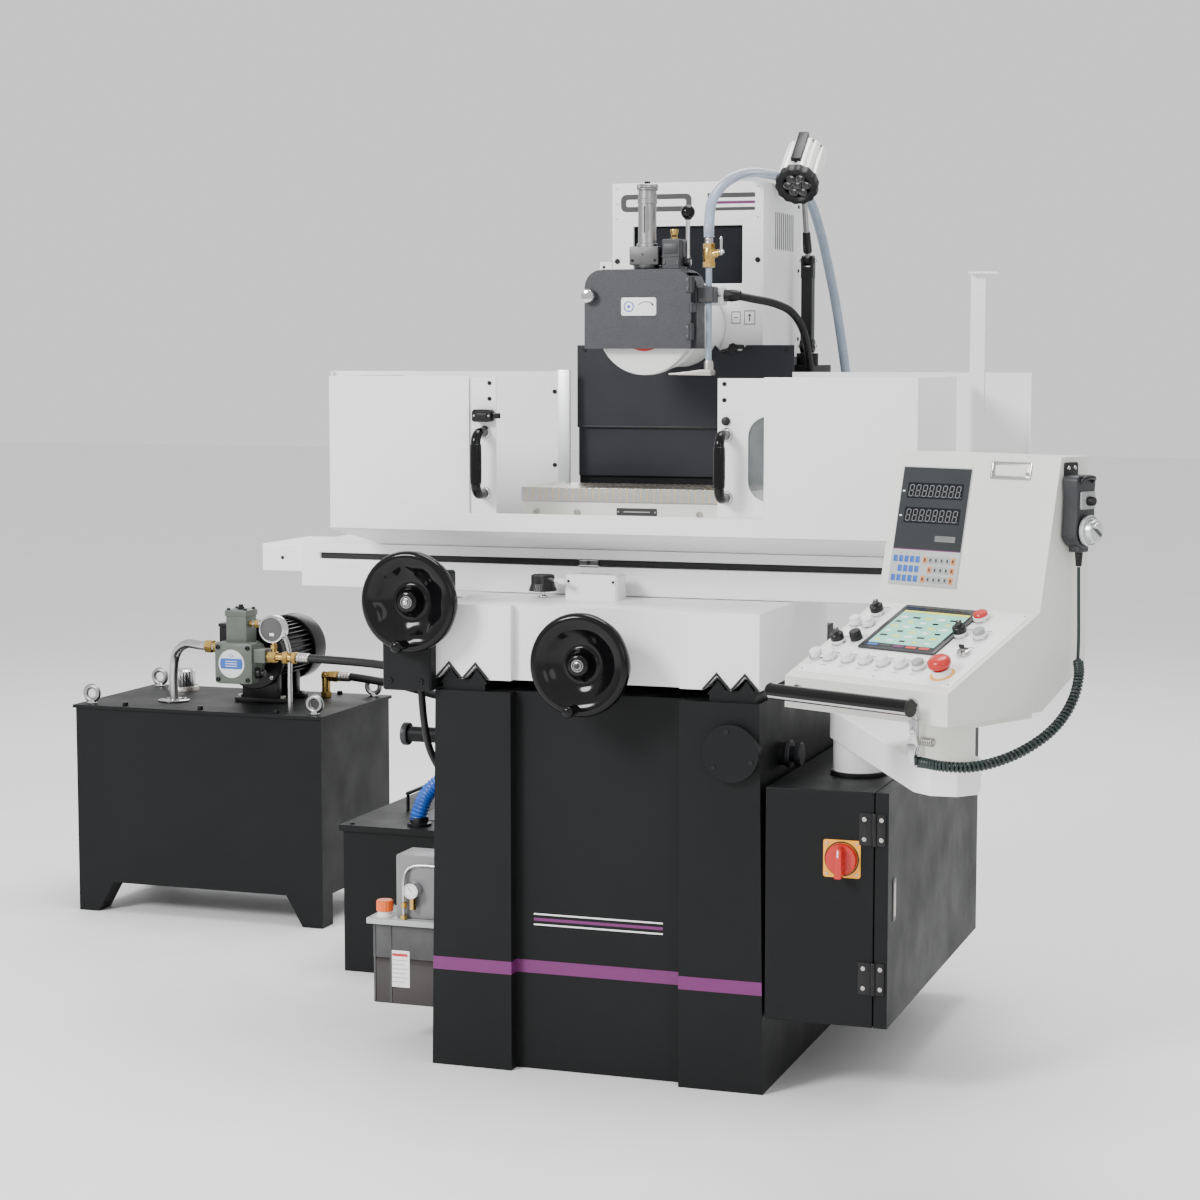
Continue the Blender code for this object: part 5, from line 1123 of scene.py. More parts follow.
def make_table():
    carry("table", "white_paint", 0.0028)
    carry("splash_tray", "white_paint", 0.0)
    kit = Kit("table_trim", "table")
    # Painted shade: this black strip inside the table's front slot stands in for the shadow down in the
    # slot.
    kit.add("black_rubber", box((-0.6975, -0.2932, 0.9884), (0.6975, -0.2902, 1.0006), 0.0))
    kit.add("dull_steel", box((-0.1185, -0.2998, 0.9795), (-0.0775, -0.29, 1.0105), 0.0012))
    kit.add("black_paint", screw_head((-0.098, -0.2998, 0.995), -Y, 0.0042, 0.002))
    for side in (-1, 1):
        for y in (-0.262, -0.088):
            kit.add("black_plastic", screw_head((side * 0.838, y, 0.987), (side, 0, 0), 0.0045, 0.0025))
        kit.add("black_plastic", screw_head((side * 0.79, -0.29, 0.987), -Y, 0.0036, 0.002))
    kit.done()


CHUCK_FRONT = -0.283
CHUCK_BACK = -0.083
CHUCK_TOP = 1.146
POLE_PITCH = 0.0145


def make_chuck():
    carry("chuck_body", "cream_paint", 0.0016)
    carry("chuck_plate", "ground_steel", 0.0006)
    kit = Kit("chuck_trim", "table")
    count = int(0.48 / POLE_PITCH)
    skin, wide = 0.00015, 0.0016
    for k in range(count + 1):
        x = (k - count / 2) * POLE_PITCH
        kit.add(
            "pole_brass",
            box((x - wide / 2, CHUCK_FRONT - skin, 1.1196),
                (x + wide / 2, CHUCK_FRONT + 0.001, CHUCK_TOP - 0.0004), 0),
            box((x - wide / 2, CHUCK_BACK - 0.001, 1.1196),
                (x + wide / 2, CHUCK_BACK + skin, CHUCK_TOP - 0.0004), 0),
            box((x - wide / 2, CHUCK_FRONT + 0.004, CHUCK_TOP - 0.001),
                (x + wide / 2, CHUCK_BACK - 0.004, CHUCK_TOP + skin), 0),
        )
    name = front(-0.002, -0.279, 1.099)
    kit.add("ink", plate(name, (-0.043, -0.0075), (0.043, 0.0075), 0.0015, 0, 0.0008))
    kit.add("zinc", plate(name, (-0.028, -0.001), (0.028, 0.001), 0.0005, 0.0008, 0.001))
    for sx in (-0.039, 0.039):
        kit.add("zinc", screw_head((-0.002 + sx, -0.2798, 1.099), -Y, 0.0018, 0.001))
    for x in (-0.218, -0.13, 0.13, 0.218):
        kit.add("zinc", screw_head((x, -0.279, 1.096), -Y, 0.0065, 0.0045))
    kit.add("black_plastic", lathe([(0, 0), (0.012, 0), (0.012, 0.006), (0.008, 0.008), (0.008, 0.022),
        (0, 0.023)], (0.25, -0.18, 1.07), X, 28))
    kit.done()


# ---------------------------------------------------------------- splash guard and doors

DOOR_FRONT = -0.4372
GUARD_FRONT = -0.442


def d_window(flat, round_side, low, high, radius):
    """The outline of a window with a flat side at x = flat and two rounded corners on the other."""
    sign = 1 if round_side > flat else -1
    x = round_side - sign * radius
    turn = (90, 0, 0, -90) if sign > 0 else (90, 180, 180, 270)
    corners = arc((x, high - radius), radius, turn[0], turn[1], 12)
    corners += arc((x, low + radius), radius, turn[2], turn[3], 12)
    return [(flat, high), *corners, (flat, low)]


def make_guard():
    for node in ("splash_guard", "rear_guard_left", "rear_guard_right"):
        carry(node, "white_paint", 0.0007)
    kit = Kit("rear_guard_trim", "saddle")
    kit.add("aluminium", box((-0.2625, -0.0292, 1.0312), (-0.2355, -0.0232, 1.3832), 0.0006))
    for z in (1.18, 1.337):
        kit.add("black_plastic", screw_head((-0.2705, -0.0251, z), -Y, 0.0046, 0.0032))
    for x in (-0.7, -0.5, 0.33, 0.56, 0.7):
        for z in (1.055, 1.355):
            kit.add("zinc", screw_head((x, -0.022, z), Y, 0.004, 0.0022))
    kit.done()

    kit = Kit("splash_guard_trim", "table")
    for x0, x1 in ((-0.603, -0.304), (0.311, 0.603)):
        kit.add("aluminium", box((x0, -0.4315, 1.066), (x1, -0.429, 1.076), 0.0004))
        kit.add("aluminium", box((x0, -0.4315, 1.362), (x1, -0.429, 1.372), 0.0004))
    for side in (-1, 1):
        for y in (-0.4, -0.12):
            kit.add("black_plastic", screw_head((side * 0.607, y, 1.078), (side, 0, 0), 0.0042, 0.0022))
    kit.done()


def make_door(side, name, edge, body):
    carry(name, "white_paint", 0.0006)
    kit = Kit(name + "_trim", body)
    pane = d_window(edge + side * 0.237, edge + side * 0.055, 1.128, 1.304, 0.046)
    kit.add("window", prism(pane, facing((0, 0, 0), X, Z), 0.4318, 0.4338))
    x = edge + side * 0.0135
    for z in (1.329, 1.36):
        kit.add("black_plastic", screw_head((x, DOOR_FRONT, z), -Y, 0.0042, 0.0026))
    if side > 0:
        profile = [(0, 0), (0.0085, 0), (0.0085, 0.0042), (0.007, 0.0053), (0, 0.0055)]
        kit.add("black_rubber", lathe(profile, (edge + 0.017, DOOR_FRONT, 1.2885), -Y, 28))
    kit.done()

    kit = Kit(name + "_handle", body)
    x = edge + side * (0.024 if side < 0 else 0.018)
    out = GUARD_FRONT - 0.045
    reach = 0.021
    top, bottom = 1.262, 1.14
    for z, sign in ((top, -1), (bottom, 1)):
        turns = [math.pi / 2 * i / 12 for i in range(13)]
        bend = [Vector((x, DOOR_FRONT - 0.0003, z)), Vector((x, DOOR_FRONT - 0.01, z))]
        bend += [Vector((x, out + reach - reach * math.sin(a),
            z + sign * (reach - reach * math.cos(a)))) for a in turns]
        bend.append(Vector((x, out, z + sign * (reach + 0.003))))
        kit.add("bakelite", tube(bend, 0.0098, 20))
        kit.add("chrome", lathe([(0, 0.0003), (0.0132, 0.0003), (0.0138, 0.0012), (0.013, 0.0045),
            (0.01, 0.0075), (0, 0.0075)], (x, DOOR_FRONT, z), -Y, 32))
    grip = [(0, 0), (0.0096, 0), (0.0112, 0.0012), (0.0118, 0.02), (0.0118, 0.06), (0.0112, 0.0788),
        (0.0096, 0.08), (0, 0.08)]
    kit.add("bakelite", lathe(grip, (x, out, bottom + reach), Z, 32))
    kit.done(replaces=[name + "_handle"])


def make_doors():
    make_door(-1, "left_door", -0.245, "left_guard_door")
    make_door(1, "right_door", 0.214, "right_guard_door")
    kit = Kit("door_latch", "latch")
    back = DOOR_FRONT - 0.0003
    case = [*arc((-0.254, 1.302), 0.006, 0, 90, 6), (-0.283, 1.308),
        *arc((-0.282, 1.302), 0.006, 90, 180, 6), *arc((-0.282, 1.289), 0.006, 180, 270, 6),
        *arc((-0.254, 1.289), 0.006, 270, 360, 6)]
    kit.add("black_plastic", prism(case, front(0, back, 0), 0, 0.0215, 0.0016, 3))
    kit.add("black_plastic", plate(front(-0.268, back - 0.0215, 1.2955), (-0.01, -0.0045), (0.012, 0.0045),
        0.002, 0, 0.0016, 0.0005))
    kit.add("black_paint", box((-0.25, back - 0.016, 1.29), (-0.2325, back - 0.006, 1.301), 0.0012))
    for dx in (-0.2835, -0.2525):
        kit.add("zinc", screw_head((dx, back - 0.0215, 1.2955), -Y, 0.002, 0.001))
    kit.done(replaces=["door_latch"])


# ---------------------------------------------------------------- wheel head

WHEEL_Z = 1.475
GUARD_FACE = -0.262
HEAD_FRONT = 0.055


def make_head():
    carry("wheel_head", "white_paint", 0.002)
    carry("head_cover", "white_paint", 0.003)
    for node in ("way_cover_upper", "way_cover_middle"):
        carry(node, "cover_grey", 0.0005)
    kit = Kit("head_trim", "head")
    face = front(0, HEAD_FRONT, 0)
    kit.add("window_black", plate(front(0, 0.0678, 0), (-0.121, 1.565), (0.123, 1.689), 0.002, 0, 0.0006))
    kit.add("label_white", plate(face, (-0.162, 1.6985), (0.162, 1.7745), 0.006, 0, 0.001))
    kit.add("ink", plate(face, (-0.148, 1.719), (0.01, 1.756), 0.012, 0.001, 0.0013))
    kit.add("label_white", plate(face, (-0.136, 1.73), (-0.002, 1.745), 0.005, 0.0013, 0.0015))
    kit.add("ink", plate(face, (0.045, 1.746), (0.15, 1.756), 0.003, 0.001, 0.0013))
    kit.add("magenta_paint", plate(face, (0.045, 1.733), (0.15, 1.739), 0.001, 0.001, 0.0013))
    kit.add("ink", plate(face, (0.045, 1.719), (0.15, 1.726), 0.003, 0.001, 0.0013))
    for x in (-0.156, 0.156):
        for z in (1.7045, 1.7365, 1.7685):
            kit.add("zinc", screw_head((x, HEAD_FRONT - 0.001, z), -Y, 0.0018, 0.0012))
        kit.add("black_plastic", screw_head((x, HEAD_FRONT, 1.615), -Y, 0.0056, 0.003))
    for x, half in ((0.109, 0.0105), (0.139, 0.0125)):
        sticker = front(x, HEAD_FRONT, 1.494)
        kit.add("grey_plastic", plate(sticker, (-half, -half - 0.003), (half, half + 0.003), 0.001, 0,
            0.0004))
        kit.add("label_white", plate(sticker, (-half + 0.0025, -half), (half - 0.0025, half), 0.001,
            0.0004, 0.0006))
    kit.add("ink", plate(front(0.109, HEAD_FRONT, 1.494), (-0.004, -0.001), (0.004, 0.001), 0.0005, 0.0006,
        0.0008))
    arrow = [(-0.0012, -0.008), (0.0012, -0.008), (0.0012, 0.003), (0.0038, 0.003), (0, 0.009),
        (-0.0038, 0.003), (-0.0012, 0.003)]
    kit.add("ink", prism(arrow, front(0.139, HEAD_FRONT, 1.494), 0.0006, 0.0008))
    for z in (1.4515, 1.603):
        kit.add("black_plastic", screw_head((-0.187, 0.056, z), -Y, 0.0032, 0.0018))
    for z in (1.45, 1.6, 1.74):
        for side in (-1, 1):
            kit.add("black_plastic", screw_head((side * 0.168, 0.345, z), (side, 0, 0), 0.0042, 0.0022))
    for k in range(10):
        y = 0.15 + k * 0.016
        kit.add("ink", plate(facing((0.168, 0, 0), Y, Z), (y, 1.64), (y + 0.006, 1.72), 0.003, 0, 0.0004))
        kit.add("ink", plate(facing((-0.168, 0, 0), -Y, Z), (-y - 0.006, 1.64), (-y, 1.72), 0.003, 0,
            0.0004))
    spindle = (0, -0.15, WHEEL_Z)
    kit.add("white_paint", lathe([(0.0855, 0), (0.0905, 0.001), (0.0915, 0.003), (0.0915, 0.012),
        (0.0905, 0.014), (0.0855, 0.015)], spindle, Y, 72))
    for dx, dz in around(6, 0.07, 30):
        kit.add("black_paint", screw_head((dx, -0.1875, WHEEL_Z + dz), -Y, 0.0045, 0.0004))
    kit.add("graphite", hexagon((0.138, -0.13, 1.536), X, 0.024, 0.012))
    kit.add("black_plastic", lathe([(0.0088, 0), (0.0125, 0), (0.0128, 0.002), (0.0108, 0.016),
        (0.0095, 0.022), (0.0088, 0.022)], (0.15, -0.13, 1.536), X, 28))
    for y in (-0.142, -0.118):
        kit.add("black_paint", screw_head((0.075, y, 1.556), Z, 0.004, 0.0035))
    kit.add(
        "black_plastic",
        lobed([(0, 0, 0), (0.009, 0, 0), (0.0098, 0.002, 0.0008), (0.0098, 0.012, 0.0008), (0, 0.013, 0)],
              8, (0.122, -0.004, 1.43), -Y, 96),
        rod((0.115, -0.01, 1.427), (0.096, -0.014, 1.422), 0.0042, edge=0.0006),
        rod((0.129, -0.01, 1.433), (0.145, -0.014, 1.432), 0.0048, edge=0.0006),
    )
    kit.done()

    kit = Kit("way_cover_trim", "head")
    for x in (-0.215, 0.231):
        kit.add("black_plastic", screw_head((x, 0.01, 1.426), -Y, 0.004, 0.0024))
    kit.add("black_rubber", box((-0.2318, 0.0094, 1.26), (0.2478, 0.014, 1.264), 0.0008))
    kit.done()


def make_wheel_guard():
    carry("wheel_guard", "hammertone", 0.0022)
    carry("wheel_guard_cover", "hammertone", 0.0026)
    kit = Kit("wheel_guard_cover_trim", "guard_cover")
    knob = [(0, -0.002), (0.0075, -0.002), (0.0075, 0.003), (0.0125, 0.0045), (0.015, 0.008),
        (0.0152, 0.011), (0.014, 0.015), (0.0125, 0.0176), (0.01, 0.0186), (0, 0.0188)]
    kit.add("chrome", lathe(knob, (-0.108, GUARD_FACE, 1.534), -Y, 44))
    label = front(-0.004, GUARD_FACE, 1.5125)
    kit.add("label_white", plate(label, (-0.037, -0.018), (0.037, 0.018), 0.004, 0, 0.001, 0.0003))
    mark = (-0.025, GUARD_FACE - 0.001, 1.5125)
    kit.add("label_blue", lathe(washer(0.0088, 0.0108, 0, 0.0003), mark, -Y, 40))
    kit.add("label_blue", lathe(disc(0.003, 0, 0.0003), mark, -Y, 24))
    outer, inner = arc((0.016, -0.016), 0.0262, 130, 55, 12), arc((0.016, -0.016), 0.0246, 55, 130, 12)
    kit.add("ink", prism([*outer, *inner], label, 0.001, 0.0013))
    kit.add("ink", prism([(0.0335, 0.002), (0.0278, 0.0082), (0.0272, 0.002)], label, 0.001, 0.0013))
    for sx in (-0.0335, 0.0335):
        for sz in (-0.0145, 0.0145):
            kit.add("zinc", screw_head((-0.004 + sx, GUARD_FACE - 0.001, 1.5125 + sz), -Y, 0.0011, 0.0006))
    for z in (1.462, 1.556):
        kit.add("graphite", rod((0.1085, -0.2665, z - 0.0165), (0.1085, -0.2665, z + 0.0165), 0.0053,
            edge=0.0006))
        for dz in (-0.009, 0.009):
            kit.add("dull_steel", screw_head((0.1, -0.267, z + dz), -Y, 0.0026, 0.001))
    kit.done()

    kit = Kit("wheel_guard_trim", "head")
    cup = [(0, 0), (0.0072, 0), (0.0072, 0.004), (0.0055, 0.005), (0.0062, 0.006), (0.0085, 0.018),
        (0.0078, 0.02), (0, 0.0205)]
    kit.add("brass", lathe(cup, (0.056, -0.215, 1.648), Z, 32))
    kit.add("graphite", box((0.035, -0.2415, 1.612), (0.077, -0.1885, 1.6135), 0.0004))
    for x in (0.042, 0.07):
        kit.add("dull_steel", screw_head((x, -0.24, 1.6), -Y, 0.003, 0.002))
    kit.add("graphite", plate(front(0.056, -0.24, 1.628), (-0.014, -0.01), (0.014, 0.01), 0.002, 0, 0.0012,
        0.0003))
    for y in (-0.234, -0.196):
        kit.add("dull_steel", screw_head((0.125 if y < -0.2 else 0.09, y, 1.552 if y < -0.2 else 1.58), Z,
            0.0034, 0.0024))
    kit.add("chrome", hexagon((0.145, -0.212, 1.536), X, 0.01, 0.008))
    kit.add("graphite", box((-0.1235, -0.2455, 1.436), (-0.1215, -0.23, 1.456), 0.0005))
    kit.done()


def make_wheel():
    near, far, r = 0.238, 0.213, 0.1
    kit = Kit("grinding_wheel", "wheel")
    centre = (0, 0, WHEEL_Z)
    profile = [(r - 0.0012, near), (r, near - 0.0012), (r, far + 0.0012), (r - 0.0012, far), (0.0165, far),
        (0.0165, near)]
    kit.add("corundum", lathe(profile, centre, -Y, 128))
    kit.add("label_red", lathe(washer(0.0166, 0.052, near, near + 0.0003), centre, -Y, 72))
    kit.done(replaces=["grinding_wheel"])
    kit = Kit("wheel_spindle", "wheel")
    flange = [(0.0158, 0.2384), (0.036, 0.2384), (0.0362, 0.2392), (0.0345, 0.2438), (0.033, 0.2445),
        (0.0158, 0.2445)]
    kit.add("turned_steel", lathe(flange, centre, -Y, 64))
    shaft = [(0, 0.2445), (0.012, 0.2445), (0.015, 0.244), (0.0155, 0.243), (0.0155, 0.2127),
        (0.042, 0.2127), (0.0422, 0.2115), (0.0415, 0.205), (0.04, 0.2043), (0.02, 0.204), (0.02, 0.112),
        (0, 0.11)]
    kit.add("turned_steel", lathe(shaft, centre, -Y, 64))
    for dx, dz in around(4, 0.026, 45):
        kit.add("ink", rod((dx, -0.2443, WHEEL_Z + dz), (dx, -0.2448, WHEEL_Z + dz), 0.0026))
    kit.add("ink", rod((0, -0.2443, WHEEL_Z), (0, -0.2449, WHEEL_Z), 0.0052, steps=6))
    kit.done(replaces=["wheel_spindle"])


DRESSER_X = 0.002
DRESSER_Y = -0.2255


def make_dresser():
    kit = Kit("dresser_carriage", "dresser")
    x, y = DRESSER_X, DRESSER_Y
    kit.add("dull_steel", box((x - 0.031, y - 0.024, 1.596), (x + 0.031, y + 0.024, 1.6335), 0.0035))
    kit.add("dull_steel", lathe([(0, 0), (0.0235, 0), (0.024, 0.001), (0.024, 0.008), (0, 0.008)],
        (x, y, 1.5886), Z, 48))
    kit.add("ink", rod((x - 0.002, y - 0.0236, 1.617), (x - 0.002, y - 0.0244, 1.617), 0.0026))
    for sx in (-0.024, 0.024):
        kit.add("black_paint", screw_head((x + sx, y - 0.024, 1.605), -Y, 0.0028, 0.0016))
    kit.add("satin_grey", lathe([(0, 1.63), (0.0215, 1.63), (0.0215, 1.639), (0.0185, 1.6405),
        (0.0185, 1.718), (0.0197, 1.719), (0.0197, 1.7285), (0.0185, 1.7295), (0.0185, 1.7449),
        (0, 1.7449)], (x, y, 0), Z, 64))
    kit.add("ink", plate(front(x, y - 0.0186, 0), (-0.0014, 1.66), (0.0014, 1.714), 0.0013, -0.004, 0.0003))
    for k in range(20):
        tall = 0.006 if k % 5 == 0 else 0.0036
        spot = front(x + 0.0065, y - 0.017, 1.664 + k * 0.0024)
        kit.add("ink", plate(spot, (0, -0.0002), (tall, 0.0002), 0.0001, 0, 0.0012))
    kit.add("dull_steel", rod((0.0, y, 1.5775), (0.0, y, 1.599), 0.0048, edge=0.0006))
    kit.add("zinc", lathe([(0, 0), (0.0012, 0.0022), (0.003, 0.003), (0.003, 0.006), (0, 0.006)],
        (0.0, y, 1.5772), Z, 20))
    kit.done(replaces=["dresser_carriage"])
    kit = Kit("dresser_dial", "dresser_top_dial")
    at = (x, y, 1.745)
    kit.add("satin_grey", lathe([(0, 0.0004), (0.019, 0.0004), (0.0212, 0.002), (0.0212, 0.0046),
        (0.02, 0.0052), (0, 0.0052)], at, Z, 64))
    kit.add("satin_grey", lobed([(0, 0.005, 0), (0.02, 0.005, 0), (0.0212, 0.006, 0.0003),
        (0.0212, 0.0118, 0.0003), (0.02, 0.013, 0), (0, 0.013, 0)], 60, at, Z, 240))
    kit.add("black_paint", lathe([(0, 0.0128), (0.0058, 0.0128), (0.006, 0.018), (0.005, 0.019),
        (0, 0.019)], at, Z, 28))
    for k in range(24):
        a = 2 * math.pi * k / 24
        mark = Matrix.Translation(at) @ Matrix.Rotation(a, 4, "Z") @ facing((0.02125, 0, 0.0034), Y, Z)
        kit.add("ink", plate(mark, (-0.0002, -0.0011), (0.0002, 0.0009), 0.0001, -0.0005, 0.0001))
    kit.done(replaces=["dresser_dial"])

    kit = Kit("dresser_lever", "dresser_hand_lever")
    x, y, z = 0.083, -0.21, 1.602
    kit.add("graphite", rod((0.0765, y, z), (0.0893, y, z), 0.0092, edge=0.001, steps=36))
    kit.add("chrome", screw_head((0.0893, y, z), X, 0.005, 0.0016))
    kit.add("chrome", lathe([(0, 0), (0.005, 0), (0.005, 0.012), (0.0042, 0.016), (0.004, 0.08),
        (0.0034, 0.086), (0, 0.086)], (x, y, z), Z, 28))
    count = 14
    ball = [(0.0145 * math.sin(math.pi * i / count),
        -0.0145 * math.cos(math.pi * i / count)) for i in range(1, count)]
    ball = [(0, -0.0145), *ball, (0, 0.0145)]
    kit.add("bakelite", lathe(ball, (x, y, 1.702), Z, 36))
    kit.add("bakelite", lathe([(0, 0), (0.0068, 0), (0.008, 0.004), (0, 0.006)], (x, y, 1.6868), Z, 28))
    kit.done(replaces=["dresser_lever"])


def make_valve():
    kit = Kit("coolant_valve", "head")
    x, y = 0.132, -0.225
    kit.add("clear_hose", rod((x, y, 1.4), (x, y, 1.594), 0.0064, edge=0.0008, steps=28))
    kit.add("label_blue", rod((x, y, 1.401), (x, y, 1.593), 0.0018, steps=10))
    kit.add(
        "brass",
        hexagon((x, y, 1.5905), Z, 0.0225, 0.011),
        lathe([(0, 0), (0.0108, 0), (0.0112, 0.002), (0.0122, 0.01), (0.0122, 0.022), (0.0108, 0.028),
               (0, 0.028)], (x, y, 1.601), Z, 40),
        hexagon((x, y, 1.627), Z, 0.0215, 0.011),
    )
    kit.add("zinc", lathe([(0, 0), (0.0084, 0), (0.0084, 0.0035), (0.0078, 0.0045), (0.0084, 0.006),
        (0.0084, 0.0095), (0.0076, 0.0118), (0, 0.0118)], (x, y, 1.638), Z, 32))
    out = Vector((0.9648, 0, 0.2631))
    kit.add("brass", lathe([(0, 0), (0.008, 0), (0.008, 0.014), (0.0066, 0.015), (0.0066, 0.0205),
        (0, 0.0205)], (x + 0.002, y, 1.6148), out, 28))
    kit.add("brass", hexagon((x + 0.0135, y, 1.6182), out, 0.0125, 0.005))
    kit.add("zinc", lathe([(0, 0), (0.0096, 0), (0.0092, 0.016), (0.008, 0.02), (0, 0.02)], (x, y, 1.384),
        Z, 32))
    for k in range(10):
        a = 2 * math.pi * k / 10
        braid = [Vector((x + 0.0092 * math.cos(a + t * 2.2), y + 0.0092 * math.sin(a + t * 2.2),
            1.386 + 0.014 * t)) for t in np.linspace(0, 1, 8)]
        kit.add("zinc", tube(braid, 0.0007, 6))
    lip = [(0.053, 1.3752), (0.1415, 1.3742), *arc((0.137, 1.381), 0.005, -30, 90, 6), (0.118, 1.386),
        (0.09, 1.3822), (0.053, 1.3785)]
    kit.add("zinc", prism(lip, facing((0, 0, 0), X, Z), 0.2075, 0.2425, 0.0012, 3))
    kit.add("ink", box((0.0526, -0.24, 1.3762), (0.0534, -0.21, 1.3776), 0))
    kit.done(replaces=["coolant_valve"])

    kit = Kit("valve_lever", "coolant_lever")
    stem = Vector((x + 0.0225, y, 1.6205))
    kit.add("chrome", rod(stem, stem + out * 0.0085, 0.0046, edge=0.0006, steps=28))
    kit.add("chrome", hexagon(stem + out * 0.005, out, 0.0085, 0.0035))
    blade = facing((x + 0.0242, y, 1.621), Y, Z)
    outline = [*arc((0, 0), 0.0068, 200, 340, 8), (0.0045, 0.01), (0.0058, 0.026),
        *arc((0, 0.026), 0.0058, 0, 180, 9), (-0.0045, 0.01)]
    kit.add("chrome", prism(outline, blade, 0.0, 0.0024, 0.0007))
    kit.done(replaces=["valve_lever"])


# ---------------------------------------------------------------- lamp

LAMP_BASE = Vector((0.205, 0.29, 1.435))
LAMP_ELBOW = Vector((0.205, 0.29, 1.62))
LAMP_MIDDLE = Vector((0.2195, 0.175, 1.811))
LAMP_AXIS = Vector((0, -0.755, -0.655)).normalized()


def make_lamp():
    x, y, z = LAMP_BASE
    top = LAMP_ELBOW.z
    kit = Kit("lamp_arm", "lamp_lower_arm")
    kit.add("black_plastic", rod((x - 0.015, y, z), (x + 0.015, y, z), 0.0155, edge=0.0012, steps=36))
    kit.add("black_plastic", box((x - 0.0125, y - 0.0145, z), (x + 0.0125, y + 0.0145, top - 0.0135),
        0.003))
    for s in (-0.0105, 0.0105):
        ear = [*arc((y, top), 0.012, 0, 180, 10), (y - 0.012, top - 0.038), (y + 0.012, top - 0.038)]
        kit.add("black_plastic", prism(ear, facing((x + s, 0, 0), Y, Z), -0.003, 0.003, 0.0006))
    for at in (z, top):
        for side in (-1, 1):
            start = (x + side * (0.015 if at == z else 0.0135), y, at)
            kit.add("chrome", hexagon(start, (side, 0, 0), 0.01, 0.004))
            kit.add("chrome", rod(start, (start[0] + side * 0.0065, y, at), 0.0026, edge=0.0005))
    kit.done(replaces=["lamp_arm"])

    kit = Kit("lamp_head", "lamp")
    kit.add("black_plastic", rod((x - 0.0068, y, top), (x + 0.0068, y, top), 0.011, edge=0.001, steps=32))
    along = (LAMP_MIDDLE - LAMP_ELBOW).normalized()
    reach = (LAMP_MIDDLE - LAMP_ELBOW).length
    kit.add("satin_grey", rod(LAMP_ELBOW, LAMP_MIDDLE, 0.0062))
    socket = [(0, 0.1 * reach), (0.0098, 0.1 * reach), (0.01, 0.12 * reach), (0.0086, 0.3 * reach),
        (0.007, 0.32 * reach), (0, 0.32 * reach)]
    kit.add("black_plastic", lathe(socket, LAMP_ELBOW, along, 32))
    half = 0.06
    steps, flutes = 144, 12
    work = bmesh.new()
    rows = []
    for h, r, depth in ((-0.055, 0.0395, 0.0015), (-0.053, 0.0435, 0.005), (half - 0.018, 0.0448, 0.005),
                        (half - 0.0165, 0.04, 0.0)):
        row = []
        for i in range(steps):
            a = 2 * math.pi * i / steps
            groove = max(0.0, math.cos(flutes * a)) ** 3
            row.append(work.verts.new(((r - depth * groove) * math.cos(a),
                (r - depth * groove) * math.sin(a), h)))
        rows.append(row)
    skinned(work, rows, caps=True)
    kit.add("lamp_shell", placed(work, axis_matrix(LAMP_MIDDLE, LAMP_AXIS)))
    kit.add("graphite", lathe([(0, -0.06), (0.036, -0.06), (0.0385, -0.0585), (0.0405, -0.052),
        (0.0405, -0.05), (0, -0.05)], LAMP_MIDDLE, LAMP_AXIS, 64))
    bezel = [(0.033, 0.0635, 0), (0.035, 0.0658, 0), (0.04, 0.066, 0), (0.0448, 0.064, 0.0012),
        (0.0458, 0.06, 0.0012), (0.0458, 0.048, 0.0012), (0.0445, 0.044, 0.001), (0.04, 0.0425, 0),
        (0.03, 0.0425, 0), (0.03, 0.06, 0)]
    kit.add("black_rubber", lobed(bezel, 14, LAMP_MIDDLE, LAMP_AXIS, 168))
    kit.add("graphite", lathe([(0, 0.044), (0.0305, 0.044), (0.0305, 0.046), (0, 0.0456)], LAMP_MIDDLE,
        LAMP_AXIS, 48))
    for dx, dy in [*around(6, 0.02), (0, 0)]:
        spot = axis_matrix(LAMP_MIDDLE, LAMP_AXIS) @ Matrix.Translation((dx, dy, 0.0458))
        cup = [(0, 0), (0.005, 0.0), (0.0094, 0.013), (0.0086, 0.013), (0.0045, 0.0012), (0, 0.0012)]
        kit.add("satin_grey", lathe(cup, (0, 0, 0), Z, 28, spot))
        kit.add("white_plastic", lathe([(0, 0.0012), (0.004, 0.0012), (0.0034, 0.0038), (0, 0.005)],
            (0, 0, 0), Z, 20, spot))
    up = Vector((0, LAMP_AXIS.z, -LAMP_AXIS.y)).normalized()
    lug_at = LAMP_MIDDLE + up * 0.046 - LAMP_AXIS * 0.012
    turn = Matrix.Translation(lug_at) @ LAMP_AXIS.to_track_quat("Z", "Y").to_matrix().to_4x4()
    kit.add("black_plastic", box((-0.011, -0.007, -0.05), (0.011, 0.0062, 0.0445), 0.0026, turn))
    kit.done(replaces=["lamp_head"])


# ---------------------------------------------------------------- pendant

PANEL_WIDTH = 0.346
SLOPE = math.atan2(0.986 - 0.872, 0.25)
CONSOLE = PENDANT @ facing((0, 0, 0.872), X, (0, math.cos(SLOPE), math.sin(SLOPE)))
FACE = PENDANT @ facing((0, 0.25, 0.986), X, (0, 0.055, 0.259))
STOP_BUTTON = (0.297, 0.055, 0)
KEY_SWITCH = (0.294, 0.122, 0)
START_BUTTON = (0.021, 0.066, 0)
SMALL_KNOB = (0.058, 0.134, 0)
BUTTON_ROW = 0.066
BUTTON_COLUMNS = (0.05, 0.09, 0.128, 0.166, 0.204)


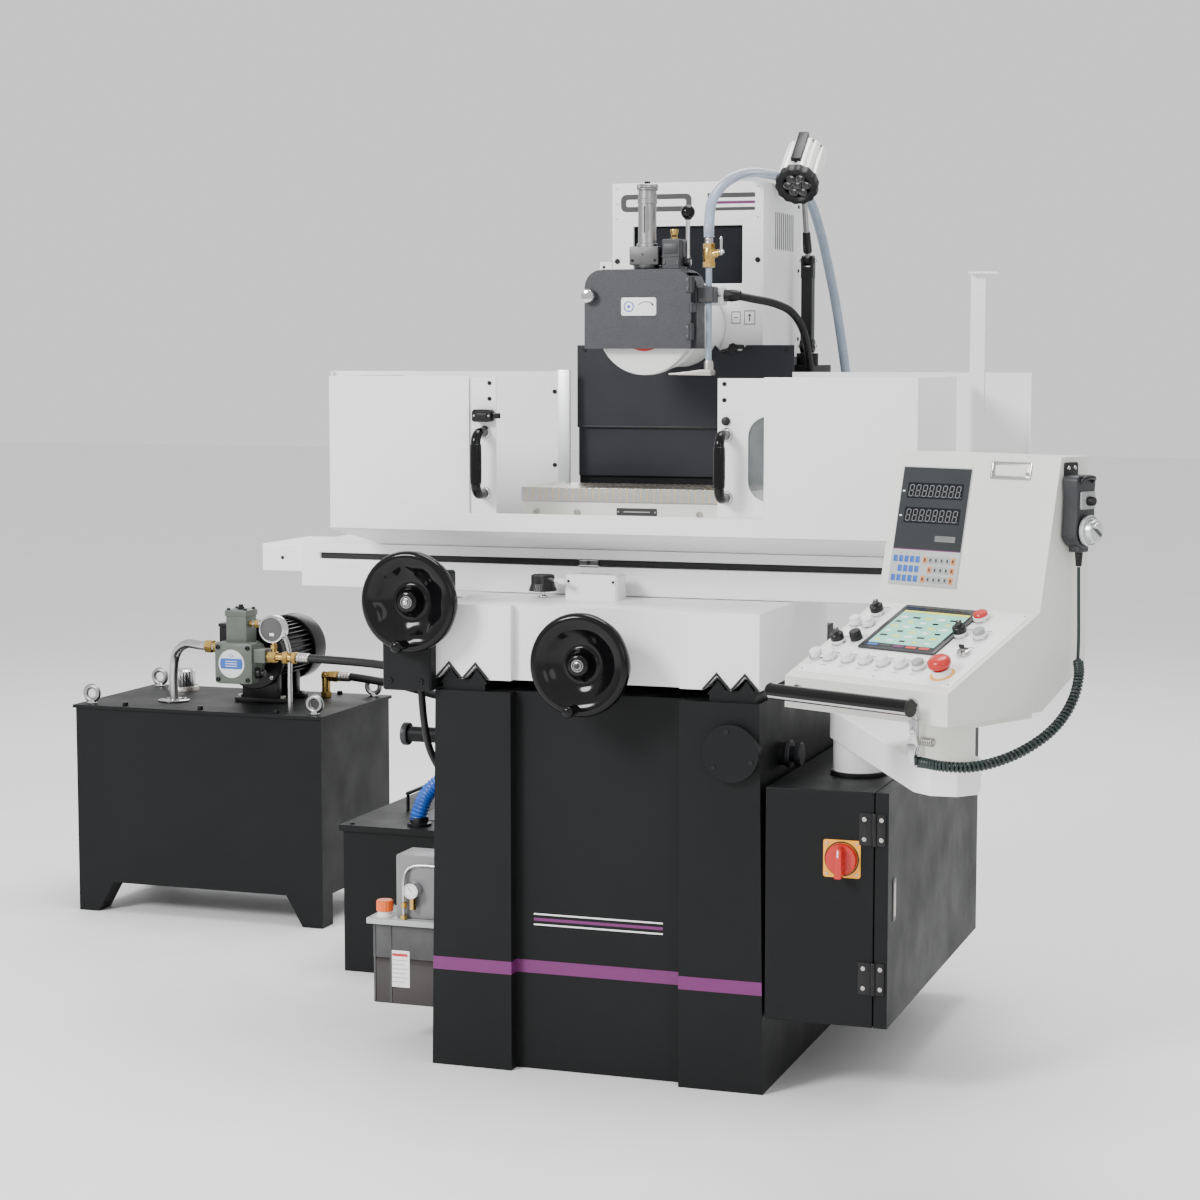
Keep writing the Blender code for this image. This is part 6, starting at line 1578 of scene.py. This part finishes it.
def make_arm():
    carry("pendant_pillar", "white_paint", 0.0012)
    carry("swing_arm", "white_paint", 0.002)
    x, y = 0.478, -0.347
    kit = Kit("pendant_pillar_trim", "frame")
    kit.add("black_rubber", lathe([(0.05, 0.6002), (0.0545, 0.6002), (0.055, 0.601), (0.055, 0.6075),
        (0.054, 0.6085), (0.05, 0.6085)], (x, y, 0), Z, 56))
    kit.done()
    kit = Kit("swing_arm_trim", "pendant_arm")
    kit.add("black_plastic", lathe([(0, 0), (0.018, 0), (0.02, 0.001), (0.02, 0.004), (0.016, 0.0055),
        (0, 0.006)], (x, y, 0.728), Z, 36))
    for dx, dy in around(4, 0.035, 45):
        kit.add("zinc", screw_head((x + dx, y + dy, 0.728), Z, 0.0055, 0.005))
    kit.done()


def digit(kit, look, matrix, corner, wide, tall, depth):
    """Seven bars of a numeral display, all of them shown."""
    x, y = corner
    t = wide * 0.17
    lean = 0.1
    bars = [(t, tall - t, wide - t, tall), (t, tall / 2 - t / 2, wide - t, tall / 2 + t / 2),
        (t, 0, wide - t, t)]
    bars += [(px, py, px + t, py + tall / 2 - t * 1.3) for px in (0, wide - t) for py in (t * 0.8,
            tall / 2 + t * 0.5)]
    for x0, y0, x1, y1 in bars:
        outline = [(x + x0 + lean * y0, y + y0), (x + x1 + lean * y0, y + y0),
            (x + x1 + lean * y1, y + y1), (x + x0 + lean * y1, y + y1)]
        kit.add(look, prism(outline, matrix, depth, depth + 0.0002))


def console_button(kit, u, s, cap, radius=0.0118, height=0.017):
    """A push button: a chrome collar, a clear ring and its tall coloured cap."""
    base = [(0, 0), (radius + 0.0016, 0), (radius + 0.0016, 0.003), (radius + 0.0008, 0.0042), (0, 0.0042)]
    kit.add("chrome", lathe(base, (u, s, 0), Z, 40, CONSOLE))
    skirt = [(0, 0.004), (radius, 0.004), (radius, 0.0095), (radius - 0.0008, 0.01), (0, 0.01)]
    kit.add("white_plastic", lathe(skirt, (u, s, 0), Z, 40, CONSOLE))
    top = [(0, 0.01), (radius - 0.0014, 0.01), (radius - 0.0014, height - 0.0016),
        (radius - 0.003, height), (0, height + 0.0005)]
    kit.add(cap, lathe(top, (u, s, 0), Z, 36, CONSOLE))


def wing_knob(kit, u, s, angle):
    """A short-handled selector: a steel collar, a clear ring, and a black cap with a raised bar."""
    spot = CONSOLE @ Matrix.Translation((u, s, 0)) @ Matrix.Rotation(math.radians(angle), 4, "Z")
    kit.add("chrome", lathe([(0, 0.0004), (0.0132, 0.0004), (0.0132, 0.003), (0.0124, 0.0042),
        (0, 0.0042)], (0, 0, 0), Z, 40, spot))
    kit.add("white_plastic", lathe([(0, 0.004), (0.0116, 0.004), (0.0116, 0.009), (0, 0.0092)], (0, 0, 0),
        Z, 40, spot))
    cap = [(0, 0.009), (0.0118, 0.009), (0.0122, 0.01), (0.012, 0.019), (0.0108, 0.0204), (0, 0.0206)]
    kit.add("black_plastic", lathe(cap, (0, 0, 0), Z, 48, spot))
    bar = rounded((-0.0042, -0.0112), (0.0042, 0.0112), 0.0036)
    kit.add("black_plastic", prism(bar, spot, 0.0195, 0.0266, 0.0014, 3))
    kit.add("label_white", plate(spot, (-0.0007, 0.004), (0.0007, 0.0098), 0.0004, 0.0264, 0.0268))


def make_pendant():
    carry("control_pendant", "cream_paint", 0.003)
    kit = Kit("pendant_trim", "pendant")
    kit.add("label_white", plate(CONSOLE, (0.01, 0.018), (0.336, 0.264), 0.004, 0, 0.001, 0.0003))
    for u in (0.018, 0.173, 0.328):
        for s in (0.026, 0.257):
            head = [(0, 0.001), (0.002, 0.001), (0.0016, 0.002), (0, 0.002)]
            kit.add("zinc", lathe(head, (u, s, 0), Z, 16, CONSOLE))
    kit.add("graphite", plate(CONSOLE, (0.078, 0.108), (0.242, 0.258), 0.004, 0.001, 0.0045, 0.0006))
    kit.add("screen_glass", plate(CONSOLE, (0.085, 0.116), (0.235, 0.25), 0.002, 0.0045, 0.0047))
    kit.add("screen_green", plate(CONSOLE, (0.09, 0.126), (0.23, 0.232), 0.001, 0.0047, 0.0049))
    kit.add("screen_yellow", plate(CONSOLE, (0.09, 0.2325), (0.23, 0.2385), 0.0005, 0.0047, 0.0049))
    for k, look in enumerate(("label_blue", "ink", "magenta_paint", "label_red", "label_red")):
        u = 0.093 + k * 0.0275
        kit.add(look, plate(CONSOLE, (u, 0.1175), (u + 0.021, 0.1235), 0.0005, 0.0047, 0.0049))
    for row in range(6):
        for column in range(5):
            u, s = 0.096 + column * 0.0265, 0.134 + row * 0.0158
            look = ("screen_yellow", "label_white", "screen_glass")[(row * 2 + column) % 3]
            kit.add(look, plate(CONSOLE, (u, s), (u + 0.012 + 0.004 * (row % 2), s + 0.0055), 0.0005,
                0.0049, 0.005))
    for u in BUTTON_COLUMNS:
        console_button(kit, u, BUTTON_ROW, "white_plastic")
    console_button(kit, 0.242, BUTTON_ROW, "grey_plastic")
    for u in (0.0205, 0.048):
        console_button(kit, u, 0.183, "white_plastic", radius=0.011)
    console_button(kit, 0.254, 0.235, "red_plastic", radius=0.0138, height=0.016)
    console_button(kit, 0.29, 0.178, "grey_plastic", radius=0.0118, height=0.018)
    wing_knob(kit, 0.04, 0.222, 25)
    kit.add("chrome", lathe(disc(0.0118, 0.001, 0.003), SMALL_KNOB, Z, 36, CONSOLE))
    kit.add("black_plastic", lobed([(0, 0.003, 0), (0.01, 0.003, 0), (0.0106, 0.005, 0.0004),
        (0.01, 0.0175, 0.0004), (0.0088, 0.019, 0), (0, 0.0192, 0)], 20, SMALL_KNOB, Z, 120, CONSOLE))
    kit.add("yellow_plastic", lathe(washer(0.0128, 0.0215, 0.001, 0.0016), STOP_BUTTON, Z, 48, CONSOLE))
    kit.add("white_plastic", lathe([(0.0125, 0.001), (0.0165, 0.001), (0.0158, 0.0105), (0.0146, 0.0122),
        (0.0125, 0.0122)], STOP_BUTTON, Z, 48, CONSOLE))
    kit.add("chrome", lathe([(0.0113, 0.001), (0.0138, 0.001), (0.0134, 0.005), (0.0122, 0.0058),
        (0.0113, 0.0058)], START_BUTTON, Z, 40, CONSOLE))
    for k, u in enumerate((START_BUTTON[0], *BUTTON_COLUMNS, 0.242)):
        kit.add("ink", plate(CONSOLE, (u - 0.006, 0.0865), (u + 0.006, 0.088), 0.0004, 0.001, 0.0011))
        kit.add("ink", plate(CONSOLE, (u - 0.006, 0.044), (u + 0.004 + 0.002 * (k % 2), 0.0452), 0.0004,
            0.001, 0.0011))
    for u, s in ((0.03, 0.14), (0.25, 0.2), (0.294, 0.144), (0.04, 0.246), (0.292, 0.2)):
        kit.add("ink", plate(CONSOLE, (u - 0.007, s), (u + 0.007, s + 0.0014), 0.0004, 0.001, 0.0011))
    make_readout(kit)
    make_case_trim(kit)
    kit.done()
    make_controls()
    make_pulse_generator()


def make_readout(kit):
    low, high = (0.019, 0.03), (0.166, 0.238)
    wide, tall = high[0] - low[0], high[1] - low[1]
    kit.add("casing_grey", plate(FACE, (low[0] - 0.0015, low[1] - 0.0015),
        (high[0] + 0.0015, high[1] + 0.0015), 0.002, 0, 0.0012))
    kit.add("panel_grey", plate(FACE, (low[0], low[1] + 0.3 * tall), high, 0.001, 0.0012, 0.0018))
    kit.add("casing_grey", plate(FACE, low, (high[0], low[1] + 0.296 * tall), 0.001, 0.0012, 0.0018))
    kit.add("magenta_paint", plate(FACE, (low[0], low[1] + 0.296 * tall), (high[0], low[1] + 0.304 * tall),
        0.0003, 0.0018, 0.0019))
    for base in (0.54, 0.75):
        row = low[1] + base * tall
        kit.add("window_black", plate(FACE, (low[0] + 0.095 * wide, row - 0.003),
            (low[0] + 0.92 * wide, row + 0.025), 0.002, 0.0018, 0.002))
        for k in range(8):
            digit(kit, "ghost_segment", FACE, (low[0] + (0.115 + 0.099 * k) * wide, row), 0.01, 0.0215,
                0.002)
            kit.add("ghost_segment", plate(FACE, (low[0] + (0.195 + 0.099 * k) * wide, row),
                (low[0] + (0.206 + 0.099 * k) * wide, row + 0.0015), 0.0003, 0.002, 0.0022))
        kit.add("label_white", plate(FACE, (low[0] + 0.025 * wide, row + 0.008),
            (low[0] + 0.06 * wide, row + 0.0105), 0.0005, 0.0018, 0.002))
    kit.add("ghost_segment", plate(FACE, (low[0] + 0.6 * wide, low[1] + 0.375 * tall),
        (low[0] + 0.9 * wide, low[1] + 0.425 * tall), 0.001, 0.0018, 0.0021))
    key_w, key_h = 0.0088, 0.0112
    for row, (base, blues, browns) in enumerate(((0.19, 5, 6), (0.108, 4, 5), (0.026, 5, 6))):
        y = low[1] + base * tall
        for k in range(blues):
            x = low[0] + 0.03 * wide + (k + (row == 1)) * 0.0122
            kit.add("label_blue", plate(FACE, (x, y), (x + key_w, y + key_h), 0.001, 0.0018, 0.0027,
                0.0002))
        for k in range(browns):
            x = low[0] + 0.472 * wide + (k + (row == 1)) * 0.0122
            look = "key_orange" if k in (0, browns - 1) else "grey_plastic"
            kit.add(look, plate(FACE, (x, y), (x + key_w, y + key_h), 0.001, 0.0018, 0.0027, 0.0002))
            kit.add("ink", plate(FACE, (x + 0.0025, y + 0.003), (x + 0.0063, y + 0.0082), 0.0005, 0.0027,
                0.0029))
    for k in range(4):
        x = low[0] + (0.13 + 0.09 * k) * wide
        kit.add("ink", plate(FACE, (x, low[1] + 0.262 * tall), (x + 0.0016, low[1] + 0.27 * tall), 0.0003,
            0.0018, 0.0019))


def make_case_trim(kit):
    """The label holder, screws, back panel, cable gland and the clip that holds the coiled cord."""
    kit.add("zinc", plate(FACE, (0.208, 0.224), (0.289, 0.253), 0.002, 0, 0.0012, 0.0003))
    kit.add("cream_paint", plate(FACE, (0.2155, 0.2295), (0.2815, 0.2475), 0.001, 0.0012, 0.0016))
    for x0, x1, y0, y1 in ((0.208, 0.289, 0.2235, 0.2262), (0.208, 0.289, 0.2508, 0.2535),
                           (0.207, 0.21, 0.2235, 0.2535), (0.287, 0.29, 0.2235, 0.2535)):
        kit.add("chrome", plate(FACE, (x0, y0), (x1, y1), 0.001, 0.001, 0.0032, 0.0006))
    for x in (0.2145, 0.2825):
        kit.add("chrome", lathe([(0, 0.0012), (0.0034, 0.0012), (0.0028, 0.0032), (0, 0.0036)],
            (x, 0.2335, 0), Z, 20, FACE))
    back = PENDANT @ facing((0, 0.385, 0), -X, Z)
    kit.add("cream_paint", plate(back, (-0.33, 0.91), (-0.016, 1.228), 0.006, 0, 0.0018, 0.0005))
    for u in (-0.322, -0.173, -0.024):
        for z in (0.918, 1.22):
            kit.add("zinc", lathe([(0, 0.0018), (0.0036, 0.0018), (0.003, 0.0034), (0, 0.0038)], (u, z, 0),
                Z, 20, back))
    for k in range(7):
        z = 1.08 + 0.014 * k
        kit.add("ink", plate(back, (-0.23, z), (-0.116, z + 0.005), 0.0024, 0.0018, 0.002))
    kit.add("black_plastic", lathe([(0, 0), (0.013, 0), (0.013, 0.006), (0.01, 0.008), (0.01, 0.018),
        (0, 0.019)], (0.06, 0.33, 0.852), -Z, 28, PENDANT))
    hook = facing((0, -0.004, 0), X, Z)
    shell = [(0.276, 0.826), (0.2745, 0.818), (0.278, 0.8), (0.275, 0.786), (0.279, 0.764), (0.285, 0.748),
        (0.292, 0.75), (0.2905, 0.766), (0.295, 0.784), (0.2915, 0.802), (0.293, 0.818), (0.29, 0.826)]
    kit.add(
        "chrome",
        prism(shell, PENDANT @ hook, 0.0, 0.007, 0.0022, 3),
        prism([(x + 0.001, z) for x, z in shell[3:9]], PENDANT @ hook, 0.006, 0.013, 0.0022, 3),
        lathe([(0, 0), (0.005, 0), (0.0056, 0.002), (0.004, 0.0036), (0, 0.004)], (0.2845, -0.011, 0.808),
              -Y, 28, PENDANT),
    )
    ear = smooth_route([(0.28, -0.0075, 0.824), (0.278, -0.0075, 0.832), (0.2835, -0.0075, 0.8375),
        (0.289, -0.0075, 0.832), (0.287, -0.0075, 0.824)], 20)
    kit.add("chrome", tube([PENDANT @ p for p in ear], 0.0018, 10))
    for k in range(6):
        kit.add("zinc", ring((0.296 + 0.0036 * k, 0.004, 0.79), X, 0.0062, 0.0014, 28, PENDANT))
    kit.add("zinc", rod((0.294, 0.004, 0.79), (0.316, 0.004, 0.79), 0.0042, edge=0.0005, steps=20,
        matrix=PENDANT))


def make_controls():
    kit = Kit("emergency_stop", "stop_button")
    cap = [(0, -0.0028), (0.0108, -0.0028), (0.0112, 0.0168), (0.0182, 0.0178), (0.0197, 0.02),
        (0.0198, 0.024), (0.0188, 0.0285), (0.015, 0.0322), (0.009, 0.0338), (0, 0.0342)]
    kit.add("red_plastic", lathe(cap, STOP_BUTTON, Z, 56, CONSOLE))
    kit.done(replaces=["emergency_stop"])
    for node, body, u, s, angle in (("selector_left", "left_knob", 0.03, 0.118, 30),
                                    ("selector_right", "right_knob", 0.25, 0.178, 20)):
        kit = Kit(node, body)
        wing_knob(kit, u, s, angle)
        kit.done(replaces=[node])
    kit = Kit("key_switch", "key")
    kit.add("chrome", lathe([(0, 0.0004), (0.0128, 0.0004), (0.0128, 0.003), (0.0108, 0.0085),
        (0.0095, 0.009), (0, 0.009)], KEY_SWITCH, Z, 44, CONSOLE))
    turn = CONSOLE @ Matrix.Translation(KEY_SWITCH)
    kit.add("zinc", plate(turn, (-0.0035, -0.0008), (0.0035, 0.0008), 0.0004, 0.0088, 0.0125))
    kit.add("black_plastic", box((-0.0052, -0.0016, 0.012), (0.0052, 0.0016, 0.0198), 0.0012, turn))
    kit.done(replaces=["key_switch"])
    kit = Kit("start_button", "start")
    cap = [(0, -0.0028), (0.0104, -0.0028), (0.0104, 0.015), (0.009, 0.0168), (0, 0.0173)]
    kit.add("white_plastic", lathe(cap, START_BUTTON, Z, 44, CONSOLE))
    kit.done(replaces=["start_button"])

    kit = Kit("grab_bar", "pendant")
    out, z = -0.035, 0.848
    steps = 20
    sleeve, channel = [], []
    for k in range(steps + 1):
        a = math.radians(-25 + 230 * k / steps)
        sleeve.append((0.0136 * math.cos(a), 0.0136 * math.sin(a)))
        b = math.radians(206 + 128 * k / steps)
        channel.append((0.0133 * math.cos(b), 0.0133 * math.sin(b)))
    across = PENDANT @ facing((0, out, z), Y, Z)
    kit.add("bakelite", prism(sleeve, across, 0.0005, 0.2955))
    kit.add("chrome", prism(channel, across, -0.0025, 0.2985))
    for u in (-0.004, 0.296):
        kit.add("black_plastic", lathe([(0, 0), (0.014, 0), (0.0145, 0.0008), (0.0145, 0.0034),
            (0.0138, 0.0042), (0, 0.0042)], (u, out, z), X, 40, PENDANT))
    for u in (0.03, 0.275):
        kit.add("chrome", rod((u, out + 0.008, z), (u, -0.0004, z), 0.0072, edge=0.0006, steps=28,
            matrix=PENDANT))
        kit.add("chrome", lathe([(0, 0), (0.0125, 0), (0.0125, 0.0026), (0.0105, 0.004), (0, 0.004)],
            (u, -0.0004, z), -Y, 32, PENDANT))
    kit.done(replaces=["grab_bar"])


def make_pulse_generator():
    kit = Kit("pulse_generator", "pendant")
    u = PANEL_WIDTH + 0.0003
    body = PENDANT @ facing((u, 0, 0), Y, Z)
    bulge = [*arc((0.331, 1.122), 0.0305, 200, 340, 12), (0.357, 1.15), (0.356, 1.18),
        *arc((0.349, 1.205), 0.01, 0, 90, 5), *arc((0.313, 1.205), 0.01, 90, 180, 5), (0.306, 1.18),
        (0.305, 1.15)]
    kit.add("graphite", prism(bulge, body, 0.003, 0.0335, 0.004, 3))
    kit.add("graphite", prism(rounded((0.317, 1.085), (0.345, 1.098), 0.003), body, 0.008, 0.03, 0.002))
    kit.add("black_plastic", prism(rounded((0.312, 1.185), (0.35, 1.236), 0.004), body, 0, 0.0028, 0.0006))
    for y in (0.322, 0.34):
        kit.add("chrome", lathe([(0, 0.0028), (0.0036, 0.0028), (0.0028, 0.0046), (0, 0.005)],
            (y, 1.2265, 0), Z, 20, body))
    hook = [PENDANT @ (Vector((u, 0, 0)) + p) for p in smooth_route([(0.02, 0.316, 1.195),
        (0.034, 0.314, 1.205), (0.04, 0.32, 1.211), (0.04, 0.342, 1.211), (0.034, 0.348, 1.205),
        (0.02, 0.346, 1.195)], 30)]
    kit.add("black_plastic", tube(hook, 0.0035, 12))
    kit.add("grey_plastic", prism(rounded((0.312, 1.158), (0.352, 1.188), 0.003), body, 0.03, 0.037,
        0.0012))
    kit.add("black_plastic", lobed([(0, 0.037, 0), (0.0075, 0.037, 0), (0.0078, 0.04, 0.0004),
        (0.0068, 0.049, 0.0004), (0, 0.0494, 0)], 12, (0.332, 1.172, 0), Z, 72, body))
    for k in range(5):
        a = math.radians(30 + 30 * k)
        dot = body @ Matrix.Translation((0.332 + 0.0125 * math.cos(a), 1.172 + 0.0125 * math.sin(a), 0))
        kit.add("label_white", plate(dot, (-0.0008, -0.0008), (0.0008, 0.0008), 0.0004, 0.037, 0.0372))
    kit.add("black_plastic", lathe([(0, 0), (0.0068, 0), (0.0068, 0.004), (0.0046, 0.026), (0, 0.0265)],
        (u + 0.02, 0.331, 1.087), -Z, 28, PENDANT))
    for k in range(5):
        kit.add("black_plastic", ring((u + 0.02, 0.331, 1.08 - 0.004 * k), Z, 0.0058 - 0.0003 * k, 0.0011,
            24, PENDANT))
    kit.done(replaces=["pulse_generator"])

    kit = Kit("pulse_dial", "handwheel_dial")
    at = (0.331, 1.122, 0.036)
    kit.add("aluminium", lobed([(0, 0.0004, 0), (0.0255, 0.0004, 0), (0.0266, 0.002, 0.0003),
        (0.0266, 0.007, 0.0003), (0.025, 0.0084, 0), (0.0205, 0.009, 0), (0.0198, 0.017, 0),
        (0.0185, 0.0196, 0), (0, 0.02, 0)], 50, at, Z, 200, body))
    for k in range(50):
        mark = body @ Matrix.Translation(at) @ Matrix.Rotation(2 * math.pi * k / 50, 4, "Z")
        tall = 0.0035 if k % 5 == 0 else 0.002
        kit.add("ink", plate(mark, (0.0246 - tall, -0.0002), (0.0246, 0.0002), 0.0001, 0.0082, 0.0092))
    grip = body @ Matrix.Translation(at) @ Matrix.Rotation(math.radians(55), 4, "Z")
    kit.add("dull_steel", prism(rounded((-0.003, -0.015), (0.003, 0.015), 0.0028), grip, 0.0196, 0.0212,
        0.0006))
    knob = (0.331 - 0.014, 1.132, 0)
    kit.add("chrome", lathe([(0, 0.054), (0.0036, 0.054), (0.0046, 0.06), (0.0046, 0.0655), (0.003, 0.068),
        (0, 0.0682)], knob, Z, 24, body))
    kit.done(replaces=["pulse_dial"])


# ---------------------------------------------------------------- build

make_looks()
make_camera()
make_light()
make_floor()
make_cords()
make_base()
make_cabinet()
make_pack()
make_fittings()
make_tank()
make_lubricator()
make_saddle()
make_handwheel("longitudinal_handwheel", "table_handwheel", TABLE_WHEEL, True)
make_handwheel("cross_handwheel", "cross_feed_handwheel", CROSS_WHEEL, False)
make_table()
make_chuck()
make_guard()
make_doors()
make_head()
make_wheel_guard()
make_wheel()
make_dresser()
make_valve()
make_lamp()
make_arm()
make_pendant()
